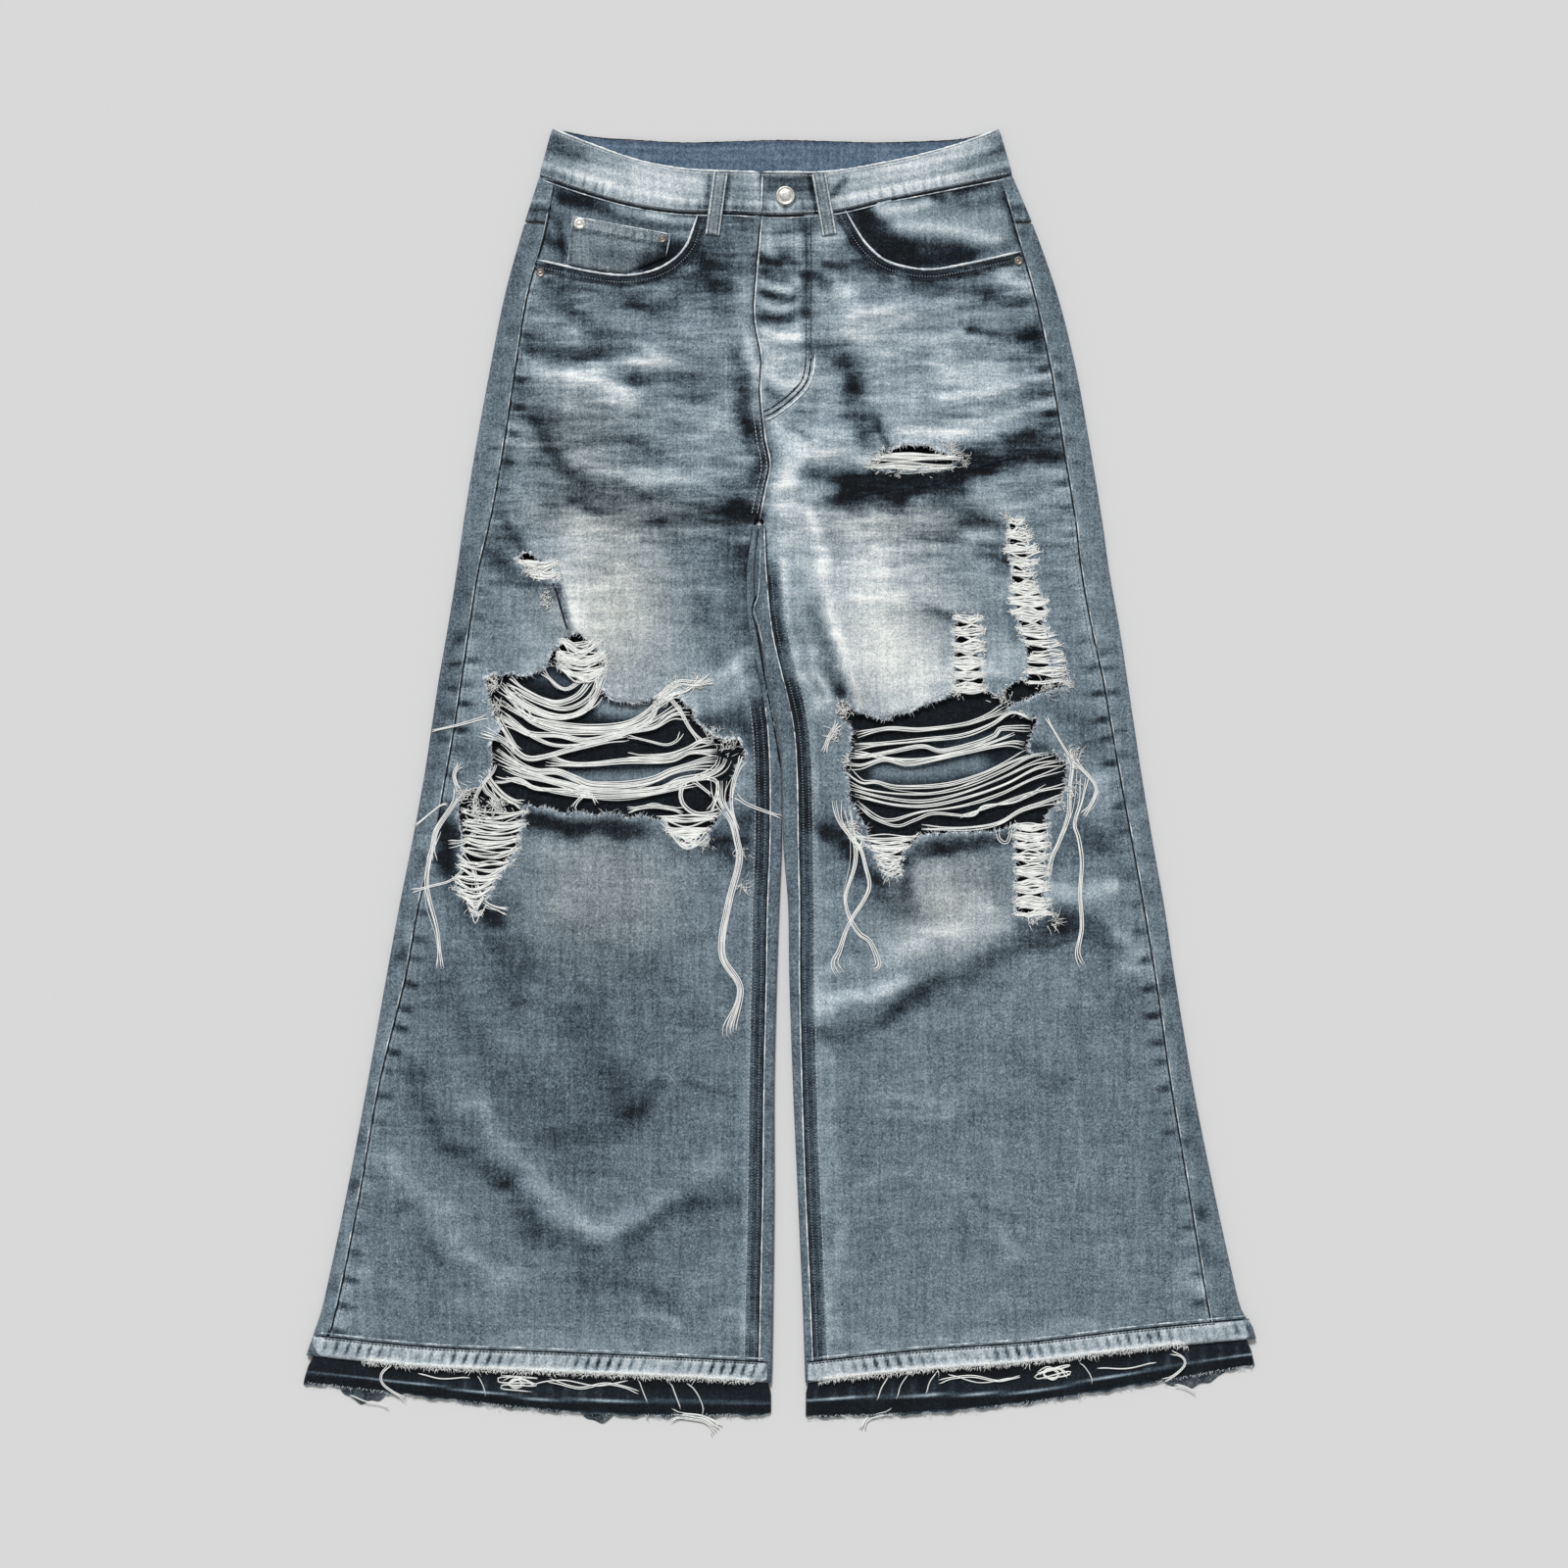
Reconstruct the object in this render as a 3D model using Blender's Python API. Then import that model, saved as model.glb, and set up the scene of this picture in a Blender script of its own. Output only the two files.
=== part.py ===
"""Ripped wide-leg denim jeans, laid flat on their back with the front up.

Every size is in millimetres until a mesh is made. X runs to the wearer's left, Y towards the
waist and Z up from the surface that the jeans lie on. The wearer's right leg is at -X.

The cloth is a thin wall. Each back panel lies underneath, and the folds that bring it round to the
front, as far as the side seam and the inseam, are parts of their own beside it. The front panels
lie between those seams. The knee rips are real holes.
"""
import math
from collections import namedtuple

import bmesh
import bpy
from mathutils import Vector
from mathutils.geometry import delaunay_2d_cdt

MM = 0.001

# Driving dimensions
DENIM = 1.2             # thickness of one layer of denim
GAP = 0.3               # clearance at a seam and between two layers
LEG_HEIGHT = 6.2        # top of the front panel over the ground
BAND_WALL = 2.2         # the waistband is a folded strip
BAND_HEIGHT = 6.8       # top of the waistband over the ground
LOOP_WALL = 1.6         # belt loops are folded strips too
LOOP_WIDTH = 12.5
GRID = 29.0             # spacing of the faceted front panels
ORIGIN_X = -1.26        # middle of the whole outline, which the origin stands under
ORIGIN_Y = 0.14
CROTCH = 213.0          # height of the crotch point
CROTCH_STEP = 1.5       # the inner folds begin just below the crotch
CROTCH_DIP = 1.5        # the front sinks a little where the four panels meet
CROTCH_REACH = 45.0
YOKE_SIDE = 462.0       # yoke seam at the side
YOKE_CENTRE = 425.0     # and at the middle of the back
YOKE_MIDDLE = 481.0     # row halfway up the yoke
TABLE_TOP = 500.0       # row of the leg table at the waist
FLY_WIDTH = 20.0        # fly facing, to the left of the centre front
FLY_RAISE = DENIM + GAP
FLY_SLOPE = (2.0, 9.0)  # the panel comes down beside the facing between these distances
FLY_BOTTOM = 306.0
LIFT_POCKET = DENIM + 2 * GAP
LIFT_LOOP = LOOP_WALL + GAP

# The flat outline, one row for each section of the garment: the outer fold, the side seam, the
# inseam and the inner fold of the right leg, then the same lines of the left leg.
Section = namedtuple("Section", "y outer_r side_r seam_r inner_r inner_l seam_l side_l outer_l")
SECTIONS = [
    Section(500, -202, -189, -18, -18, -18, -18, 184, 194),
    Section(455, -216, -197, -18, -18, -18, -18, 197, 213),
    Section(400, -231, -212, -18, -18, -18, -18, 213, 232),
    Section(340, -243, -222, -18, -18, -18, -18, 226, 247),
    Section(280, -254, -231, -18, -18, -18, -18, 236, 258),
    Section(213, -265, -243, -22, -18, -18, -14, 247, 269),
    Section(170, -271, -253, -28, -22, -22, -12, 252, 275),
    Section(120, -279, -261, -26, -19, -19, -7, 261, 284),
    Section(80, -286, -267, -17, -11, -11, 2, 270, 290),
    Section(40, -292, -273, -11, -3, -3, 11, 277, 296),
    Section(0, -298, -280, -9, 1, 1, 14, 284, 302),
    Section(-60, -309, -291, -9, 1, 2, 15, 295, 312),
    Section(-110, -319, -303, -11, -1, 6, 16, 304, 321),
    Section(-170, -330, -314, -12, -3, 7, 16, 314, 330),
    Section(-260, -346, -336, -14, -5, 10, 18, 327, 345),
    Section(-350, -363, -352, -15, -5, 14, 21, 342, 363),
    Section(-440, -382, -370, -17, -6, 18, 25, 357, 383),
    Section(-490, -394, -383, -18, -7, 20, 27, 366, 396),
    Section(-512, -400, -389, -19, -8, 21, 28, 370, 399.8),
    Section(-540, -400, -389, -19, -8, 21, 28, 370, 399.8),
]

# Waist lines against x: the waist seam, the front's top edge, and the back's two edges.
Waist = namedtuple("Waist", "x seam top back_low back_top")
WAISTLINE = [
    Waist(-203, 500, 540, 500, 540),
    Waist(-165, 487, 526, 493, 533),
    Waist(-125, 476, 513, 492, 530),
    Waist(-85, 470, 506, 491, 528),
    Waist(-40, 469, 504, 491, 529),
    Waist(0, 467, 503, 491, 530),
    Waist(45, 470, 504, 491, 529),
    Waist(85, 479, 510, 491, 528),
    Waist(125, 487, 518, 492, 529),
    Waist(165, 495, 529, 494, 532),
    Waist(195, 501, 540, 501, 540),
]
UNDERLAP = 14.0         # the button end of the band reaches this far under
OVERLAP = -16.0         # the buttonhole end stops here, in line with the fly
# Stations of the band: its button end, the right front, the back, the left front, the hole end.
BAND_UNDER = (UNDERLAP, -2, OVERLAP)
BAND_RIGHT = (-30, -48, -72, -98, -124, -150, -176)
BAND_BACK = (-176, -150, -118, -84, -50, -14, 22, 58, 90, 124, 150, 172)
BAND_LEFT = (170, 146, 122, 98, 74, 50, 25)
BAND_OVER = (UNDERLAP + 2, 4, OVERLAP)
BAND_DROP = 0.2         # the button end sinks a little
BAND_RISE = 2.3         # and the buttonhole end lies on top of it
BAND_FOLDS = (-199.0, 191.0)
BAND_TAPER = 0.945      # the waistband's upper edge is shorter than its seam
BAND_MIDDLE = -4.5

# The lines across each leg's end, against the part of the leg's width from the outer fold: the
# worn-through hem fold, where the panels end, and the raw edge of the released band.
Hem = namedtuple("Hem", "part worn_r raw_r worn_l raw_l")
HEMS = [
    Hem(0.00, -487, -511, -473, -496),
    Hem(0.25, -497, -522, -482, -512),
    Hem(0.50, -501, -533, -493, -527),
    Hem(0.75, -505, -538, -500, -536),
    Hem(1.00, -510, -537, -510, -539),
]

HEM_COLUMNS = 9
HEM_POINTS = 14         # stretches of a front panel's lower edge
# Rows of the let-down band: the line that each follows, how far above it, the band's flat height
# and how far off the ground, where it is still inside the leg.
TUCKED = LEG_HEIGHT - 2 * (DENIM + GAP)
HEM_ROWS = [("worn", 10.0, TUCKED, DENIM + GAP), ("worn", -1.5, TUCKED, DENIM + GAP),
            ("worn", -9.0, 3.4, 0.0), ("raw", 0.0, 3.0, 0.0)]

# Edge of the fly and the centre front seam below it.
Centre = namedtuple("Centre", "y x")
CENTRE_FRONT = [
    Centre(469, -16), Centre(420, -20), Centre(383, -22), Centre(346, -16), Centre(319, -17),
    Centre(280, -13), Centre(258, -9), Centre(238, -13), Centre(213, -18),
]

# Where the panels beside the centre front take a point from its line.
CENTRE_STEPS = (440, 415, 390, 368, 345, 319, 300, 280, 258, 238)
FLY_STEPS = (FLY_BOTTOM, 319, 345, 368, 390, 415, 440, 466)
FLY_CORNER = 30.0       # radius of the facing's foot
WAIST_STEPS = (-45.0, -30.0)        # points of the right panel's edge under the band

# Pocket openings: the curved edge of each front panel, from the waist seam to the side seam.
SCOOP_RIGHT = [(-69, 469), (-73, 457), (-79, 442), (-90, 430), (-107, 421), (-130, 417),
               (-160, 420), (-186, 426)]
SCOOP_LEFT = [(54, 472), (63, 456), (73, 442), (87, 430), (105, 424), (127, 422), (157, 427),
              (184, 433)]
SCOOP_END_Y = {"right": 429.0, "left": 437.0}
FACING_TUCK = 11.0      # the facing reaches this far under the front panel
FACING_RISE = 14.0      # the facing comes up level with the panels this far inside the opening
FACING_STEEP = 440.0    # above this the pocket edge runs upright, and the tuck is sideways
FACING_COLUMNS = (0.2, 0.4, 0.6, 0.8, 0.9)      # points along its edge under the band
PANEL_SPAN = 100.0      # further than a panel reaches past its pocket opening
COIN_POCKET = [(-174, 466), (-92, 451), (-96, 432), (-130, 419), (-160, 422), (-178, 426)]

# Soft folds of the upper cloth: a bent crest, its half width and its height.
Fold = namedtuple("Fold", "x1 y1 x2 y2 x3 y3 width height")
FOLDS = [
    Fold(-167, 409, -139, 374, -105, 362, 15, 3.0),     # right hip, below the pocket
    Fold(-200, 333, -164, 328, -127, 312, 14, 2.5),
    Fold(-139, 340, -93, 352, -70, 371, 14, 3.0),
    Fold(-159, 262, -101, 233, -60, 224, 17, 3.0),      # drag line across the right thigh
    Fold(-40, 415, -33, 370, -24, 301, 11, 4.0),        # bulge beside the fly
    Fold(-230, 205, -200, 172, -172, 122, 12, 3.0),     # from the small tear to the knee
    Fold(45, 379, 75, 389, 125, 392, 14, 3.0),          # left hip
    Fold(87, 297, 154, 305, 227, 331, 16, 3.5),
    Fold(34, 282, 137, 268, 228, 287, 15, 4.5),         # over the dark fold of the left thigh
    Fold(14, 260, 33, 177, 60, 80, 22, 7.0),            # long ridge inside the left thigh
    Fold(34, -206, 62, -199, 95, -181, 16, 4.0),        # below the left knee
    Fold(-303, -251, -264, -316, -200, -371, 19, 4.0),  # right calf
    Fold(-119, -390, -80, -375, -44, -353, 17, 3.0),
    Fold(-190, -298, -125, -285, -93, -259, 17, 3.0),
    Fold(105, -330, 190, -366, 285, -338, 19, 3.0),     # left calf
]

# The rips: holes through the front panels.
KNEE_RIP_RIGHT = [
    (-249, 77), (-239, 83), (-220, 82), (-200, 87), (-182, 114), (-169, 118), (-156, 110),
    (-145, 94), (-152, 71), (-128, 60), (-101, 63), (-86, 68), (-73, 51), (-58, 31), (-34, 27),
    (-30, 14), (-38, -5), (-40, -18), (-49, -33), (-60, -52), (-80, -62), (-99, -39),
    (-124, -36), (-169, -33), (-194, -30), (-214, -27), (-220, -63), (-239, -90), (-256, -119),
    (-271, -96), (-267, -66), (-271, -37), (-269, -16), (-251, -9), (-241, 4), (-243, 24),
    (-235, 39), (-241, 55),
]
KNEE_RIP_LEFT = [
    (48, 59), (55, 61), (66, 48), (84, 41), (106, 46), (123, 58), (144, 66), (147, 131),
    (165, 132), (169, 78), (182, 64), (187, 73), (208, 80), (201, 120), (192, 160), (191, 212),
    (200, 215), (212, 170), (222, 130), (229, 84), (241, 78), (238, 73), (211, 64), (190, 55),
    (204, 51), (218, 46), (211, 32), (207, 19), (230, 17), (241, 7), (239, -13), (235, -25),
    (222, -36), (221, -100), (224, -118), (198, -118), (196, -100), (196, -43), (175, -50),
    (118, -50), (109, -59), (98, -74), (100, -87), (88, -87), (85, -74), (75, -59), (68, -41),
    (57, -18), (55, 4), (56, 19), (60, 36), (46, 50),
]
TEAR_RIGHT = [(-223, 180), (-213, 186), (-190, 176), (-187, 160), (-199, 162), (-213, 171)]
TEAR_LEFT = [(70, 257), (88, 268), (112, 272), (134, 268), (149, 261), (140, 252), (110, 249),
             (86, 251)]

# Bundles of weft thread that still cross the rips: a route from edge to edge, and its width.
Bundle = namedtuple("Bundle", "name route width")
BUNDLES = [
    Bundle("knee_threads_right_upper", [(-246, 70), (-193, 40), (-150, 34), (-110, 44), (-74, 68)], 15),
    Bundle("knee_threads_right_middle", [(-252, 34), (-205, 18), (-160, 9), (-100, 13), (-44, 30)], 11),
    Bundle("knee_threads_right_lower", [(-252, 4), (-193, -6), (-130, -13), (-85, -9), (-26, 2)], 15),
    Bundle("knee_threads_left_upper", [(46, 26), (110, 24), (165, 28), (224, 38)], 22),
    Bundle("knee_threads_left_lower", [(46, -16), (110, -33), (170, -30), (250, -4)], 38),
]

# Ladders of weft left in the long narrow rips, as plates that reach under the panel all round.
LADDERS = {
    "thread_ladder_left_outer": [(186, 216), (204, 220), (217, 170), (227, 130), (234, 92),
                                 (205, 84), (196, 118), (187, 158)],
    "thread_ladder_left_inner": [(142, 136), (169, 137), (173, 84), (158, 72), (140, 76)],
    "thread_ladder_left_lower": [(191, -58), (227, -54), (226, -100), (229, -123), (193, -123),
                                 (191, -100)],
    "thread_ladder_left_upper": [(66, 257), (86, 273), (112, 277), (136, 273), (153, 261),
                                 (142, 248), (110, 245), (84, 247)],
    "thread_ladder_right_lower": [(-274, -22), (-209, -24), (-215, -65), (-234, -93),
                                  (-254, -124), (-275, -97), (-272, -66), (-275, -37)],
}
THREAD_FLOOR = LEG_HEIGHT - DENIM - GAP - DENIM     # threads lie just under the front panels

# Rows of the back panels, from the hem to the yoke seam.
LEG_ROWS = [-500, -448, -404, -360, -316, -272, -228, -184, -142, -100, -60, -20, 20, 60, 100,
            140, 180, CROTCH - CROTCH_STEP]
SEAT_ROWS = [CROTCH, 245, 290, 335, 375, 415, YOKE_SIDE]
YOKE_ROWS = [YOKE_SIDE, YOKE_MIDDLE, TABLE_TOP]
ARC_STEPS = 3
UNDER_PARTS = [0.11, 0.22, 0.40, 0.58, 0.80]      # columns of the underside between its edges

# Back pockets, hidden underneath, and the five belt loops.
POCKET_CENTRE = 122.0
POCKET_HALF = 66.0
POCKET_HALF_LOW = 58.0
POCKET_TOP = 405.0
POCKET_SHOULDER = 275.0
POCKET_POINT = 255.0
LIFT_NEAR = 11.0        # the back panel stays lifted this far beyond a pocket
LIFT_FAR = 36.0         # and is down on the ground this far away
LOOP_LIFT_SIDE = 154.0  # the loops lift the yoke out to this far from the middle
LOOP_LIFT_IN = 30.0
LOOP_LIFT_FOOT = 443.0  # from this height up
LOOP_LIFT_UP = 14.0
BAND_LIFT_SIDE = 152.0  # and the same for the band
BAND_LIFT_IN = 26.0
# A front loop's way down: the part of its length, and how far it has sunk to the front panel.
LOOP_PROFILE = [(0.0, 0.0), (0.4, 0.0), (0.69, 0.0), (0.84, 1.0), (1.0, 1.0)]
BACK_LOOPS = {"belt_loop_back_right": -105.0, "belt_loop_back_centre": -4.0,
              "belt_loop_back_left": 97.0}
LOOP_LOW = 486.0
LOOP_HIGH = 527.0
FrontLoop = namedtuple("FrontLoop", "name x_top y_top x_low y_low")
FRONT_LOOPS = [FrontLoop("belt_loop_front_right", -50, 503, -57, 451),
               FrontLoop("belt_loop_front_left", 32, 502, 41, 451)]

BUTTON = (4.0, 483.0)
BUTTON_RADIUS = 8.0
Rivet = namedtuple("Rivet", "name x y seat radius finish")
COIN_TOP = LEG_HEIGHT + DENIM + GAP
RIVETS = [
    Rivet("rivet_coin_outer", -168, 460, COIN_TOP, 5.0, "pale_metal"),
    Rivet("rivet_coin_inner", -99, 447, COIN_TOP, 3.2, "dark_metal"),
    Rivet("rivet_pocket_right", -201, 419, LEG_HEIGHT, 3.8, "dark_metal"),
    Rivet("rivet_pocket_left", 199, 429, LEG_HEIGHT, 3.8, "dark_metal"),
]

Finish = namedtuple("Finish", "color metallic roughness")
FINISHES = {
    "washed_denim": Finish((0.24, 0.31, 0.36), 0.0, 0.9),
    "dark_denim": Finish((0.03, 0.04, 0.06), 0.0, 0.9),
    "inner_denim": Finish((0.10, 0.15, 0.22), 0.0, 0.9),
    "white_thread": Finish((0.80, 0.80, 0.76), 0.0, 0.9),
    "pale_metal": Finish((0.62, 0.62, 0.58), 1.0, 0.35),
    "dark_metal": Finish((0.16, 0.15, 0.14), 1.0, 0.45),
}


# ---------------------------------------------------------------- curves and heights

def smooth_step(t):
    t = min(1.0, max(0.0, t))
    return t * t * (3.0 - 2.0 * t)


def through(rows, key, column, at):
    """Value of a column on a smooth curve through the rows, where the key column equals `at`."""
    rows = sorted(rows, key=lambda row: getattr(row, key))
    keys = [getattr(row, key) for row in rows]
    values = [getattr(row, column) for row in rows]
    if at <= keys[0]:
        return values[0]
    if at >= keys[-1]:
        return values[-1]
    i = max(n for n in range(len(keys) - 1) if keys[n] <= at)
    slopes = []
    for n in (i, i + 1):
        low, high = max(0, n - 1), min(len(keys) - 1, n + 1)
        slopes.append((values[high] - values[low]) / (keys[high] - keys[low]))
    span = keys[i + 1] - keys[i]
    t = (at - keys[i]) / span
    h00 = (1 + 2 * t) * (1 - t) ** 2
    h10 = t * (1 - t) ** 2
    h01 = t * t * (3 - 2 * t)
    h11 = t * t * (t - 1)
    return h00 * values[i] + h10 * span * slopes[0] + h01 * values[i + 1] + h11 * span * slopes[1]


def section(column, y):
    return through(SECTIONS, "y", column, y)


def waist(column, x):
    return through(WAISTLINE, "x", column, x)


def segment_distance(x, y, a, b):
    ax, ay = a
    dx, dy = b[0] - ax, b[1] - ay
    length = dx * dx + dy * dy
    t = 0.0 if length == 0 else min(1.0, max(0.0, ((x - ax) * dx + (y - ay) * dy) / length))
    return math.hypot(x - ax - t * dx, y - ay - t * dy)


def line_distance(x, y, points):
    return min(segment_distance(x, y, a, b) for a, b in zip(points, points[1:]))


def inside(x, y, polygon):
    """Whether a point lies in a closed polygon, by counting the edges to its right."""
    odd = False
    for (ax, ay), (bx, by) in zip(polygon, polygon[1:] + polygon[:1]):
        if (ay > y) != (by > y) and x < ax + (y - ay) * (bx - ax) / (by - ay):
            odd = not odd
    return odd


def bend(points, steps):
    """A smooth curve through a few points, with a number of steps for each stretch."""
    out = []
    ends = [points[0]] + list(points) + [points[-1]]
    for a, b, c, d in zip(ends, ends[1:], ends[2:], ends[3:]):
        for n in range(steps):
            t = n / steps
            out.append(tuple(0.5 * (2 * q + (r - p) * t + (2 * p - 5 * q + 4 * r - s) * t * t
                                    + (3 * q - p - 3 * r + s) * t ** 3)
                             for p, q, r, s in zip(a, b, c, d)))
    out.append(tuple(float(v) for v in points[-1]))
    return out


FOLD_LINES = [bend([(f.x1, f.y1), (f.x2, f.y2), (f.x3, f.y3)], 4) for f in FOLDS]


def fly_raise(x, y):
    """The front left panel stands on the fly facing beside the centre front."""
    edge = through(CENTRE_FRONT, "y", "x", y)
    across = smooth_step((FLY_WIDTH + FLY_SLOPE[1] - x) / (FLY_SLOPE[1] - FLY_SLOPE[0]))
    along = smooth_step((y - FLY_BOTTOM + 22.0) / 18.0)
    return FLY_RAISE * across * along if x > edge else 0.0


def upper(x, y):
    """Underside of the upper layer of cloth, over the ground."""
    z = LEG_HEIGHT - DENIM
    for fold, line in zip(FOLDS, FOLD_LINES):
        away = line_distance(x, y, line) / fold.width
        if away < 3.0:
            z += fold.height * math.exp(-away * away)
    middle = section("inner_r", CROTCH)
    near = math.hypot(x - middle, y - CROTCH) / CROTCH_REACH
    return z - CROTCH_DIP * smooth_step(1.0 - near) + fly_raise(x, y)


def lift(x, y):
    """How far the lower layer stands off the ground over a back pocket or a back loop."""
    beside = max(abs(abs(x - BAND_MIDDLE) - POCKET_CENTRE) - POCKET_HALF, 0.0)
    beyond = max(y - POCKET_TOP, POCKET_POINT - y, 0.0)
    pocket = smooth_step((LIFT_FAR - math.hypot(beside, beyond)) / (LIFT_FAR - LIFT_NEAR))
    across = smooth_step((LOOP_LIFT_SIDE - abs(x - BAND_MIDDLE)) / LOOP_LIFT_IN)
    loops = across * smooth_step((y - LOOP_LIFT_FOOT) / LOOP_LIFT_UP)
    return max(LIFT_POCKET * pocket, LIFT_LOOP * loops)


# ---------------------------------------------------------------- meshes

def finish_material(name):
    material = bpy.data.materials.get(name)
    if material is None:
        look = FINISHES[name]
        material = bpy.data.materials.new(name)
        material.use_nodes = True
        shader = material.node_tree.nodes["Principled BSDF"]
        shader.inputs["Base Color"].default_value = (*look.color, 1.0)
        shader.inputs["Metallic"].default_value = look.metallic
        shader.inputs["Roughness"].default_value = look.roughness
        material.diffuse_color = (*look.color, 1.0)
    return material


def make_object(name, points, faces, finish):
    """One object from points in millimetres, moved so that the origin is under its middle."""
    mesh = bpy.data.meshes.new(name)
    placed = [((x - ORIGIN_X) * MM, (y - ORIGIN_Y) * MM, z * MM) for x, y, z in points]
    mesh.from_pydata(placed, [], faces)
    shape = bmesh.new()
    shape.from_mesh(mesh)
    bmesh.ops.triangulate(shape, faces=shape.faces)
    bmesh.ops.recalc_face_normals(shape, faces=shape.faces)
    shape.to_mesh(mesh)
    shape.free()
    mesh.materials.append(finish_material(finish))
    made = bpy.data.objects.new(name, mesh)
    bpy.context.scene.collection.objects.link(made)
    return made


def wall(name, outer, inner, finish, ring=False):
    """A closed wall between two matching grids of points; a ring closes across its rows."""
    rows, columns = len(outer), len(outer[0])
    points = [p for row in outer for p in row] + [p for row in inner for p in row]
    shift = rows * columns
    last = columns if ring else columns - 1
    faces = []
    for r in range(rows - 1):
        for c in range(last):
            d = (c + 1) % columns
            quad = [r * columns + c, r * columns + d, (r + 1) * columns + d, (r + 1) * columns + c]
            faces.append(quad)
            faces.append([shift + n for n in reversed(quad)])
    for r in (0, rows - 1):
        for c in range(last):
            a, b = r * columns + c, r * columns + (c + 1) % columns
            faces.append([a, b, shift + b, shift + a])
    if not ring:
        for c in (0, columns - 1):
            for r in range(rows - 1):
                a, b = r * columns + c, (r + 1) * columns + c
                faces.append([a, b, shift + b, shift + a])
    return make_object(name, points, faces, finish)


def shorten(points, step):
    """The same line with no stretch longer than a step."""
    out = []
    for a, b in zip(points, points[1:]):
        parts = max(1, math.ceil(math.dist(a, b) / step))
        out += [(a[0] + (b[0] - a[0]) * n / parts, a[1] + (b[1] - a[1]) * n / parts)
                for n in range(parts)]
    return out + [points[-1]]


def triangles(outline, holes, spacing, marks=()):
    """Plan of a panel: its outline, its holes, lines marked on it, and an even grid of points."""
    closed = [shorten(loop + loop[:1], spacing) for loop in [outline, *holes]]
    closed += [shorten(mark, spacing) for mark in marks]
    fixed = []
    edges = []
    for line in closed:
        start = len(fixed)
        fixed += line[:-1]
        edges += [(n, n + 1) for n in range(start, len(fixed) - 1)]
        if line[0] == line[-1]:
            edges.append((len(fixed) - 1, start))
        else:
            fixed.append(line[-1])
            edges.append((len(fixed) - 2, len(fixed) - 1))
    xs, ys = [p[0] for p in outline], [p[1] for p in outline]
    row = 0
    y = min(ys) + spacing / 2
    while y < max(ys):
        x = min(xs) + (spacing / 2 if row % 2 else 0.0)
        while x < max(xs):
            clear = min(line_distance(x, y, loop) for loop in closed) > 0.55 * spacing
            if clear and inside(x, y, outline) and not any(inside(x, y, h) for h in holes):
                fixed.append((x, y))
            x += spacing
        y += spacing * 0.87
        row += 1
    plan = delaunay_2d_cdt([Vector(p) for p in fixed], edges, [], 1, 1e-4)
    points = [(p.x, p.y) for p in plan[0]]
    kept = []
    for face in plan[2]:
        x = sum(points[n][0] for n in face) / len(face)
        y = sum(points[n][1] for n in face) / len(face)
        if inside(x, y, outline) and not any(inside(x, y, hole) for hole in holes):
            kept.append(list(face))
    return points, kept


def cloth(name, plan, height, thickness, finish, within=None):
    """A wall of cloth over a plan; `within` keeps only the part inside another outline."""
    points, faces = plan
    if within:
        faces = [f for f in faces
                 if inside(sum(points[n][0] for n in f) / 3, sum(points[n][1] for n in f) / 3, within)]
    used = sorted({n for f in faces for n in f})
    number = {old: new for new, old in enumerate(used)}
    faces = [[number[n] for n in f] for f in faces]
    low = [(*points[n], height(*points[n])) for n in used]
    high = [(x, y, z + thickness) for x, y, z in low]
    count = len(used)
    sides = {}
    for f in faces:
        for a, b in zip(f, f[1:] + f[:1]):
            sides[(a, b)] = f
    edge = [[a, b, count + b, count + a] for a, b in sides if (b, a) not in sides]
    body = [[n + count for n in f] for f in faces] + [list(reversed(f)) for f in faces]
    return make_object(name, low + high, body + edge, finish)


# ---------------------------------------------------------------- panels

Row = namedtuple("Row", "y outer inner")


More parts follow.
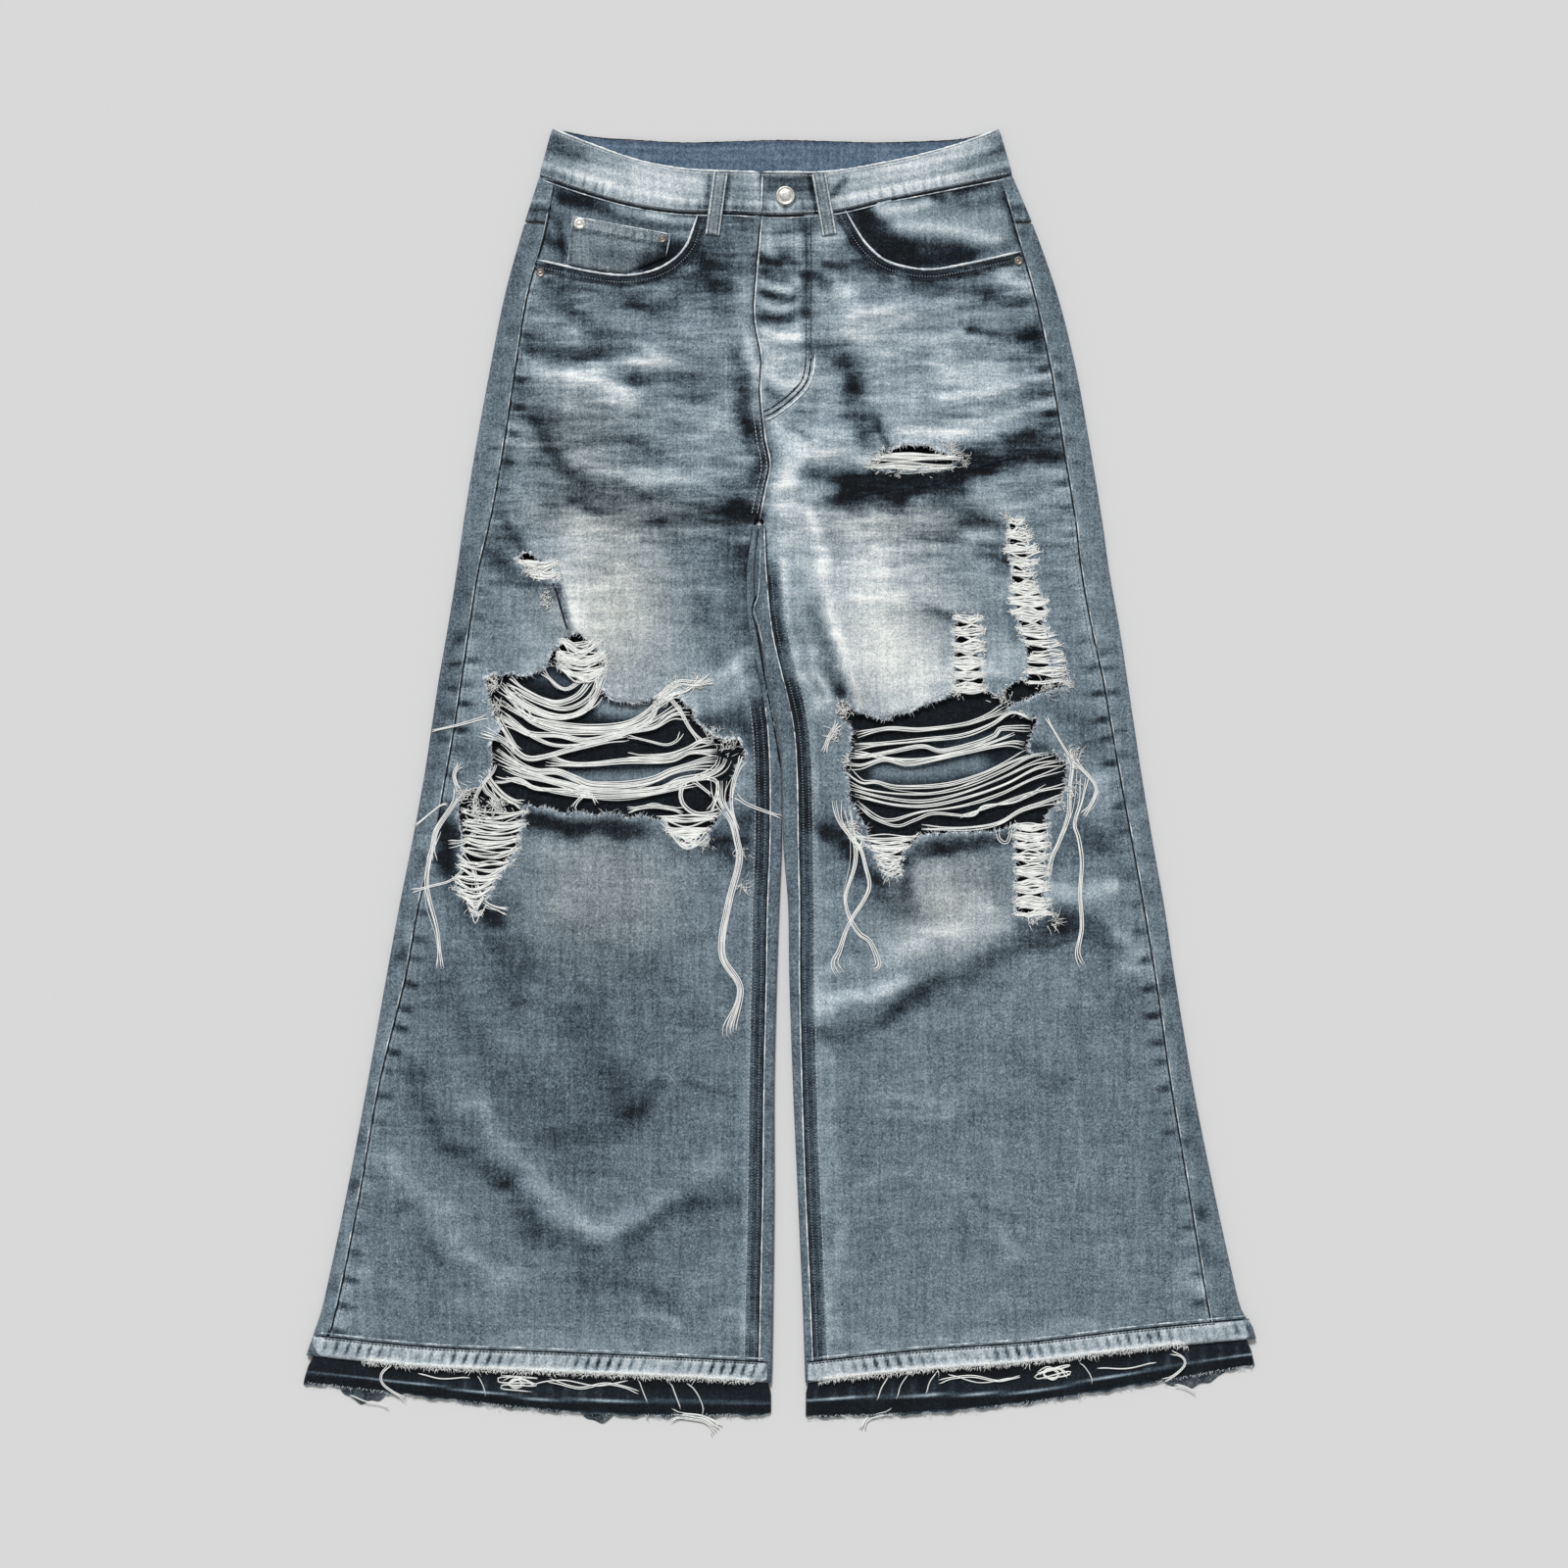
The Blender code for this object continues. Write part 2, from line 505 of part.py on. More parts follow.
class Leg:
    """The lines of one leg; `way` points from the middle of the garment to the outer fold."""

    def __init__(self, name, letter, way):
        self.name = name
        self.letter = letter
        self.way = way

    def line(self, column, y):
        return section(f"{column}_{self.letter}", y)

    def hem(self, column, x):
        outer, inner = self.line("outer", -490), self.line("inner", -490)
        part = min(1.0, max(0.0, (x - outer) / (inner - outer)))
        return through(HEMS, "part", f"{column}_{self.letter}", part)

    def row_height(self, y, x, front=False):
        """Rows bend to the worn hem at one end, and to the yoke seam or the waist at the other."""
        if y == LEG_ROWS[0]:
            return self.hem("worn", x)
        if y == YOKE_SIDE:
            reach = abs(self.line("side", YOKE_SIDE) - BAND_MIDDLE)
            part = min(1.0, abs(x - BAND_MIDDLE) / reach)
            return YOKE_CENTRE + (YOKE_SIDE - YOKE_CENTRE) * part
        if y == TABLE_TOP:
            return waist("seam" if front else "back_low", x) - 2 * GAP
        if y == YOKE_MIDDLE:
            return 0.5 * (self.row_height(YOKE_SIDE, x) + self.row_height(TABLE_TOP, x))
        return y

    def at_row(self, column, y):
        """A line of the leg where a row really crosses it."""
        return self.line(column, self.row_height(y, self.line(column, y), column == "side"))

    def point(self, row, x, low, high, front=False):
        """One point on each face of the back cloth; a row is its outer and its inner points."""
        height = self.row_height(row.y, x, front)
        row.outer.append((x, height, low))
        row.inner.append((x, height, high))

    def arc_start(self, y):
        """Where the outer fold leaves the ground, and its height."""
        fold = self.at_row("outer", y)
        top = upper(fold, y) + DENIM
        return fold - self.way * top / 2, top

    def arc_end(self, y):
        """The same for the inner fold."""
        fold = self.at_row("inner", y) + self.way * GAP / 2
        top = upper(fold, y) + DENIM
        return fold + self.way * top / 2, top

    def outer_wrap(self, y):
        """From the side seam over the outer fold and down to the ground."""
        row = Row(y, [], [])
        side = self.at_row("side", y) + self.way * GAP / 2
        start, top = self.arc_start(y)
        for x in (side, start):
            self.point(row, x, upper(x, y) + DENIM, upper(x, y), front=True)
        self.add_arc(row, start, self.way, top)
        raised = lift(start, self.row_height(y, start))
        self.point(row, start, raised, raised + DENIM)
        return row

    def underside(self, y, seat, gap):
        """Along the ground, from the outer fold to the inner fold or to the centre back seam."""
        row = Row(y, [], [])
        start = self.arc_start(y)[0] - self.way * gap
        middle = self.at_row("inner", y) + self.way * GAP / 2
        last = middle if seat else self.arc_end(y)[0] + self.way * gap
        for part in (0.0, *UNDER_PARTS, 1.0):
            x = start + (last - start) * part
            raised = lift(x, self.row_height(y, x))
            self.point(row, x, raised, raised + DENIM)
        return row

    def inner_wrap(self, y):
        """From the ground over the inner fold to the inseam."""
        row = Row(y, [], [])
        last, top = self.arc_end(y)
        self.point(row, last, 0.0, DENIM)
        self.add_arc(row, last, -self.way, top, rising=True)
        seam = self.at_row("seam", y) - self.way * GAP / 2
        self.point(row, last, top, top - DENIM)
        self.point(row, seam, upper(seam, y) + DENIM, upper(seam, y))
        return row

    def add_arc(self, row, centre, way, top, rising=False):
        """Points round a fold, between its flat ends."""
        radius = top / 2
        steps = range(1, ARC_STEPS)
        for n in reversed(steps) if rising else steps:
            angle = math.pi * n / ARC_STEPS
            for points, size in ((row.outer, radius), (row.inner, radius - DENIM)):
                x = centre + way * size * math.sin(angle)
                points.append((x, self.row_height(row.y, x), radius + size * math.cos(angle)))

    def seam_line(self, column):
        """A seam as the straight stretches between the rows of the back panel and yoke."""
        rows = LEG_ROWS + (SEAT_ROWS + YOKE_ROWS[1:] if column == "side" else [])
        line = []
        for y in rows:
            x = self.at_row(column, y)
            line.append((x, self.row_height(y, x, column == "side")))
        return line


def on_line(line, y):
    """Point of a line at a height."""
    for a, b in zip(line, line[1:]):
        if min(a[1], b[1]) <= y <= max(a[1], b[1]):
            t = (y - a[1]) / (b[1] - a[1])
            return (a[0] + (b[0] - a[0]) * t, y)
    return line[-1]


RIGHT = Leg("right", "r", -1)
LEFT = Leg("left", "l", 1)


def make_backs():
    """Each leg's underside, the two folds that bring it round to the front, and the yoke."""
    for leg in (RIGHT, LEFT):
        under = [leg.underside(y, False, GAP) for y in LEG_ROWS]
        under += [leg.underside(y, True, GAP) for y in SEAT_ROWS]
        outer = [leg.outer_wrap(y) for y in LEG_ROWS + SEAT_ROWS]
        inner = [leg.inner_wrap(y) for y in LEG_ROWS]
        for name, rows in (("back", under), ("outer_fold", outer), ("inner_fold", inner)):
            wall(f"{name}_{leg.name}", [r.outer for r in rows], [r.inner for r in rows],
                 "washed_denim")
        rows = []
        for y in YOKE_ROWS:
            side, under = leg.outer_wrap(y), leg.underside(y, True, 0.0)
            rows.append((side.outer + under.outer[1:], side.inner + under.inner[1:]))
        rows[0] = [[(x, y + GAP, z) for x, y, z in points] for points in rows[0]]
        wall(f"yoke_{leg.name}", [r[0] for r in rows], [r[1] for r in rows], "washed_denim")


def front_outline(leg, scoop):
    """Outline of a front panel, from its pocket opening round by the crotch to the side seam."""
    way = leg.way
    side = [(x - way * GAP / 2, y) for x, y in leg.seam_line("side")]
    seam = [(x + way * GAP / 2, y) for x, y in leg.seam_line("seam")]
    corner = on_line(side, SCOOP_END_Y[leg.name])
    outline = [(scoop[0][0], waist("seam", scoop[0][0]) - GAP)]
    middle = through(CENTRE_FRONT, "y", "x", 469) + way * GAP / 2
    slope = (FLY_WIDTH + FLY_SLOPE[1], FLY_WIDTH + FLY_SLOPE[0])
    for x in (*(slope if leg is LEFT else WAIST_STEPS), middle):
        outline.append((x, waist("seam", x) - GAP))
    for y in CENTRE_STEPS:
        outline.append((through(CENTRE_FRONT, "y", "x", y) + way * GAP / 2, y))
    outline.append((through(CENTRE_FRONT, "y", "x", CROTCH) + way * GAP / 2, CROTCH + 2 * GAP))
    outline.append((seam[-1][0], CROTCH + 2 * GAP))
    outline += reversed(seam[1:])
    for n in range(HEM_POINTS + 1):
        x = seam[0][0] + (side[0][0] - seam[0][0]) * n / HEM_POINTS
        outline.append((x, leg.hem("worn", x)))
    outline += [p for p in side[1:] if p[1] < corner[1] - 1.0]
    outline.append(corner)
    outline += list(reversed(scoop[1:]))
    return outline


def make_fronts():
    parts = ((RIGHT, SCOOP_RIGHT, [KNEE_RIP_RIGHT, TEAR_RIGHT]),
             (LEFT, SCOOP_LEFT, [KNEE_RIP_LEFT, TEAR_LEFT]))
    rows = [FLY_BOTTOM + n * GRID for n in range(6)]
    fly, edge = ([(FLY_WIDTH + slope, y + slope) for y in rows] for slope in FLY_SLOPE)
    for leg, scoop, holes in parts:
        marks = [fly, edge] if leg is LEFT else []
        plan = triangles(front_outline(leg, scoop), holes, GRID, marks)
        cloth(f"front_{leg.name}", plan, upper, DENIM, "washed_denim")


def make_fly():
    """The facing behind the fly, curved at its foot."""
    outline = [(FLY_WIDTH, waist("seam", FLY_WIDTH) - 2 * GAP)]
    for n in range(ARC_STEPS + 1):
        angle = math.pi / 2 * n / ARC_STEPS
        outline.append((FLY_WIDTH - FLY_CORNER + FLY_CORNER * math.cos(angle),
                        FLY_BOTTOM + FLY_CORNER - FLY_CORNER * math.sin(angle)))
    for y in FLY_STEPS:
        outline.append((through(CENTRE_FRONT, "y", "x", y) + GAP, y))
    height = LEG_HEIGHT - DENIM
    cloth("fly_facing", triangles(outline, [], GRID), lambda x, y: height, DENIM, "washed_denim")


def make_pockets():
    """The denim seen inside each pocket opening, and the coin pocket on the right one."""
    for leg, scoop in ((RIGHT, SCOOP_RIGHT), (LEFT, SCOOP_LEFT)):
        way = leg.way
        side = [(x - way * GAP / 2, y) for x, y in leg.seam_line("side")]
        corner = on_line(side, SCOOP_END_Y[leg.name])
        start = (scoop[0][0], waist("seam", scoop[0][0]) - GAP)
        edge = [start, *scoop[1:], corner]
        top_y = waist("seam", side[-1][0]) - GAP
        rim = [on_line(side, corner[1] - FACING_TUCK), corner]
        rim += [p for p in side if corner[1] + 5 < p[1] < top_y - 3]
        rim.append((side[-1][0], top_y))
        for part in FACING_COLUMNS:
            x = side[-1][0] + (start[0] - side[-1][0]) * part
            rim.append((x, waist("seam", x) - GAP))
        x = start[0] - way * FACING_TUCK
        rim += [start, (x, waist("seam", x) - GAP)]
        for x, y in scoop[1:]:
            steep = y > FACING_STEEP
            rim.append((x - way * FACING_TUCK * (1.0 if steep else 0.5),
                        y - (0.0 if steep else FACING_TUCK)))

        def height(x, y, edge=edge, way=way):
            """Low under the front panel, and level with it inside the opening."""
            beyond, behind = corner[0] + way * PANEL_SPAN, -way * PANEL_SPAN
            under = edge + [(beyond, corner[1]), (beyond, 0.0), (behind, 0.0), (behind, start[1])]
            depth = 0.0 if inside(x, y, under) else line_distance(x, y, edge)
            return LEG_HEIGHT - 2 * DENIM - GAP + (DENIM + GAP) * min(1.0, depth / FACING_RISE)

        marks = [edge]
        if leg is RIGHT:
            marks.append(COIN_POCKET + COIN_POCKET[:1])
        plan = triangles(rim, [], 15.0, marks)
        cloth(f"pocket_facing_{leg.name}", plan, height, DENIM, "inner_denim")
        if leg is RIGHT:
            raised = DENIM + GAP
            cloth("coin_pocket", plan, lambda x, y: height(x, y) + raised, DENIM, "inner_denim",
                  within=COIN_POCKET)


def band_x(x):
    """The waistband's upper edge draws in towards the middle."""
    return BAND_MIDDLE + (x - BAND_MIDDLE) * BAND_TAPER


def make_waistband():
    """One strip from the button end on the right, round the back, to the buttonhole end."""
    outer, inner = [], []

    def add(x, low, high, out, back):
        """Points on the lower and the upper edge of the band, at two heights."""
        outer.append([(x, low, out), (band_x(x), high, out)])
        inner.append([(x, low, back), (band_x(x), high, back)])

    def front(x, top):
        add(x, waist("seam", x) + GAP, waist("top", x), top, top - BAND_WALL)

    def turn(fold, way):
        """The side fold, a half circle from the front to the back or from the back to the front."""
        radius = BAND_HEIGHT / 2
        steps = [n * math.pi / (ARC_STEPS + 1) for n in range(ARC_STEPS + 2)]
        for angle in steps if way < 0 else reversed(steps):
            share = angle / math.pi
            low = waist("seam", fold) * (1 - share) + waist("back_low", fold) * share + GAP
            high = waist("top", fold) * (1 - share) + waist("back_top", fold) * share
            points = []
            for size in (radius, radius - BAND_WALL):
                x = way * size * math.sin(angle)
                z = radius + size * math.cos(angle)
                points.append([(fold + x, low, z), (band_x(fold) + x, high, z)])
            outer.append(points[0])
            inner.append(points[1])

    for x in BAND_UNDER:
        front(x, BAND_HEIGHT - BAND_DROP)
    for x in BAND_RIGHT:
        front(x, BAND_HEIGHT)
    turn(BAND_FOLDS[0], -1)
    for x in BAND_BACK:
        across = smooth_step((BAND_LIFT_SIDE - abs(x - BAND_MIDDLE)) / BAND_LIFT_IN)
        raised = LIFT_LOOP * across
        add(x, waist("back_low", x) + GAP, waist("back_top", x), raised, raised + BAND_WALL)
    turn(BAND_FOLDS[1], 1)
    for x in BAND_LEFT:
        front(x, BAND_HEIGHT)
    for x in BAND_OVER:
        front(x, BAND_HEIGHT + BAND_RISE)
    wall("waistband", outer, inner, "washed_denim")


def make_hem_bands():
    """The let-down hem of each leg: a flat ring that starts inside the leg's worn end."""
    for leg in (RIGHT, LEFT):
        outer, inner = [], []
        for column, away, height, floor in HEM_ROWS:
            tuck = DENIM + 2 * GAP if floor else 0.0
            ends = []
            for side, way in (("outer", -leg.way), ("inner", leg.way)):
                y = leg.hem(column, leg.line(side, -490)) + away
                ends.append(leg.line(side, y) + way * (tuck + height / 2))
            ring = []
            for n in range(HEM_COLUMNS):
                ring.append((ends[0] + (ends[1] - ends[0]) * n / (HEM_COLUMNS - 1), 1.0, 0.0))
            ring.append((ends[1], 0.0, -1.0))
            for n in reversed(range(HEM_COLUMNS)):
                ring.append((ends[0] + (ends[1] - ends[0]) * n / (HEM_COLUMNS - 1), -1.0, 0.0))
            ring.append((ends[0], 0.0, 1.0))
            for points, size in ((outer, height / 2), (inner, height / 2 - DENIM)):
                line = []
                for x, up, out in ring:
                    place = x + leg.way * out * size
                    y = leg.hem(column, place) + away
                    line.append((place, y, floor + height / 2 + up * size))
                points.append(line)
        wall(f"hem_band_{leg.name}", outer, inner, "dark_denim", ring=True)


def ribbon(name, line, width, low, thickness, finish):
    """A flat strip along a line of points, each with its own height."""
    outer, inner = [], []
    for n, (x, y, z) in enumerate(line):
        a, b = line[max(0, n - 1)], line[min(len(line) - 1, n + 1)]
        length = math.hypot(b[0] - a[0], b[1] - a[1])
        side = (-(b[1] - a[1]) / length * width / 2, (b[0] - a[0]) / length * width / 2)
        edge = [(x + side[0], y + side[1]), (x - side[0], y - side[1])]
        outer.append([(*p, low + z + thickness) for p in edge])
        inner.append([(*p, low + z) for p in edge])
    return wall(name, outer, inner, finish)


def make_belt_loops():
    """Front loops run from the band's top down over the waist seam; back loops lie underneath."""
    drop = BAND_HEIGHT - LEG_HEIGHT
    for loop in FRONT_LOOPS:
        line = []
        for part, down in LOOP_PROFILE:
            x = loop.x_top + (loop.x_low - loop.x_top) * part
            y = loop.y_top + (loop.y_low - loop.y_top) * part
            line.append((x, y, down * -drop))
        ribbon(loop.name, line, LOOP_WIDTH, BAND_HEIGHT + GAP, LOOP_WALL, "washed_denim")
    for name, x in BACK_LOOPS.items():
        line = [(x, LOOP_LOW, 0.0), (x, LOOP_HIGH, 0.0)]
        ribbon(name, line, LOOP_WIDTH, 0.0, LOOP_WALL, "washed_denim")


def make_back_pockets():
    """Plain five-sided patches under the seat."""
    for leg in (RIGHT, LEFT):
        middle = BAND_MIDDLE + leg.way * POCKET_CENTRE
        outline = [(middle - POCKET_HALF, POCKET_TOP), (middle - POCKET_HALF_LOW, POCKET_SHOULDER),
                   (middle, POCKET_POINT), (middle + POCKET_HALF_LOW, POCKET_SHOULDER),
                   (middle + POCKET_HALF, POCKET_TOP)]
        plan = triangles(outline, [], 70.0)
        cloth(f"back_pocket_{leg.name}", plan, lambda x, y: 0.0, DENIM, "washed_denim")


def make_threads():
    """Bundles of weft across the knees, and the ladders of weft in the long narrow rips."""
    for bundle in BUNDLES:
        line = [(x, y, 0.0) for x, y in bend(bundle.route, 3)]
        ribbon(bundle.name, line, bundle.width, THREAD_FLOOR, DENIM, "white_thread")
    for name, outline in LADDERS.items():
        cloth(name, triangles(outline, [], 40.0), lambda x, y: THREAD_FLOOR, DENIM, "white_thread")


def turned(name, x, y, low, profile, finish, sides=16):
    """A round piece standing on its seat: the profile gives each ring's radius and height."""
    points, faces = [], []
    for radius, height in profile:
        for n in range(sides):
            angle = 2 * math.pi * n / sides
            points.append((x + radius * math.cos(angle), y + radius * math.sin(angle), low + height))
    for r in range(len(profile) - 1):
        for n in range(sides):
            m = (n + 1) % sides
            faces.append([r * sides + n, r * sides + m, (r + 1) * sides + m, (r + 1) * sides + n])
    faces.append(list(range(sides)))
    faces.append([(len(profile) - 1) * sides + n for n in range(sides)])
    return make_object(name, points, faces, finish)


def make_fasteners():
    radius = BUTTON_RADIUS
    seat = BAND_HEIGHT + BAND_RISE + GAP
    profile = [(radius * 0.55, 0.0), (radius * 0.9, 0.9), (radius, 1.8), (radius * 0.94, 2.6),
               (radius * 0.78, 2.9), (radius * 0.66, 2.3)]
    turned("waist_button", *BUTTON, seat, profile, "pale_metal", sides=20)
    for rivet in RIVETS:
        size = rivet.radius
        profile = [(size, 0.0), (size, 0.6), (size * 0.7, 1.2), (size * 0.35, 1.3)]
        turned(rivet.name, rivet.x, rivet.y, rivet.seat + GAP, profile, rivet.finish, sides=10)


def main():
    for old in list(bpy.data.objects):
        bpy.data.objects.remove(old, do_unlink=True)
    make_backs()
    make_fronts()
    make_fly()
    make_pockets()
    make_waistband()
    make_hem_bands()
    make_belt_loops()
    make_back_pockets()
    make_threads()
    make_fasteners()


main()
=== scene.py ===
import math
from collections import namedtuple

import bpy
import numpy as np
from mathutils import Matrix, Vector
from mathutils.geometry import delaunay_2d_cdt


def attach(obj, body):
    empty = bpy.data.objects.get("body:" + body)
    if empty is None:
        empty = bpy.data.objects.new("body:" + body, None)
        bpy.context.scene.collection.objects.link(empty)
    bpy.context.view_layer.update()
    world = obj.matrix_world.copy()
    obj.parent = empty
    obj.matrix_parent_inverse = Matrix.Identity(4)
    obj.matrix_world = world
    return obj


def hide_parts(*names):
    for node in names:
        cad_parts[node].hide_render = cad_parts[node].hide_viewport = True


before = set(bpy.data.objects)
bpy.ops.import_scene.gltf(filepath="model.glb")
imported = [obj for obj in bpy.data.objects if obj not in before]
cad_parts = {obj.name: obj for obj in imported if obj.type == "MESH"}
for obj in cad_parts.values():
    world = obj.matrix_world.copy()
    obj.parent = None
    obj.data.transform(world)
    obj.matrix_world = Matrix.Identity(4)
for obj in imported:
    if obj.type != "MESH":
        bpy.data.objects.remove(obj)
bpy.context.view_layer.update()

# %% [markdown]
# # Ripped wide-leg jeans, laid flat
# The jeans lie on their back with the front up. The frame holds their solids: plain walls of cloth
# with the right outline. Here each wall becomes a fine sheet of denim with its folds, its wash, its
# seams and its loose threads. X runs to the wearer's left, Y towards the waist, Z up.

MM = 0.001
ORIGIN = np.array([-1.26, 0.14, 0.0])   # the frame's origin on the cutting table, in millimetres
DENIM = 1.2                             # thickness of one layer
GAP = 0.3
LEG_HEIGHT = 6.2                        # top of the front panels
BAND_HEIGHT = 6.8
CROTCH = 213.0
YOKE_SIDE, YOKE_CENTRE = 462.0, 425.0
BAND_MIDDLE, BAND_TAPER = -4.5, 0.945


def metres(points):
    """Points on the cutting table, in millimetres, as places in the frame."""
    return (np.asarray(points, float) - ORIGIN) * MM


# %% [markdown]
# ## Camera, floor and light
# Clothes for a catalogue are laid on a pale table and taken from straight above through a long
# lens, so that the legs keep their widths. One broad sun from the waist's side shades the folds and
# an even sky fills them. Together they light a level surface at full strength, so that a colour
# shows as it is written.

# %% Camera, floor and light
VIEW_WIDTH = 1312.0                     # what the camera sees across, in millimetres
VIEW_MIDDLE = (2.87, -8.61, LEG_HEIGHT)
LENS, SENSOR = 85.0, 36.0
FLOOR_GREY = 0.69
SUN_SHARE = 0.62                        # the part of the light that comes from the sun
SUN_HEIGHT = math.radians(48)
SUN_TURN = math.radians(12)             # from straight above the waist towards the left side
SUN_WIDTH = math.radians(16)

lens = bpy.data.cameras.new("table_camera")
lens.lens, lens.sensor_width = LENS, SENSOR
lens.clip_start, lens.clip_end = 0.05, 50.0
camera = bpy.data.objects.new("table_camera", lens)
away = VIEW_WIDTH / 2 * LENS / (SENSOR / 2) * MM
middle = metres(VIEW_MIDDLE)
camera.location = (middle[0], middle[1], middle[2] + away)
bpy.context.scene.collection.objects.link(camera)
bpy.context.scene.camera = camera

sun = bpy.data.lights.new("window_light", "SUN")
sun.energy = math.pi * SUN_SHARE / math.sin(SUN_HEIGHT)
sun.angle = SUN_WIDTH
lamp = bpy.data.objects.new("window_light", sun)
towards = Vector((-math.sin(SUN_TURN) * math.cos(SUN_HEIGHT),
                  math.cos(SUN_TURN) * math.cos(SUN_HEIGHT), math.sin(SUN_HEIGHT)))
lamp.rotation_euler = towards.to_track_quat("Z", "Y").to_euler()
bpy.context.scene.collection.objects.link(lamp)

bpy.context.scene.view_settings.view_transform = "Standard"
print("camera", round(away, 3), "m above the jeans")

# %% [markdown]
# ## Writing materials as sums
# A shader is a graph of nodes, but its maths reads better as a sum. This small class holds one
# output socket and turns each operator into its Math node, so that `0.5 + grain * 0.2` builds the
# nodes. Everything that isn't plain maths comes from one method that names the node's type.


# %% Sockets that can be added and multiplied
class Socket:
    def __init__(self, tree, out):
        self.tree, self.out = tree, out

    def node(self, kind, settings=None, out=0, **inputs):
        """A node of any type: its settings first, then the values or links of its sockets."""
        made = self.tree.nodes.new(kind)
        for name, value in (settings or {}).items():
            if name == "stops":
                ramp = made.color_ramp
                for stop, (place, colour) in zip(ramp.elements, (value[0], value[-1])):
                    stop.position, stop.color = place, (*colour, 1.0)
                for place, colour in value[1:-1]:
                    ramp.elements.new(place).color = (*colour, 1.0)
            else:
                setattr(made, name, value)
        for name, value in inputs.items():
            key = int(name[1:]) if name[1:].isdigit() else name.replace("_", " ")
            if isinstance(value, Socket):
                self.tree.links.new(value.out, made.inputs[key])
            else:
                colour = isinstance(value, tuple) and made.inputs[key].type == "RGBA"
                made.inputs[key].default_value = (*value, 1.0) if colour else value
        return Socket(self.tree, made.outputs[out])

    def maths(self, operation, *values):
        return self.node("ShaderNodeMath", {"operation": operation},
                         **{f"n{n}": value for n, value in enumerate(values)})

    def mix(self, dark, light):
        """One of two colours, the second as this socket nears 1."""
        return self.node("ShaderNodeMix", {"data_type": "RGBA"}, out=2, n0=self, n6=dark, n7=light)

    def clamp(self, low=0.0, high=1.0):
        return self.maths("MAXIMUM", self.maths("MINIMUM", self, high), low)

    def stretch(self, x, y, z):
        return self.node("ShaderNodeVectorMath", {"operation": "MULTIPLY"}, n0=self, n1=(x, y, z))

    def noise(self, scale, detail=2.0, roughness=0.5, distortion=0.0):
        """Noise from -1 to 1 about, with so many features to a unit of this vector."""
        value = self.node("ShaderNodeTexNoise", Vector=self, Scale=scale, Detail=detail,
                          Roughness=roughness, Distortion=distortion)
        return (value - 0.5) * 4.0


def operator(name, turned_round):
    """The method that a sign calls, with the socket first or, for numbers on its left, last."""
    def method(self, other):
        return self.maths(name, *((other, self) if turned_round else (self, other)))
    return method


for sign, name in (("add", "ADD"), ("sub", "SUBTRACT"), ("mul", "MULTIPLY")):
    setattr(Socket, f"__{sign}__", operator(name, False))
    setattr(Socket, f"__r{sign}__", operator(name, True))


def start_material(name, roughness, metallic=0.0):
    """A new material: its shader, and the place on the piece in millimetres."""
    material = bpy.data.materials.new(name)
    material.use_nodes = True
    tree = material.node_tree
    shader = tree.nodes["Principled BSDF"]
    shader.inputs["Roughness"].default_value = roughness
    shader.inputs["Metallic"].default_value = metallic
    coordinates = tree.nodes.new("ShaderNodeTexCoord")
    place = Socket(tree, coordinates.outputs["Object"]).stretch(1 / MM, 1 / MM, 1 / MM)
    return material, shader, place


def attribute(place, name):
    """A number that each point of the piece carries."""
    return place.node("ShaderNodeAttribute", {"attribute_name": name}, out=2)


def link(socket, shader, name):
    socket.tree.links.new(socket.out, shader.inputs[name])


def bump(shader, height, depth):
    """Relief from a height of about -1 to 1, so deep in millimetres."""
    bumped = height.node("ShaderNodeBump", Strength=1.0, Distance=depth * MM, Height=height)
    link(bumped, shader, "Normal")


def linear(*srgb):
    """A colour as it is seen, from 0 to 255, as light."""
    return tuple(v / 255 / 12.92 if v <= 10 else ((v / 255 + 0.055) / 1.055) ** 2.4 for v in srgb)


# %% Floor and sky
FLOOR_SIZE = 40.0
FLOOR_DROP = 0.0003                     # metres below the jeans, so that the two don't fight
floor_paint, floor_shader, _ = start_material("floor_paint", 0.9)
floor_shader.inputs["Base Color"].default_value = (FLOOR_GREY,) * 3 + (1.0,)
floor_shader.inputs["Specular IOR Level"].default_value = 0.0
plane = bpy.data.meshes.new("table_top")
half = FLOOR_SIZE / 2
plane.from_pydata([(-half, -half, 0), (half, -half, 0), (half, half, 0), (-half, half, 0)], [],
                  [(0, 1, 2, 3)])
plane.materials.append(floor_paint)
table_top = bpy.data.objects.new("table_top", plane)
table_top.location.z = -FLOOR_DROP
bpy.context.scene.collection.objects.link(table_top)

world = bpy.data.worlds.new("even_sky")
bpy.context.scene.world = world
world.use_nodes = True
sky = world.node_tree.nodes["Background"]
path = world.node_tree.nodes.new("ShaderNodeLightPath")
rays = Socket(world.node_tree, path.outputs["Is Camera Ray"])
rays = rays.maths("MAXIMUM", rays, Socket(world.node_tree, path.outputs["Is Glossy Ray"]))
rays = rays.maths("MAXIMUM", rays, Socket(world.node_tree, path.outputs["Is Transmission Ray"]))
strength = (1.0 - SUN_SHARE) + rays * (FLOOR_GREY - (1.0 - SUN_SHARE))
world.node_tree.links.new(strength.out, sky.inputs["Strength"])
sky.inputs["Color"].default_value = (1.0, 1.0, 1.0, 1.0)

# %% [markdown]
# ## The lines of the garment
# The solids were drawn from a few tables: where the outer fold, the side seam, the inseam and the
# inner fold of each leg run at a height, and the waist and hem lines. The same tables give the fine
# sheets their outlines, so both stay one garment. A smooth curve goes through each column.

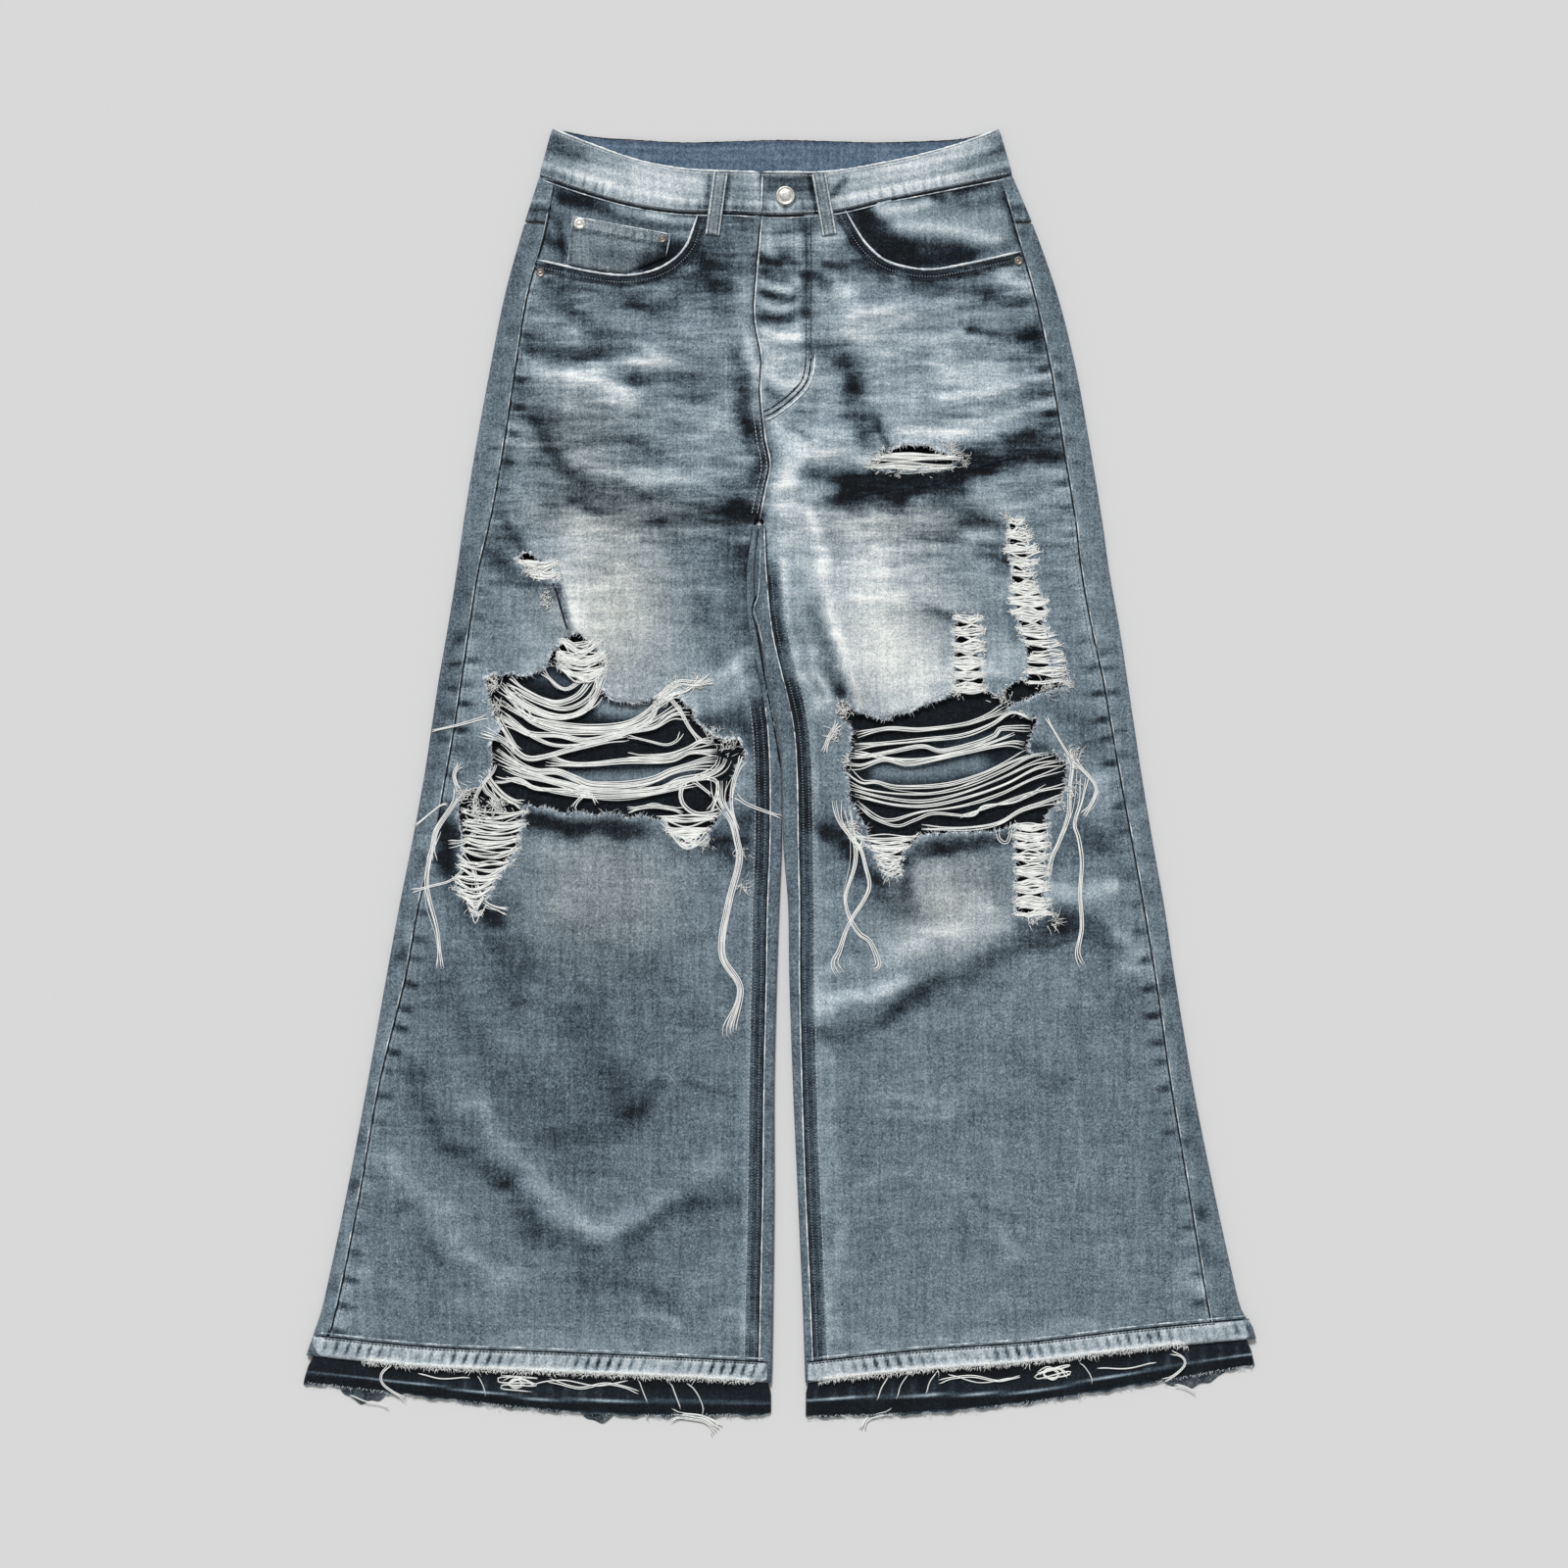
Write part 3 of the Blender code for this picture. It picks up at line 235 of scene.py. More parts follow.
# %% Tables of the garment's lines
def table(fields, *rows):
    """Rows of values whose columns have names."""
    kind = namedtuple("Row", fields)
    return [kind(*row) for row in rows]


SECTIONS = table(
    "y outer_r side_r seam_r inner_r inner_l seam_l side_l outer_l",
    (500, -202, -189, -18, -18, -18, -18, 184, 194), (455, -216, -197, -18, -18, -18, -18, 197, 213),
    (400, -231, -212, -18, -18, -18, -18, 213, 232), (340, -243, -222, -18, -18, -18, -18, 226, 247),
    (280, -254, -231, -18, -18, -18, -18, 236, 258), (213, -265, -243, -22, -18, -18, -14, 247, 269),
    (170, -271, -253, -28, -22, -22, -12, 252, 275), (120, -279, -261, -26, -19, -19, -7, 261, 284),
    (80, -286, -267, -17, -11, -11, 2, 270, 290), (40, -292, -273, -11, -3, -3, 11, 277, 296),
    (0, -298, -280, -9, 1, 1, 14, 284, 302), (-60, -309, -291, -9, 1, 2, 15, 295, 312),
    (-110, -319, -303, -11, -1, 6, 16, 304, 321), (-170, -330, -314, -12, -3, 7, 16, 314, 330),
    (-260, -346, -336, -14, -5, 10, 18, 327, 345), (-350, -363, -352, -15, -5, 14, 21, 342, 363),
    (-440, -382, -370, -17, -6, 18, 25, 357, 383), (-490, -394, -383, -18, -7, 20, 27, 366, 396),
    (-512, -400, -389, -19, -8, 21, 28, 370, 399.8), (-540, -400, -389, -19, -8, 21, 28, 370, 399.8),
)
WAISTLINE = table(
    "x seam top back_low back_top",
    (-203, 500, 540, 500, 540), (-165, 487, 526, 493, 533), (-125, 476, 513, 492, 530),
    (-85, 470, 506, 491, 528), (-40, 469, 504, 491, 529), (0, 467, 503, 491, 530), (45, 470, 504, 491, 529),
    (85, 479, 510, 491, 528), (125, 487, 518, 492, 529), (165, 495, 529, 494, 532),
    (195, 501, 540, 501, 540),
)
HEMS = table(
    "part worn_r raw_r worn_l raw_l",
    (0.0, -487, -511, -473, -496), (0.25, -497, -522, -482, -512), (0.5, -501, -533, -493, -527),
    (0.75, -505, -538, -500, -536), (1.0, -510, -537, -510, -539),
)
HEM_STITCH = 17.0                       # the hem's stitch line over its worn edge
CENTRE_FRONT = table(
    "y x",
    (503, -16), (469, -16), (420, -20), (383, -22), (346, -16), (319, -17), (280, -13), (258, -9),
    (238, -13), (213, -18),
)


def line_of(*numbers):
    """A line from the x and the y of its points by turns."""
    return np.reshape(numbers, (-1, 2)).astype(float)


SCOOPS = {
    "right": line_of(-69,469, -73,457, -79,442, -90,430, -107,421, -130,417, -160,420, -186,426, -204,430),
    "left": line_of(54,472, 63,456, 73,442, 87,430, 105,424, 127,422, 157,427, 184,433, 201,437),
}
COIN_POCKET = line_of(-174,466, -92,451, -96,432, -130,419, -160,422, -178,426)


# %% Smooth curves, distances and insides
def through(rows, column, at):
    """Value of a column on a smooth curve through the rows, at values of their first column."""
    keys = np.array([row[0] for row in rows], float)
    values = np.array([getattr(row, column) for row in rows], float)
    order = np.argsort(keys)
    keys, values = keys[order], values[order]
    slope = np.empty_like(values)
    slope[1:-1] = (values[2:] - values[:-2]) / (keys[2:] - keys[:-2])
    slope[0] = (values[1] - values[0]) / (keys[1] - keys[0])
    slope[-1] = (values[-1] - values[-2]) / (keys[-1] - keys[-2])
    at = np.clip(np.asarray(at, float), keys[0], keys[-1])
    i = np.clip(np.searchsorted(keys, at, side="right") - 1, 0, len(keys) - 2)
    span = keys[i + 1] - keys[i]
    t = (at - keys[i]) / span
    return ((1 + 2 * t) * (1 - t) ** 2 * values[i] + t * (1 - t) ** 2 * span * slope[i]
            + t * t * (3 - 2 * t) * values[i + 1] + t * t * (t - 1) * span * slope[i + 1])


def step(t):
    t = np.clip(t, 0.0, 1.0)
    return t * t * (3 - 2 * t)


def bell(away, width):
    """1 where nothing is between, and less and less with the distance."""
    return np.exp(-(away / width) ** 2)


def places(*values):
    """A row for each point, from its x, its y and perhaps its z: grids, columns or one number."""
    return np.stack([np.ravel(v) for v in np.broadcast_arrays(*values)], axis=1)


def raised(line, z):
    """Flat points with a height for each, or one for all."""
    return np.column_stack([line, np.broadcast_to(z, len(line))])


def closed(loop):
    return np.vstack([loop, loop[:1]])


def bend(points, steps=8):
    """A smooth curve through a few points, with a number of steps for each stretch."""
    points = np.asarray(points, float)
    ends = np.vstack([points[:1], points, points[-1:]])
    t = (np.arange(steps) / steps)[:, None]
    out = [0.5 * (2 * q + (r - p) * t + (2 * p - 5 * q + 4 * r - s) * t ** 2
                  + (3 * q - p - 3 * r + s) * t ** 3)
           for p, q, r, s in zip(ends, ends[1:], ends[2:], ends[3:])]
    return np.vstack(out + [points[-1:]])


def run_of(line):
    """How far along a line each of its points is."""
    return np.concatenate([[0.0], np.cumsum(np.linalg.norm(np.diff(line, axis=0), axis=1))])


def ahead_of(line):
    """The way that a line takes at each of its points."""
    ahead = np.gradient(line, axis=0)
    return ahead / np.maximum(np.linalg.norm(ahead, axis=1, keepdims=True), 1e-9)


def shifted(line, away):
    """A flat line moved sideways, to its left for a positive distance."""
    line = np.asarray(line, float)[:, :2]
    ahead = ahead_of(line)
    return line + away * places(-ahead[:, 1], ahead[:, 0])


def even(line, spacing):
    """The same line with its points an even distance apart."""
    line = np.asarray(line, float)
    run = run_of(line)
    at = np.linspace(0, run[-1], max(2, int(round(run[-1] / spacing)) + 1))
    return np.stack([np.interp(at, run, line[:, c]) for c in range(line.shape[1])], axis=1)


def nearest(points, line, reach=40.0, stretch=10):
    """Distance from each point to a bent line, how far along it is, and on which side.

    Points further away than the reach are left far off, which saves most of the work."""
    points, line = np.asarray(points, float)[:, :2], np.asarray(line, float)[:, :2]
    run = run_of(line)
    away, along, side = np.full(len(points), 1e3), np.zeros(len(points)), np.ones(len(points))
    for first in range(0, len(line) - 1, stretch):
        part = line[first:first + stretch + 1]
        low, high = part.min(0) - reach, part.max(0) + reach
        near = np.flatnonzero(((points > low) & (points < high)).all(1))
        for n in range(0, len(near), 6000):
            some = near[n:n + 6000]
            a, d = part[:-1], np.diff(part, axis=0)
            size = np.maximum((d ** 2).sum(1), 1e-9)
            rel = points[some, None] - a[None]
            t = np.clip((rel * d).sum(2) / size, 0, 1)
            far = np.sqrt(((rel - t[..., None] * d) ** 2).sum(2))
            best, pick = far.argmin(1), np.arange(len(some))
            found = far[pick, best]
            better = found < away[some]
            r = rel[pick, best]
            turn = np.sign(d[best, 0] * r[:, 1] - d[best, 1] * r[:, 0])
            place = run[first + best] + t[pick, best] * np.sqrt(size[best])
            for column, value in ((away, found), (along, place), (side, turn)):
                column[some[better]] = value[better]
    return away, along, side


def noise(points, across, along, seed, layers=3, turn=0.0):
    """Smooth seeded noise of about -1 to 1, with its own size across and along a turned axis."""
    table = np.random.default_rng(seed).uniform(-1, 1, (64, 64))
    x = points[:, 0] * math.cos(turn) + points[:, 1] * math.sin(turn)
    y = points[:, 1] * math.cos(turn) - points[:, 0] * math.sin(turn)
    total, weight = np.zeros(len(points)), 1.0
    for layer in range(layers):
        u, v = x / across * 2 ** layer + 7.3 * layer, y / along * 2 ** layer + 3.1 * layer
        i, j = np.floor(u).astype(int), np.floor(v).astype(int)
        s, t = step(u - i), step(v - j)
        corner = [table[(i + a) % 64, (j + b) % 64] for a in (0, 1) for b in (0, 1)]
        total += weight * ((corner[0] * (1 - t) + corner[1] * t) * (1 - s)
                           + (corner[2] * (1 - t) + corner[3] * t) * s)
        weight *= 0.55
    return total


def inside(points, loop, chunk=8000):
    """Which points lie in a closed loop."""
    a = np.asarray(loop, float)[:, :2]
    b = np.roll(a, -1, axis=0)
    out = []
    for n in range(0, len(points), chunk):
        x, y = points[n:n + chunk, 0:1], points[n:n + chunk, 1:2]
        cross = (a[:, 1] > y) != (b[:, 1] > y)
        with np.errstate(divide="ignore", invalid="ignore"):
            at = a[:, 0] + (y - a[:, 1]) * (b[:, 0] - a[:, 0]) / (b[:, 1] - a[:, 1])
        out.append((cross & (x < at)).sum(1) % 2 == 1)
    return np.concatenate(out) if out else np.zeros(0, bool)


class Leg:
    """The lines of one leg; `way` points from the middle of the garment to the outer fold."""

    def __init__(self, name, letter, way):
        self.name, self.letter, self.way = name, letter, way

    def line(self, column, y):
        return through(SECTIONS, f"{column}_{self.letter}", y)

    def hem(self, column, x):
        outer, inner = self.line("outer", -490), self.line("inner", -490)
        part = np.clip((np.asarray(x, float) - outer) / (inner - outer), 0, 1)
        return through(HEMS, f"{column}_{self.letter}", part)

    def seam(self, column, low, high, spacing=4.0, shift=0.0):
        """A seam as a line of points from low to high."""
        y = np.linspace(low, high, int(abs(high - low) / spacing) + 2)
        return places(self.line(column, y) + shift, y)


LEGS = [Leg("right", "r", -1), Leg("left", "l", 1)]
print("leg widths at the hem", [round(float(abs(l.line("outer", -500) - l.line("inner", -500))))
                                for l in LEGS])

# %% [markdown]
# ## Wash and folds
# Worn jeans are pale where the cloth stood proud and dark where it lay in a fold, so one table of
# soft strokes gives both. The same strokes also paint shade into the folds, under overhanging cloth
# and round the rips, and painted highlights on the ridges. Each stroke is a bent line with a half
# width, a tone that it adds (light or dark) and a relief in millimetres. The big folds are those of
# the solids.

# %% Strokes of the front panels
Stroke = namedtuple("Stroke", "path width tone relief")


def strokes(*rows):
    """Three points, a half width, a tone in hundredths and perhaps a relief in tenths."""
    return [Stroke(np.reshape(row[:6], (3, 2)), row[6], row[7] / 100, sum(row[8:]) / 10)
            for row in rows]


FOLDS = strokes(
    (-167,409, -139,374, -105,362, 15, 0, 30), (-200,333, -164,328, -127,312, 14, 0, 25),
    (-139,340, -93,352, -70,371, 14, 0, 30), (-159,262, -101,233, -60,224, 17, 0, 30),
    (-40,415, -33,370, -24,301, 11, 0, 40), (-230,205, -200,172, -172,122, 12, 0, 30),
    (45,379, 75,389, 125,392, 14, 0, 30), (87,297, 154,305, 227,331, 16, 0, 35),
    (34,282, 137,268, 228,287, 15, 0, 45), (14,260, 33,177, 60,80, 22, 0, 70),
    (34,-206, 62,-199, 95,-181, 16, 0, 40), (-303,-251, -264,-316, -200,-371, 19, 0, 40),
    (-119,-390, -80,-375, -44,-353, 17, 0, 30), (-190,-298, -125,-285, -93,-259, 17, 0, 30),
    (105,-330, 190,-366, 285,-338, 19, 0, 30),
)
# The tones of these stroke tables, from here to LAST_LOOK, are partly wear and partly painted light: dark
# strokes paint the shade in folds, under the rips' lips and between the legs, and light ones paint highlights
# on the ridges.
HIP_RIGHT = strokes(
    (-170,400, -146,378, -112,362, 6, 10, 8), (-225,392, -200,378, -175,372, 7, 6, 5),
    (-217,354, -185,352, -150,345, 9, -13, -9), (-222,352, -212,342, -196,334, 4, 16, 8),
    (-205,331, -170,328, -125,311, 9, 19, 10), (-172,334, -128,343, -98,358, 8, 17, 10),
    (-150,318, -90,305, -45,286, 9, 10, 6), (-122,332, -102,334, -84,326, 7, -13, -8),
    (-95,318, -78,312, -60,316, 6, -7, -4), (-195,300, -150,290, -110,270, 16, -9, -3),
    (-199,290, -189,268, -166,246, 7, -13, -9), (-170,264, -118,250, -60,240, 8, 18, 10),
    (-75,262, -45,252, -22,262, 8, 10, 6), (-62,236, -40,241, -20,250, 6, -8, -4),
    (-112,232, -62,221, -16,216, 5, -26, -14), (-174,229, -138,213, -102,210, 5, -24, -14),
    (-165,222, -120,219, -80,214, 5, -12, -6), (-102,210, -60,212, -18,211, 6, -13, -8),
    (-90,200, -62,197, -30,198, 4, -7, -5), (-115,196, -90,192, -66,192, 3, -15, -8),
    (-31,436, -32,395, -27,360, 6, 16, 8), (-27,360, -21,335, -16,312, 5, 22, 8),
    (-38,350, -33,326, -30,292, 6, -17, -14), (-30,290, -25,272, -16,262, 6, -24, -10),
    (-75,436, -56,430, -36,424, 9, -24, -10), (-45,446, -36,436, -30,428, 5, -12, -6),
    (-75,380, -62,350, -52,310, 17, 7, 3), (-224,300, -216,260, -210,220, 14, 8, 3),
    (-232,262, -238,228, -226,196, 5, -8, -5), (-196,412, -176,404, -150,402, 5, -10, -5),
    (-128,404, -110,398, -94,402, 4, 10, 4),
)
HIP_LEFT = strokes(
    (62,384, 104,391, 160,396, 5, 12, 7), (58,392, 82,385, 110,384, 8, 8, 4),
    (100,372, 130,372, 168,375, 4, -10, -6), (160,369, 186,364, 214,369, 4, -42, -17),
    (176,372, 196,372, 216,375, 5, -12, -5), (172,398, 190,394, 208,396, 4, -26, -10),
    (150,408, 175,414, 196,411, 6, 13, 5), (42,362, 50,344, 56,318, 12, -18, -8),
    (40,425, 48,424, 58,423, 5, -30, -8), (44,412, 50,404, 58,402, 5, 14, 5),
    (60,356, 90,367, 140,362, 4, 6, 5), (150,354, 190,352, 218,360, 6, -7, -4),
    (190,350, 210,346, 226,342, 4, -13, -6), (136,315, 180,321, 230,334, 4, 15, 8),
    (128,283, 160,290, 232,314, 6, 14, 8), (140,318, 170,312, 226,320, 3, -7, -4),
    (205,305, 220,302, 232,301, 4, -12, -5), (80,296, 84,284, 92,272, 3, -28, -8),
    (16,266, 44,268, 76,262, 6, 24, 10), (6,288, 14,286, 22,280, 3, -20, -6),
    (14,304, 22,303, 30,305, 3, -22, -6), (22,251, 60,245, 100,243, 6, -30, -12),
    (84,245, 130,246, 168,258, 7, -46, -18), (160,256, 196,262, 238,267, 5, -36, -15),
    (150,270, 180,277, 228,288, 6, -20, -8), (60,237, 100,236, 130,240, 6, -24, -8),
    (150,244, 186,248, 226,256, 7, 12, 6), (150,214, 172,210, 192,206, 6, -34, -12),
    (146,231, 170,228, 196,222, 6, 8, 4), (150,199, 176,196, 192,192, 4, 12, 5),
    (210,236, 226,230, 240,226, 8, -8, -4), (40,224, 80,216, 130,219, 7, 10, 5),
    (70,206, 110,207, 150,203, 4, -10, -6), (72,194, 112,198, 152,196, 4, -20, -10),
    (64,184, 100,178, 140,186, 4, -8, -5), (100,166, 130,168, 160,172, 4, -6, -4),
    (110,142, 126,138, 142,130, 5, -16, -6),
)
THIGHS = strokes(
    (-176,206, -176,170, -164,108, 22, 17), (-140,190, -136,150, -128,88, 34, 13),
    (-178,168, -175,140, -168,118, 6, 12, 5), (-186,164, -182,140, -178,118, 3, -34, -10),
    (-74,76, -50,84, -26,106, 9, 16, 12), (-56,62, -38,66, -22,76, 8, 10, 6),
    (-230,208, -218,192, -212,182, 4, -14, -6), (76,170, 84,120, 92,66, 38, 27),
    (100,120, 112,90, 116,62, 30, 10), (84,228, 84,200, 84,180, 40, 10),
    (24,222, 38,166, 52,112, 5, 22, 12), (50,118, 58,88, 64,58, 5, 20, 10),
    (10,240, 14,200, 26,160, 15, 14), (0,285, 4,255, 6,225, 10, 16), (30,140, 38,110, 48,70, 10, -17, -12),
    (12,66, 30,70, 46,66, 8, -14, -8), (18,160, 26,150, 40,146, 6, -8, -5),
    (232,60, 250,40, 262,20, 12, -8, -5), (250,-30, 256,-60, 250,-90, 18, -6, -4),
)
SHINS = strokes(
    (-180,-60, -160,-80, -120,-90, 40, 10), (-190,-110, -165,-120, -140,-140, 24, 7),
    (-214,-52, -160,-50, -110,-48, 7, -10, -5), (-234,-108, -226,-140, -212,-168, 12, -7, -5),
    (-306,-254, -280,-306, -232,-346, 10, -12, -12), (-232,-346, -202,-380, -156,-402, 9, -14, -13),
    (-129,-394, -91,-371, -44,-353, 8, -14, -12), (-254,-278, -208,-334, -166,-382, 10, 12, 9),
    (-150,-386, -96,-356, -44,-322, 11, 10, 8), (-330,-322, -298,-364, -232,-428, 12, 9, 7),
    (-312,-364, -286,-398, -262,-424, 9, -8, -6), (-232,-258, -180,-270, -120,-280, 16, -8, -5),
    (-136,-288, -118,-280, -100,-262, 7, -12, -8), (-200,-306, -170,-300, -140,-302, 8, -8, -5),
    (-80,-256, -60,-264, -40,-266, 3, -10, -6), (-120,-452, -100,-454, -82,-462, 3, 9, 4),
    (120,-70, 130,-100, 150,-130, 32, 13), (140,-100, 160,-112, 178,-120, 16, 10),
    (56,-160, 84,-150, 112,-150, 14, 8, 4), (36,-196, 72,-186, 104,-174, 8, 24, 14),
    (36,-218, 66,-221, 100,-200, 6, -20, -13), (100,-198, 150,-168, 236,-136, 8, -17, -11),
    (112,-60, 150,-56, 190,-58, 6, -12, -5), (88,-281, 120,-286, 154,-283, 3, 8, 4),
    (66,-342, 100,-334, 134,-338, 4, 8, 4), (160,-352, 178,-366, 200,-372, 4, -8, -4),
    (180,-376, 190,-392, 196,-402, 6, 8, 4), (262,-116, 288,-134, 312,-160, 10, 8, 3),
    (226,-126, 252,-138, 282,-150, 8, -14, -8), (200,-238, 216,-250, 232,-258, 10, -7, -4),
)
FLY = strokes(
    (-12,455, -10,445, -9,436, 4, 20, 5), (-14,432, -8,430, -2,428, 4, -36, -8),
    (2,434, 8,432, 14,430, 4, -32, -6), (-14,421, -6,418, 4,419, 4, -38, -8),
    (12,423, 16,420, 20,417, 4, -32, -6), (-14,412, -4,408, 8,404, 4, 26, 8),
    (-14,402, -2,400, 12,398, 4, -34, -8), (-12,392, 0,390, 14,392, 4, 28, 8),
    (-13,382, 0,380, 12,381, 4, -30, -8), (-12,370, 0,366, 14,366, 5, 30, 8),
    (-14,356, -4,350, 12,352, 6, 24, 4), (-12,340, 0,330, 12,322, 8, 20, 4),
    (23,455, 24,425, 24,400, 4, -22, -4), (24,392, 25,370, 25,352, 4, -18, -4),
    (16,455, 16,430, 16,410, 3, 10, 2), (58,436, 66,430, 74,424, 6, -20, -6),
    (30,418, 36,410, 42,408, 5, -22, -4), (-12,322, -2,316, 8,312, 4, -16, -3),
)
SECOND_LOOK = strokes(
    (-204,310, -188,308, -170,304, 11, 8, 4), (-130,336, -110,341, -92,348, 9, 14, 3),
    (-100,420, -70,416, -45,412, 10, -12, -3), (-172,396, -165,380, -158,360, 13, -11, -2),
    (-140,408, -120,396, -100,388, 8, -10, -3), (-170,344, -150,350, -125,352, 6, -8, -2),
    (-190,282, -175,262, -160,240, 20, -15, -4), (-160,250, -130,240, -95,232, 11, -12, -3),
    (-130,278, -80,262, -40,256, 9, -8, -2), (-24,284, -22,268, -24,250, 9, -20, -8),
    (-40,228, -30,224, -22,222, 9, -22, -6), (-38,205, -36,170, -34,130, 17, -17, -4),
    (-34,116, -30,88, -26,60, 13, -10, -6), (-70,40, -40,46, -22,40, 13, -20, -8),
    (-24,30, -22,0, -20,-40, 10, -24, -4), (-200,-42, -160,-44, -120,-46, 7, -22, -4),
    (-284,-30, -276,-60, -282,-84, 9, -26, -6), (-262,-106, -252,-118, -240,-124, 8, -22, -5),
    (-36,-36, -24,-60, -26,-80, 9, -18, -3), (-160,-130, -135,-155, -110,-170, 20, -9, -2),
    (-165,-205, -152,-235, -130,-262, 22, -10, -3), (-285,-180, -270,-205, -262,-225, 16, -8, -2),
    (-110,470, -100,462, -90,452, 4, 10), (-160,-425, -150,-418, -130,-408, 16, -7, -2),
    (-180,130, -170,150, -150,158, 12, 10), (-236,190, -242,200, -250,206, 8, -8),
    (112,412, 140,411, 166,414, 9, -30, -7), (222,366, 226,356, 230,346, 9, -16, -4),
    (52,338, 62,314, 76,288, 11, -22, -6), (60,375, 70,362, 84,350, 9, 12, 3),
    (186,414, 198,410, 208,402, 8, 18, 3), (130,338, 160,330, 196,326, 9, 12, 3),
    (144,284, 160,278, 178,276, 8, 16, 3), (46,228, 100,230, 150,232, 9, -34, -10),
    (210,232, 224,230, 238,232, 9, 16, 3), (168,184, 182,176, 200,180, 10, -15, -3),
    (70,150, 110,144, 156,146, 10, 10, 2), (70,100, 140,92, 200,96, 20, 8),
    (120,84, 150,82, 190,96, 8, 10, 2), (24,130, 30,100, 40,64, 6, 16, 5), (2,190, 4,160, 8,140, 8, 12, 2),
    (12,60, 18,20, 22,-40, 6, -16, -3), (40,-40, 52,-56, 62,-70, 14, -16, -3),
    (80,-92, 100,-100, 110,-112, 14, -15, -3), (90,-146, 120,-140, 150,-128, 11, 13, 3),
    (210,-112, 236,-122, 262,-124, 12, -14, -4), (120,-190, 150,-176, 176,-166, 10, -8, -3),
    (36,-110, 40,-200, 42,-300, 7, 9, 1), (42,-320, 46,-400, 48,-470, 7, 9, 1),
    (286,-140, 292,-150, 298,-160, 8, 12, 2), (268,-60, 284,-76, 296,-90, 10, -10, -3),
    (340,-420, 352,-430, 362,-446, 10, 10, 2), (-350,-420, -360,-440, -366,-456, 10, 8, 2),
    (40,-476, 150,-474, 260,-466, 8, 7, 1), (-240,-474, -150,-478, -50,-482, 8, 7, 1),
)
BALANCE = strokes(
    (-112,342, -95,346, -78,350, 9, 12, 2), (-126,320, -100,316, -60,322, 10, -10, -2),
    (-58,440, -52,420, -45,400, 12, -10, -2), (-160,436, -140,434, -120,432, 5, -10),
    (-230,326, -222,316, -216,306, 9, -12, -2), (-190,345, -180,340, -170,338, 8, -8, -2),
    (66,440, 74,430, 82,420, 10, -16, -3), (130,410, 150,402, 168,402, 9, -16, -3),
    (120,384, 140,386, 160,386, 10, -8, -2), (172,362, 184,360, 196,356, 9, 12, 2),
    (20,336, 18,325, 10,312, 7, 14, 2), (10,250, 20,246, 34,240, 9, 14, 3),
    (68,240, 120,244, 165,254, 12, -22, -6), (150,258, 180,268, 208,274, 10, -26, -7),
    (60,226, 80,222, 100,226, 10, -16, -3), (100,284, 140,286, 175,290, 5, 12, 3),
    (-16,280, -14,268, -16,255, 8, -14, -2), (-75,240, -55,234, -40,232, 10, -12, -2),
    (-192,236, -190,222, -192,208, 12, -10, -2), (-92,184, -75,178, -60,176, 10, -10, -2),
    (-21,196, -12,140, -4,80, 9, -12, -2), (-4,80, 2,40, 4,0, 9, -16, -2), (30,100, 35,76, 42,50, 8, 16, 3),
    (-92,66, -85,62, -78,58, 9, 18, 2), (-150,78, -140,76, -130,74, 7, 10, 2),
    (-218,112, -208,104, -200,96, 12, 12, 2), (-38,92, -34,84, -32,76, 7, 14, 2),
    (-34,-8, -28,-14, -22,-20, 9, 14, 3), (170,84, 190,82, 204,84, 6, 12, 2),
    (190,-20, 205,-20, 222,-22, 6, 10), (230,-98, 250,-98, 280,-100, 9, 22, 4),
    (240,-130, 252,-132, 264,-136, 9, -12, -3), (284,-32, 290,-42, 296,-52, 10, -12, -2),
    (212,-66, 222,-72, 232,-76, 10, -10, -2), (170,-100, 180,-110, 190,-118, 10, 12, 2),
    (110,-142, 130,-140, 142,-138, 9, 8), (-265,-116, -244,-150, -216,-194, 11, -11, -2),
    (-246,-44, -238,-52, -232,-60, 10, -16, -2), (-72,-46, -60,-52, -46,-58, 10, -16, -2),
    (-226,-18, -214,-22, -206,-34, 8, -16, -2), (-165,-420, -130,-432, -100,-438, 10, -8, -2),
    (-190,-382, -175,-386, -160,-390, 9, 10, 2), (-42,-452, -30,-462, -22,-470, 12, 12, 1),
    (366,-440, 374,-456, 384,-470, 14, 14, 1), (60,-58, 75,-50, 90,-44, 8, -14, -2),
    (200,24, 212,20, 222,14, 8, -14, -2), (-212,-40, -192,-46, -168,-50, 9, -30, -6),
    (-66,-46, -56,-54, -44,-62, 9, -22, -5), (-290,-38, -280,-44, -274,-54, 9, -24, -5),
    (36,-48, 44,-52, 54,-58, 8, -22, -5), (108,-72, 125,-64, 195,-52, 8, -30, -8),
    (70,44, 90,45, 108,47, 6, -30, -4), (90,239, 118,242, 146,250, 8, -45, -10),
    (188,246, 200,246, 212,248, 8, -10, -3), (-80,400, -66,396, -54,392, 8, -12, -3),
    (-122,386, -110,384, -98,384, 6, -10, -2), (14,390, 22,386, 30,382, 6, -14, -3),
    (36,446, 46,442, 58,438, 7, 22, 4), (240,176, 254,140, 266,100, 12, 9),
    (262,-8, 272,-18, 278,-30, 9, 14, 3), (14,100, 20,78, 28,56, 6, 16, 3),
    (42,108, 46,90, 50,74, 6, -12, -3), (-24,188, -12,100, 0,20, 8, -15, -2),
    (204,-130, 230,-140, 262,-150, 13, -10, -3), (142,76, 152,66, 160,62, 7, 12, 3),
    (-236,34, -226,26, -218,18, 9, 12, 2), (-246,184, -236,178, -226,170, 9, -20, -3),
    (-212,158, -204,154, -196,148, 8, -14, -3), (184,196, 192,186, 186,176, 6, -12, -2),
    (-284,-66, -276,-84, -280,-100, 8, -16, -3), (62,-70, 76,-84, 86,-96, 8, -14, -3),
    (104,-72, 108,-84, 106,-96, 6, -18, -3),
)
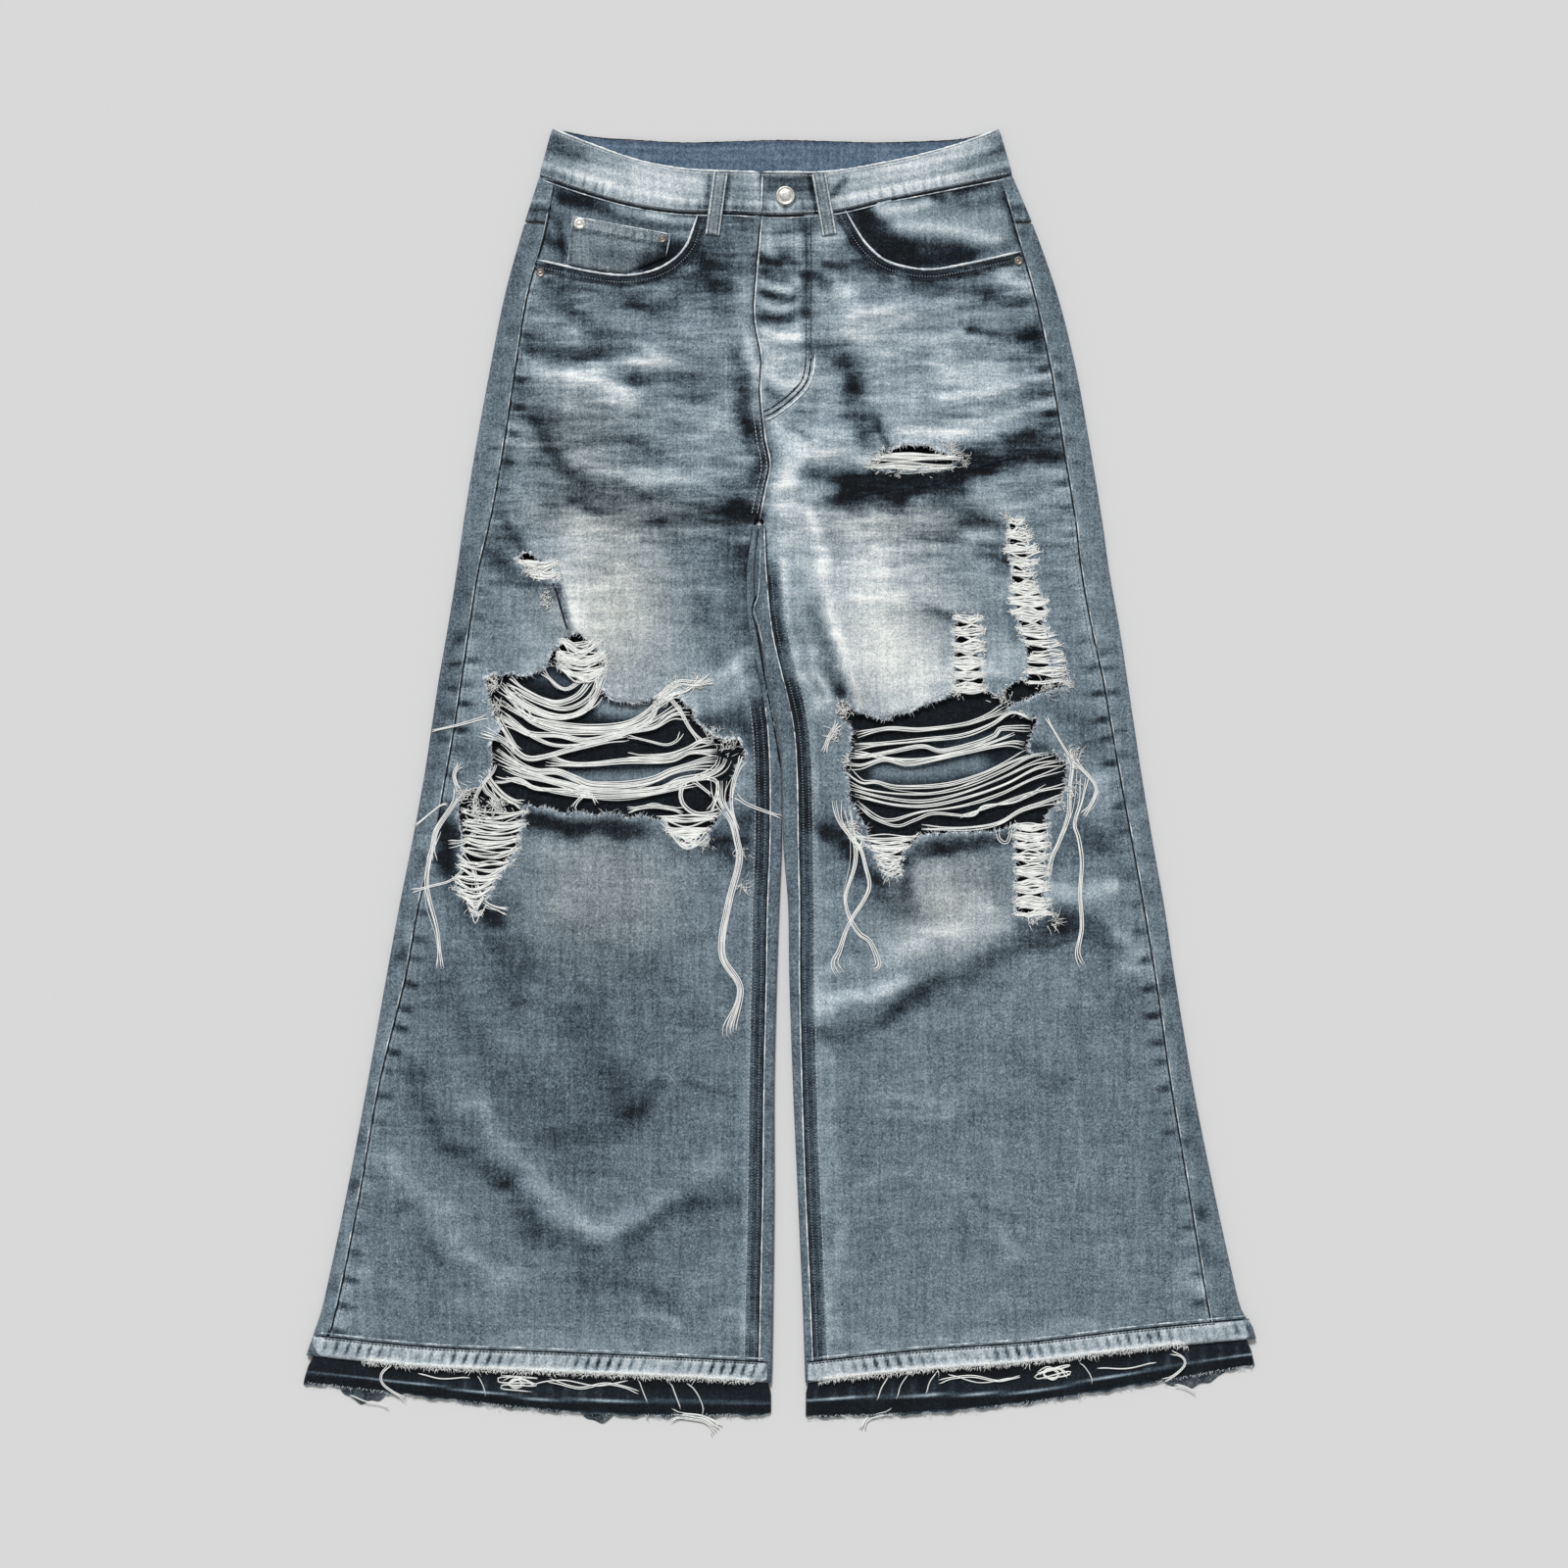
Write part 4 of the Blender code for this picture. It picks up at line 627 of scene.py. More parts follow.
LAST_LOOK = strokes(
    (-235,-290, -200,-300, -165,-310, 26, -5), (-140,150, -120,130, -100,112, 24, 7),
    (70,150, 90,130, 110,112, 24, -4), (-170,302, -150,300, -130,298, 14, 5),
    (-110,392, -90,390, -70,386, 16, -7), (25,130, 25,100, 28,70, 8, -7),
    (266,-146, 276,-150, 286,-156, 9, 15, 2), (110,-274, 122,-275, 138,-272, 10, 8),
    (-66,150, -62,120, -62,96, 10, -10, -2), (50,66, 48,58, 46,50, 6, -12, -2),
    (70,440, 72,425, 76,410, 11, -13, -3), (172,416, 184,414, 196,412, 8, 18, 3),
    (154,368, 164,366, 174,364, 7, 12, 2), (14,460, 26,455, 36,450, 7, -10, -2),
    (-170,384, -160,384, -150,386, 9, -9, -2), (-120,390, -105,386, -90,392, 9, -9, -2),
    (-54,410, -50,395, -48,380, 8, -10, -2), (-126,342, -116,340, -106,341, 6, 16, 2),
    (-190,316, -174,312, -158,311, 9, 4, 3), (-150,326, -136,326, -124,324, 6, -14, -2),
    (-42,326, -39,316, -38,306, 7, -15, -3), (-16,276, -15,260, -16,242, 6, -18, -3),
    (58,298, 66,291, 74,284, 8, -20, -4), (184,192, 200,190, 214,192, 8, -10, -2),
    (194,132, 196,121, 197,110, 6, -16, -2), (95,131, 128,132, 160,130, 7, -8, -2),
    (-200,166, -193,160, -188,152, 6, -26, -4), (354,-432, 363,-440, 372,-452, 11, 12),
    (-258,-108, -250,-116, -240,-122, 7, -20, -3), (-206,-42, -198,-46, -188,-50, 7, -18, -3),
    (84,240, 118,243, 150,248, 7, -22, -5), (60,229, 80,232, 100,232, 8, -14, -4),
    (-262,110, -246,60, -256,40, 10, 6), (22,80, 28,66, 32,52, 5, 10, 2),
)
STROKES = HIP_RIGHT + HIP_LEFT + THIGHS + SHINS + FLY + SECOND_LOOK + BALANCE + LAST_LOOK

# The level of the wash by height, before any stroke, and how warm the worn places are.
WASH = table(
    "y right left side",
    (480, 0.42, 0.46, 0.4), (420, 0.44, 0.53, 0.41), (360, 0.48, 0.6, 0.44), (300, 0.51, 0.6, 0.46),
    (240, 0.5, 0.52, 0.46), (200, 0.52, 0.54, 0.46), (120, 0.51, 0.5, 0.47), (40, 0.48, 0.46, 0.45),
    (-60, 0.45, 0.46, 0.44), (-120, 0.44, 0.47, 0.43), (-200, 0.42, 0.45, 0.42), (-300, 0.42, 0.44, 0.42),
    (-420, 0.43, 0.44, 0.43), (-510, 0.44, 0.45, 0.44),
)
WARM_PATCHES = table(
    "x y across along share",
    (-140, 140, 48, 74, 1.0), (-150, -100, 60, 55, 0.7), (95, 110, 55, 75, 0.75), (140, -105, 50, 50, 0.8),
    (-170, 280, 45, 40, 0.5), (90, 210, 70, 22, 0.6), (-140, 215, 70, 18, 0.6),
)


def stirred(flat):
    """How far each point is moved, so that no crease runs as smoothly as it was drawn."""
    return places(9 * noise(flat, 46, 30, 1), 6.5 * noise(flat, 42, 26, 2))


def beside(points, stroke, steps=4):
    """How strong a stroke is at each point."""
    far, _, _ = nearest(points, bend(stroke.path, steps), 3 * stroke.width)
    return bell(far, stroke.width)


def laid_strokes(points, strokes, column, steps=4, start=0.0):
    """What a few strokes add at each point of a small piece."""
    total = np.full(len(points), start)
    for s in strokes:
        total += getattr(s, column) * beside(points, s, steps)
    return total


BROAD = 14                              # wider strokes stay smooth; narrow ones break up


def strokes_at(points, column):
    """What the strokes add at each point: a tone or a relief."""
    flat = np.asarray(points, float)[:, :2]
    move = stirred(flat)
    total, broad = np.zeros(len(points)), np.zeros(len(points))
    for s in STROKES:
        value = getattr(s, column)
        if value == 0:
            continue
        low, high = s.path.min(0) - 2.6 * s.width - 10, s.path.max(0) + 2.6 * s.width + 10
        near = np.flatnonzero(((flat > low) & (flat < high)).all(1))
        if len(near) == 0:
            continue
        moved = flat[near] + move[near] * min(1.0, s.width / 12)
        into = broad if s.width > BROAD else total
        into[near] += value * beside(moved, s, 5)
    grain = noise(flat + move, 34, 9, 3, 3, 0.0)
    return total * (1 + 0.5 * grain) + broad * (1 + 0.12 * grain)


def fibres(points):
    """Long thin streaks that follow the folds: across on the hips and thighs, down on the shins."""
    flat = np.asarray(points, float)[:, :2]
    right = step((-18 - flat[:, 0]) / 20 + 0.5)
    across = noise(flat, 90, 10, 4, 4, -0.20) * right + noise(flat, 90, 10, 5, 4, 0.14) * (1 - right)
    down = noise(flat, 12, 60, 6, 4, 0.05)
    hips = step((flat[:, 1] - 130) / 130)
    shins = 1 - step((flat[:, 1] + 60) / 120)
    return across * (0.35 + 0.65 * hips) + down * 0.35 * shins + 0.3 * noise(flat, 40, 30, 8, 3)


def creases(flat):
    """Relief of the creases and fibres, which is never deeper than the cloth lets it be."""
    return np.maximum(strokes_at(flat, "relief") + 0.35 * fibres(flat), -2.0)


def wash_and_shade_at(points):
    """The tone of the denim, from 0 for deep indigo to 1 for white, and its warmth: wash, with the strokes'
    painted shade and highlights.
    """
    x, y = points[:, 0], points[:, 1]
    share = step((x + 30) / 40)
    tone = through(WASH, "right", y) * (1 - share) + through(WASH, "left", y) * share
    for leg in LEGS:
        edge = (x - leg.line("side", y)) * -leg.way
        beside = 1 - step((edge - 5) / 60)
        tone = np.where(x * leg.way > 0, tone * (1 - beside) + through(WASH, "side", y) * beside, tone)
    tone = tone + strokes_at(points, "tone")
    tone += (0.040 + 0.022 * step((y - 200) / 60)) * fibres(points)
    warm = np.zeros(len(points))
    for w in WARM_PATCHES:
        warm += w.share * np.exp(-((x - w.x) / w.across) ** 2 - ((y - w.y) / w.along) ** 2)
    return np.clip(tone, 0.03, 0.97), np.clip(warm, 0, 1)


CROTCH_DIP, CROTCH_REACH = 1.5, 45.0
FLY_WIDTH, FLY_SLOPE, FLY_BOTTOM = 20.0, (2.0, 9.0), 306.0


def forms(points):
    """Height of the upper cloth's big forms over its flat level: those of the solids."""
    z = np.zeros(len(points))
    for fold in FOLDS:
        z += fold.relief * beside(points, fold)
    x, y = points[:, 0], points[:, 1]
    near = np.hypot(x + 18, y - CROTCH) / CROTCH_REACH
    z -= CROTCH_DIP * step(1 - near)
    edge = through(CENTRE_FRONT, "x", y)
    across = step((FLY_WIDTH + FLY_SLOPE[1] - x) / (FLY_SLOPE[1] - FLY_SLOPE[0]))
    z += np.where(x > edge, (DENIM + GAP) * across * step((y - FLY_BOTTOM + 22) / 18), 0)
    return z


print(len(STROKES), "strokes and", len(FOLDS), "folds")

# %% [markdown]
# ## Washed denim
# Denim is a twill of white weft and indigo warp. Washing takes the dye off the high threads first,
# so the cloth looks gritty: a pale grain on a dark ground, with streaks along the warp where the
# yarn was thick. The tone that each point carries sets the level. The grain, the streaks and the
# clouds move it up and down, and one ramp turns the tone into a colour: blue in the dark, grey in
# the middle and nearly white where it is worn through.

# %% Denim material
TWILL = 1.1                             # width of a twill line in millimetres
RAMP_PLACES = (0.00, 0.16, 0.30, 0.44, 0.58, 0.72, 0.86, 1.00)


def ramp(*colours):
    """Colours from deep indigo to worn white, each at its place on a ramp."""
    return [(place, linear(*colour)) for place, colour in zip(RAMP_PLACES, colours)]


DENIM_RAMP = ramp((5, 8, 12), (28, 36, 43), (63, 76, 86), (101, 116, 126),
                  (138, 153, 163), (175, 188, 196), (214, 222, 226), (247, 249, 248))
WARM_RAMP = ramp((7, 9, 11), (31, 36, 40), (67, 75, 80), (107, 115, 118),
                 (145, 152, 152), (184, 189, 187), (221, 224, 219), (249, 249, 245))
BLUE_RAMP = ramp((4, 6, 12), (22, 31, 45), (52, 70, 92), (88, 109, 131),
                 (126, 145, 163), (168, 182, 195), (211, 219, 226), (245, 247, 248))


def denim(name, tone_name="tone", grain=1.0, stops=DENIM_RAMP):
    """A denim whose level comes from an attribute of the piece."""
    material, shader, place = start_material(name, 0.92)
    shader.inputs["Specular IOR Level"].default_value = 0.18
    shader.inputs["Sheen Weight"].default_value = 0.06
    shader.inputs["Sheen Roughness"].default_value = 0.5
    tone = attribute(place, tone_name)
    warm = attribute(place, "warm")
    grit = place.noise(0.60, 2.0, 0.7, 0.8)
    speck = place.stretch(1.0, 0.6, 1.0).noise(1.1, 1.0, 0.5)
    slub = place.stretch(1.0, 0.06, 0.2).noise(0.40, 3.0, 0.6)
    pick = place.stretch(0.09, 1.0, 0.2).noise(0.34, 2.0, 0.6)
    cloud = place.noise(0.05, 5.0, 0.6, 0.5)
    patch = place.noise(0.16, 3.0, 0.6, 1.0)
    streak = place.stretch(0.16, 1.0, 0.3).noise(0.16, 4.0, 0.62, 0.4) * attribute(place, "streak")
    x, y = (place.node("ShaderNodeSeparateXYZ", out=n, Vector=place) for n in (0, 1))
    twill = ((x * 0.62 + y + grit * 0.12) * (2 * math.pi / TWILL)).maths("SINE")
    middle = 1.0 - ((tone - 0.5) * 1.3).maths("ABSOLUTE").clamp(0.0, 0.75)
    change = (grit * 0.25 + speck * 0.15 + slub * 0.10 + pick * 0.05 + cloud * 0.07
              + patch * 0.08 + streak * 0.26 + twill * 0.02)
    level = (tone + change * middle * grain).clamp()
    cold = level.node("ShaderNodeValToRGB", {"stops": stops}, Fac=level)
    worn = level.node("ShaderNodeValToRGB", {"stops": WARM_RAMP}, Fac=level)
    link(warm.clamp().mix(cold, worn), shader, "Base Color")
    relief = grit * 0.30 + speck * 0.14 + slub * 0.20 + twill * 0.16 + patch * 0.5 + streak * 0.8
    bump(shader, relief, 0.34)
    return material


washed = denim("washed_denim_fine", grain=1.2)
inner = denim("inner_denim_fine", tone_name="inner", grain=0.9)
inner_blue = denim("inner_denim_blue", tone_name="inner", grain=0.9, stops=BLUE_RAMP)
indigo = denim("dark_denim_fine", grain=0.7)
print("denim materials:", washed.name, inner.name)

# %% [markdown]
# ## From points to cloth
# A sheet is a net of points with a number or two on each: its tone, its warmth and the tone of its
# wrong side. The mesh is one layer, and a Solidify modifier gives it the thickness of denim. The
# second material goes on the wrong side, where the dye never faded in the sun.


# %% Meshes with attributes
def piece(name, points, faces, materials, values, thickness=0.0):
    """A mesh from table points, with its values on the points and a thickness grown inwards."""
    mesh = bpy.data.meshes.new(name)
    mesh.from_pydata(metres(points).tolist(), [], [tuple(int(n) for n in f) for f in faces])
    for material in materials:
        mesh.materials.append(material)
    for key, value in values.items():
        layer = mesh.attributes.new(key, "FLOAT", "POINT")
        value = np.broadcast_to(np.asarray(value, np.float32), len(points))
        layer.data.foreach_set("value", np.ascontiguousarray(value))
    mesh.polygons.foreach_set("use_smooth", [True] * len(mesh.polygons))
    mesh.update()
    made = bpy.data.objects.new(name, mesh)
    bpy.context.scene.collection.objects.link(made)
    if thickness:
        wall = made.modifiers.new("thickness", "SOLIDIFY")
        wall.thickness, wall.offset = thickness * MM, -1.0
        wall.material_offset = 1 if len(materials) > 1 else 0
    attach(made, "root")
    return made


def net_faces(rows, columns, flip=False, start=0):
    """Faces of a net of points, row by row."""
    faces = []
    for r in range(rows - 1):
        for c in range(columns - 1):
            a = start + r * columns + c
            quad = (a, a + 1, a + columns + 1, a + columns)
            faces.append(quad[::-1] if flip else quad)
    return faces


def area_of(points, faces):
    """Area of the faces in square metres."""
    total = 0.0
    points = np.asarray(points, float)
    for f in faces:
        p = points[list(f)]
        for n in range(1, len(f) - 1):
            total += np.linalg.norm(np.cross(p[n] - p[0], p[n + 1] - p[0])) / 2
    return total * MM * MM


def cut(outline, holes, spacing):
    """Plan of a panel: fine triangles inside its outline and outside its holes."""
    loops = [even(closed(loop), spacing)[:-1] for loop in [outline, *holes]]
    fixed, edges = [], []
    for loop in loops:
        start = len(fixed)
        fixed += [tuple(p) for p in loop]
        edges += [(start + n, start + (n + 1) % len(loop)) for n in range(len(loop))]
    low, high = loops[0].min(0), loops[0].max(0)
    rows = np.arange(low[1] + spacing / 2, high[1], spacing * 0.87)
    columns = np.arange(low[0] + spacing / 2, high[0], spacing)
    x = columns[None, :] + (np.arange(len(rows)) % 2)[:, None] * spacing / 2
    grid = places(x, rows[:, None])
    keep = inside(grid, loops[0])
    for loop in loops[1:]:
        keep &= ~inside(grid, loop)
    grid = grid[keep]
    for loop in loops:
        far, _, _ = nearest(grid, closed(loop), spacing)
        grid = grid[far > 0.6 * spacing]
    points = [Vector(p) for p in fixed] + [Vector(p) for p in grid]
    plan = delaunay_2d_cdt(points, edges, [], 1, 1e-4)
    flat = np.array([(p.x, p.y) for p in plan[0]])
    faces = np.array(plan[2])
    unsure = np.flatnonzero((faces < len(fixed)).all(1))
    middles = flat[faces[unsure]].mean(1)
    drop = ~inside(middles, loops[0])
    for loop in loops[1:]:
        drop |= inside(middles, loop)
    faces = np.delete(faces, unsure[drop], axis=0)
    a, b, c = (flat[faces[:, n]] for n in range(3))
    turn = (b[:, 0] - a[:, 0]) * (c[:, 1] - a[:, 1]) - (b[:, 1] - a[:, 1]) * (c[:, 0] - a[:, 0])
    faces[turn < 0] = faces[turn < 0][:, ::-1]
    used, renumbered = np.unique(faces, return_inverse=True)
    return flat[used], renumbered.reshape(faces.shape)


def wander(count, size, seed, smooth=2):
    """Small seeded offsets that change smoothly along a loop."""
    values = np.random.default_rng(seed).normal(0, 1, (count, 2))
    for _ in range(smooth):
        values = (np.roll(values, 1, 0) + values * 2 + np.roll(values, -1, 0)) / 4
    return values * size


# %% [markdown]
# ## Roping along the seams
# A seam sewn through many layers shrinks less than the cloth beside it, so the cloth ropes: it
# rises and sinks along the seam. The ridges fade, the hollows keep their indigo, and the seam
# gets its row of dark spots. A sum of two waves keeps their spacing from being even.


# %% Roping pattern
def roping(along, pitch, seed, sharp=0.15):
    """0 on the ridges and 1 in the hollows of a roped seam."""
    wave = (np.sin(along * 2 * math.pi / pitch + 1.7 * np.sin(along / (pitch * 2.3) + seed) + seed)
            + 0.45 * np.sin(along * 2 * math.pi / (pitch * 0.57) + seed * 2.1))
    strength = 0.62 + 0.38 * np.sin(along / (pitch * 1.9) + seed * 3.3)
    return step((wave - sharp) / 1.1) * strength


def beside_seams(points, leg):
    """Tone and relief that the roped seams add to a front panel."""
    far, along, _ = nearest(points, leg.seam("side", -505, 440))
    hollow = roping(along, 21.0, 1.0 + leg.way)
    tone = -0.34 * hollow * bell(far - 7, 6)
    tone += 0.07 * (1 - hollow) * bell(far, 9) + 0.05 * bell(far, 2.2)
    relief = (0.5 - 0.9 * hollow) * bell(far, 9) - 0.7 * bell(far, 1.6)
    far, along, _ = nearest(points, leg.seam("seam", -505, 205))
    hollow = roping(along, 9.0, 2.0 + leg.way)
    below = step(((185 if leg.name == "left" else 66) - points[:, 1]) / 8)
    tone += -0.19 * below * step((12.0 - far) / 2.0) - 0.05 * hollow * bell(far - 5, 6)
    tone += 0.10 * below * bell(far - 14.5, 2.5)
    relief += -0.5 * bell(far, 1.6) - 0.2 * hollow * bell(far, 6)
    far, along, _ = nearest(points, SCOOPS[leg.name], 20)
    tone += (-0.24 - 0.16 * roping(along, 6.5, 3.0)) * step((10.5 - far) / 2.0)
    return tone, relief


print("roping between", [round(float(v), 2) for v in roping(np.linspace(0, 200, 5), 21.0, 1.0)])

# %% [markdown]
# ## Front panels
# Each front is one sheet between the side seam, the inseam, the centre front and the worn hem, with
# the pocket cut out of its corner and the rips cut through it. Its plan is cut from fine triangles
# with the rips as real holes, then it is raised to the big forms and the listed creases.

# %% The rips
KNEE_RIP_RIGHT = line_of(
    -249,77, -239,83, -220,82, -200,87, -182,114, -169,118, -156,110, -145,94, -152,71, -128,60, -101,63,
    -86,68, -73,51, -58,31, -34,27, -30,14, -38,-5, -40,-18, -49,-33, -60,-52, -80,-62, -99,-39, -124,-36,
    -169,-33, -194,-30, -214,-27, -220,-63, -239,-90, -256,-119, -271,-96, -267,-66, -271,-37, -269,-16,
    -251,-9, -241,4, -243,24, -235,39, -241,55
)
KNEE_RIP_LEFT = line_of(
    48,59, 55,61, 65,51, 84,47, 106,51, 123,60, 144,67, 147,131, 165,132, 169,78, 182,64, 187,73, 208,80,
    201,120, 192,160, 191,212, 200,215, 212,170, 222,130, 229,84, 241,78, 238,73, 211,64, 190,55, 204,51,
    218,46, 211,32, 207,19, 230,17, 241,7, 239,-13, 235,-25, 222,-36, 221,-100, 224,-118, 198,-118,
    196,-100, 196,-43, 175,-50, 118,-50, 109,-59, 98,-74, 100,-87, 88,-87, 85,-74, 75,-59, 68,-41, 57,-18,
    55,4, 56,19, 60,36, 46,50
)
TEAR_RIGHT = line_of(
    -223,180, -213,186, -190,176, -187,160, -199,162, -213,171
)
TEAR_LEFT = line_of(
    73,259, 86,269, 102,275, 122,275, 140,269, 150,263, 140,256, 124,252, 92,253
)
RIPS = {"right": [KNEE_RIP_RIGHT, TEAR_RIGHT], "left": [KNEE_RIP_LEFT, TEAR_LEFT]}
CLOTH_STEP = 3.2                        # spacing of a front panel's points
SHEET_WALL = DENIM * 0.9                # a little thinner than the solids' walls


def ragged(loop, seed):
    """A rip's edge as torn cloth has it: short steps in and out."""
    loop = even(closed(loop), CLOTH_STEP)[:-1]
    return loop + wander(len(loop), 1.7, seed, 1)


TORN = {leg.name: [ragged(loop, 11 + n + 5 * leg.way) for n, loop in enumerate(RIPS[leg.name])]
        for leg in LEGS}
print("points along the rips", {name: [len(loop) for loop in loops] for name, loops in TORN.items()})


# %% Front panels
def front_outline(leg):
    """From the pocket opening along the waist, down the centre front and round the leg."""
    way, scoop = leg.way, SCOOPS[leg.name]
    centre = through(CENTRE_FRONT, "x", 469.0) + way * GAP / 2
    x = np.linspace(scoop[0, 0], centre, 24)
    waist = places(x, through(WAISTLINE, "seam", x) - GAP)
    y = np.linspace(466, CROTCH + 1, 80)
    middle = places(through(CENTRE_FRONT, "x", y) + way * GAP / 2, y)
    seam = leg.seam("seam", CROTCH - 1, -470, shift=way * GAP / 2)
    x = np.linspace(seam[-1, 0], leg.line("side", -480.0), 120)
    hem = places(x, leg.hem("worn", x))
    side = leg.seam("side", -468, scoop[-1, 1], shift=-way * GAP / 2)
    return np.vstack([waist, middle, seam, hem, side, bend(scoop[::-1], 6)[1:-1]])


for leg in LEGS:
    flat, faces = cut(front_outline(leg), TORN[leg.name], CLOTH_STEP)
    tone, warm = wash_and_shade_at(flat)
    more_tone, more_relief = beside_seams(flat, leg)
    relief = forms(flat) + creases(flat) + more_relief
    for loop in TORN[leg.name]:
        far, _, _ = nearest(flat, closed(loop), 15)
        more_tone += 0.10 * bell(far, 2.2)
        relief += 0.8 * bell(far, 4.5) * (1 + 0.6 * noise(flat, 9, 9, 12))
    tone = np.clip(tone + more_tone, 0.04, 0.96)
    points = np.column_stack([flat, LEG_HEIGHT + relief])
    streak = 0.25 + 0.75 * step((flat[:, 1] - 60) / 160)
    values = {"tone": tone, "warm": warm, "inner": 0.34, "streak": streak}
    made = piece(f"front_panel_{leg.name}", points, faces, [washed, inner], values, SHEET_WALL)
    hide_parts(f"front_{leg.name}")
    print(made.name, len(flat), "points,", round(area_of(points, faces), 4), "square metres")

# %% [markdown]
# ## Back panels
# A back panel is wider than the front: it lies underneath, turns up round the outer fold and ends at
# the side seam, a thumb's width in from the edge, and does the same at the inner fold. It is a net
# of points: each row goes once across, from the side seam round to the inseam.

# %% Rows of the back panels
SIDE_COLUMNS, ARC_COLUMNS, UNDER_COLUMNS = 7, 7, 72
FOLD_SHIFT = 0.15                       # the cloth's outer face lies this far past its line
ROW_STEPS = [(-500.0, -68, 12), (-68, 112, 4), (112, 196, 12), (196, 224, 4), (224, 240, 8),
             (240, 292, 4), (292, 461, 8)]    # from, to and step: fine behind the rips
BACK_POCKET = (122.0, 66.0, 58.0, 405.0, 275.0, 255.0)     # middle, half widths, top and low edges


def lifted(x, y):
    """How far the back stands off the table over a back pocket and the belt loops."""
    middle, half, _, top, _, foot = BACK_POCKET
    beside = np.maximum(np.abs(np.abs(x - BAND_MIDDLE) - middle) - half, 0)
    beyond = np.maximum(np.maximum(y - top, foot - y), 0)
    pocket = step((36 - np.hypot(beside, beyond)) / 25)
    loops = step((154 - np.abs(x - BAND_MIDDLE)) / 30) * step((y - 443) / 14)
    return np.maximum((DENIM + 2 * GAP) * pocket, 1.9 * loops)


def yoke_line(x):
    share = np.minimum(1, np.abs(x - BAND_MIDDLE) / 197.0)
    return YOKE_CENTRE + (YOKE_SIDE - YOKE_CENTRE) * share


def top_of_back(leg, y):
    """Height of the upper cloth along the outer fold."""
    return LEG_HEIGHT + forms(places(leg.line("outer", y), y))


def wrap(leg, y, column, seam_column, turn):
    """Points from a seam on the front, round a fold and down to the table, for each row."""
    shift = leg.way * FOLD_SHIFT
    fold = leg.line(column, y) + shift
    seam = leg.line(seam_column, y) + shift
    top = top_of_back(leg, y) if column == "outer" else np.full(len(y), LEG_HEIGHT - 0.1)
    start = fold - turn * top / 2
    t = np.linspace(0, 1, SIDE_COLUMNS)[None, :]
    x = seam[:, None] + (start - seam)[:, None] * t
    z = (LEG_HEIGHT + forms(places(x, y[:, None]))).reshape(x.shape)
    z = z + (top - z[:, -1])[:, None] * t
    angle = np.linspace(0, math.pi, ARC_COLUMNS + 1)[None, 1:]
    ax = start[:, None] + turn * top[:, None] / 2 * np.sin(angle)
    az = top[:, None] / 2 * (1 + np.cos(angle))
    return np.concatenate([x, ax], axis=1), np.concatenate([z, az], axis=1)


def underside(y, x, z, end):
    """Rows that come round the outer fold, taken on under the leg to their ends."""
    t = np.linspace(0, 1, UNDER_COLUMNS + 1)[None, 1:]
    ux = x[:, -1:] + (end[:, None] - x[:, -1:]) * t
    uz = lifted(ux, y[:, None])
    return np.concatenate([x, ux], axis=1), np.concatenate([z, uz], axis=1)


def back_rows(leg):
    """The whole back panel as rows: side strip, outer fold and underside, hem to yoke."""
    y = np.unique(np.concatenate([np.arange(low, high, gap) for low, high, gap in ROW_STEPS]))
    has_leg = y < CROTCH - 1.5
    inner = leg.line("inner", y) + leg.way * FOLD_SHIFT
    end = np.where(has_leg, inner + leg.way * (LEG_HEIGHT - 0.1) / 2, inner)
    return y, *underside(y, *wrap(leg, y, "outer", "side", leg.way), end)


def sit_rows(leg, x, y):
    """Rows bend to the hem at one end and to the yoke at the other."""
    low, high = leg.hem("worn", x), yoke_line(x)
    near_hem = 1 - step((y[:, None] + 500) / 60)
    near_yoke = step((y[:, None] - 400) / 62)
    return y[:, None] + (low + 500) * near_hem + (high - YOKE_SIDE) * near_yoke


def fold_shade(leg, points, z):
    """Painted shade above the knees, where the left leg lies against the right one: darker near the inner
    folds, and a little darker over the right leg's whole reach.
    """
    fold = leg.line("inner", points[:, 1])
    into = (points[:, 0] - fold) * leg.way
    reach = step((200 - points[:, 1]) / 20) * step((points[:, 1] + 30) / 60) * (z > LEG_HEIGHT / 2)
    if leg.name == "left":
        return -0.15 * reach * step((100 - points[:, 1]) / 60) * step((13 - into) / 3)
    return -0.34 * reach * bell(into, 8) * step((170 - points[:, 1]) / 60) - 0.08 * reach


def strip_wash_and_shade(leg, x, y, z):
    """Tone of the back cloth: mid blue, with the side seam's roping on the strip that shows, and the painted
    shade of fold_shade.
    """
    points = places(x, y)
    far, along, _ = nearest(points, leg.seam("side", -505, 500))
    outside = points[:, 0] * leg.way > leg.line("side", 500.0) * leg.way * 0.5
    shown = (z.ravel() > LEG_HEIGHT / 2) & outside
    hollow = roping(along, 19.0, 4.0 + leg.way)
    tone = through(WASH, "side", points[:, 1]) - 0.02
    spots = -0.20 * hollow * bell(far - 6, 6)
    edge = 0.10 * (1 - hollow) * bell(far, 8)
    tone = tone + fold_shade(leg, points, z.ravel())
    return tone + np.where(shown, spots + edge, 0.0), hollow, far, shown


# Painted light on the wrong side of the back, seen through the knee rips: soft strokes of light in the open
# middles, on a painted near-black shade.
RIP_LIGHT = strokes(
    (-205,83, -185,78, -165,74, 8, 26), (-150,56, -125,53, -102,58, 9, 50),
    (-175,-5, -120,-3, -75,0, 8, 44), (-180,34, -160,31, -140,32, 4, 14),
    (-215,100, -200,94, -190,96, 6, 10), (128,28, 160,28, 190,33, 5, 22), (84,1, 120,1, 165,8, 10, 42),
    (176,8, 190,10, 200,14, 6, 12), (150,-28, 165,-26, 180,-24, 4, 12),
)


def rip_shade(points):
    """The wrong side of the back where the rips show it: painted shade, near black, with painted light only
    in the open middles.
    """
    return laid_strokes(points, RIP_LIGHT, "tone", 5, 0.035)


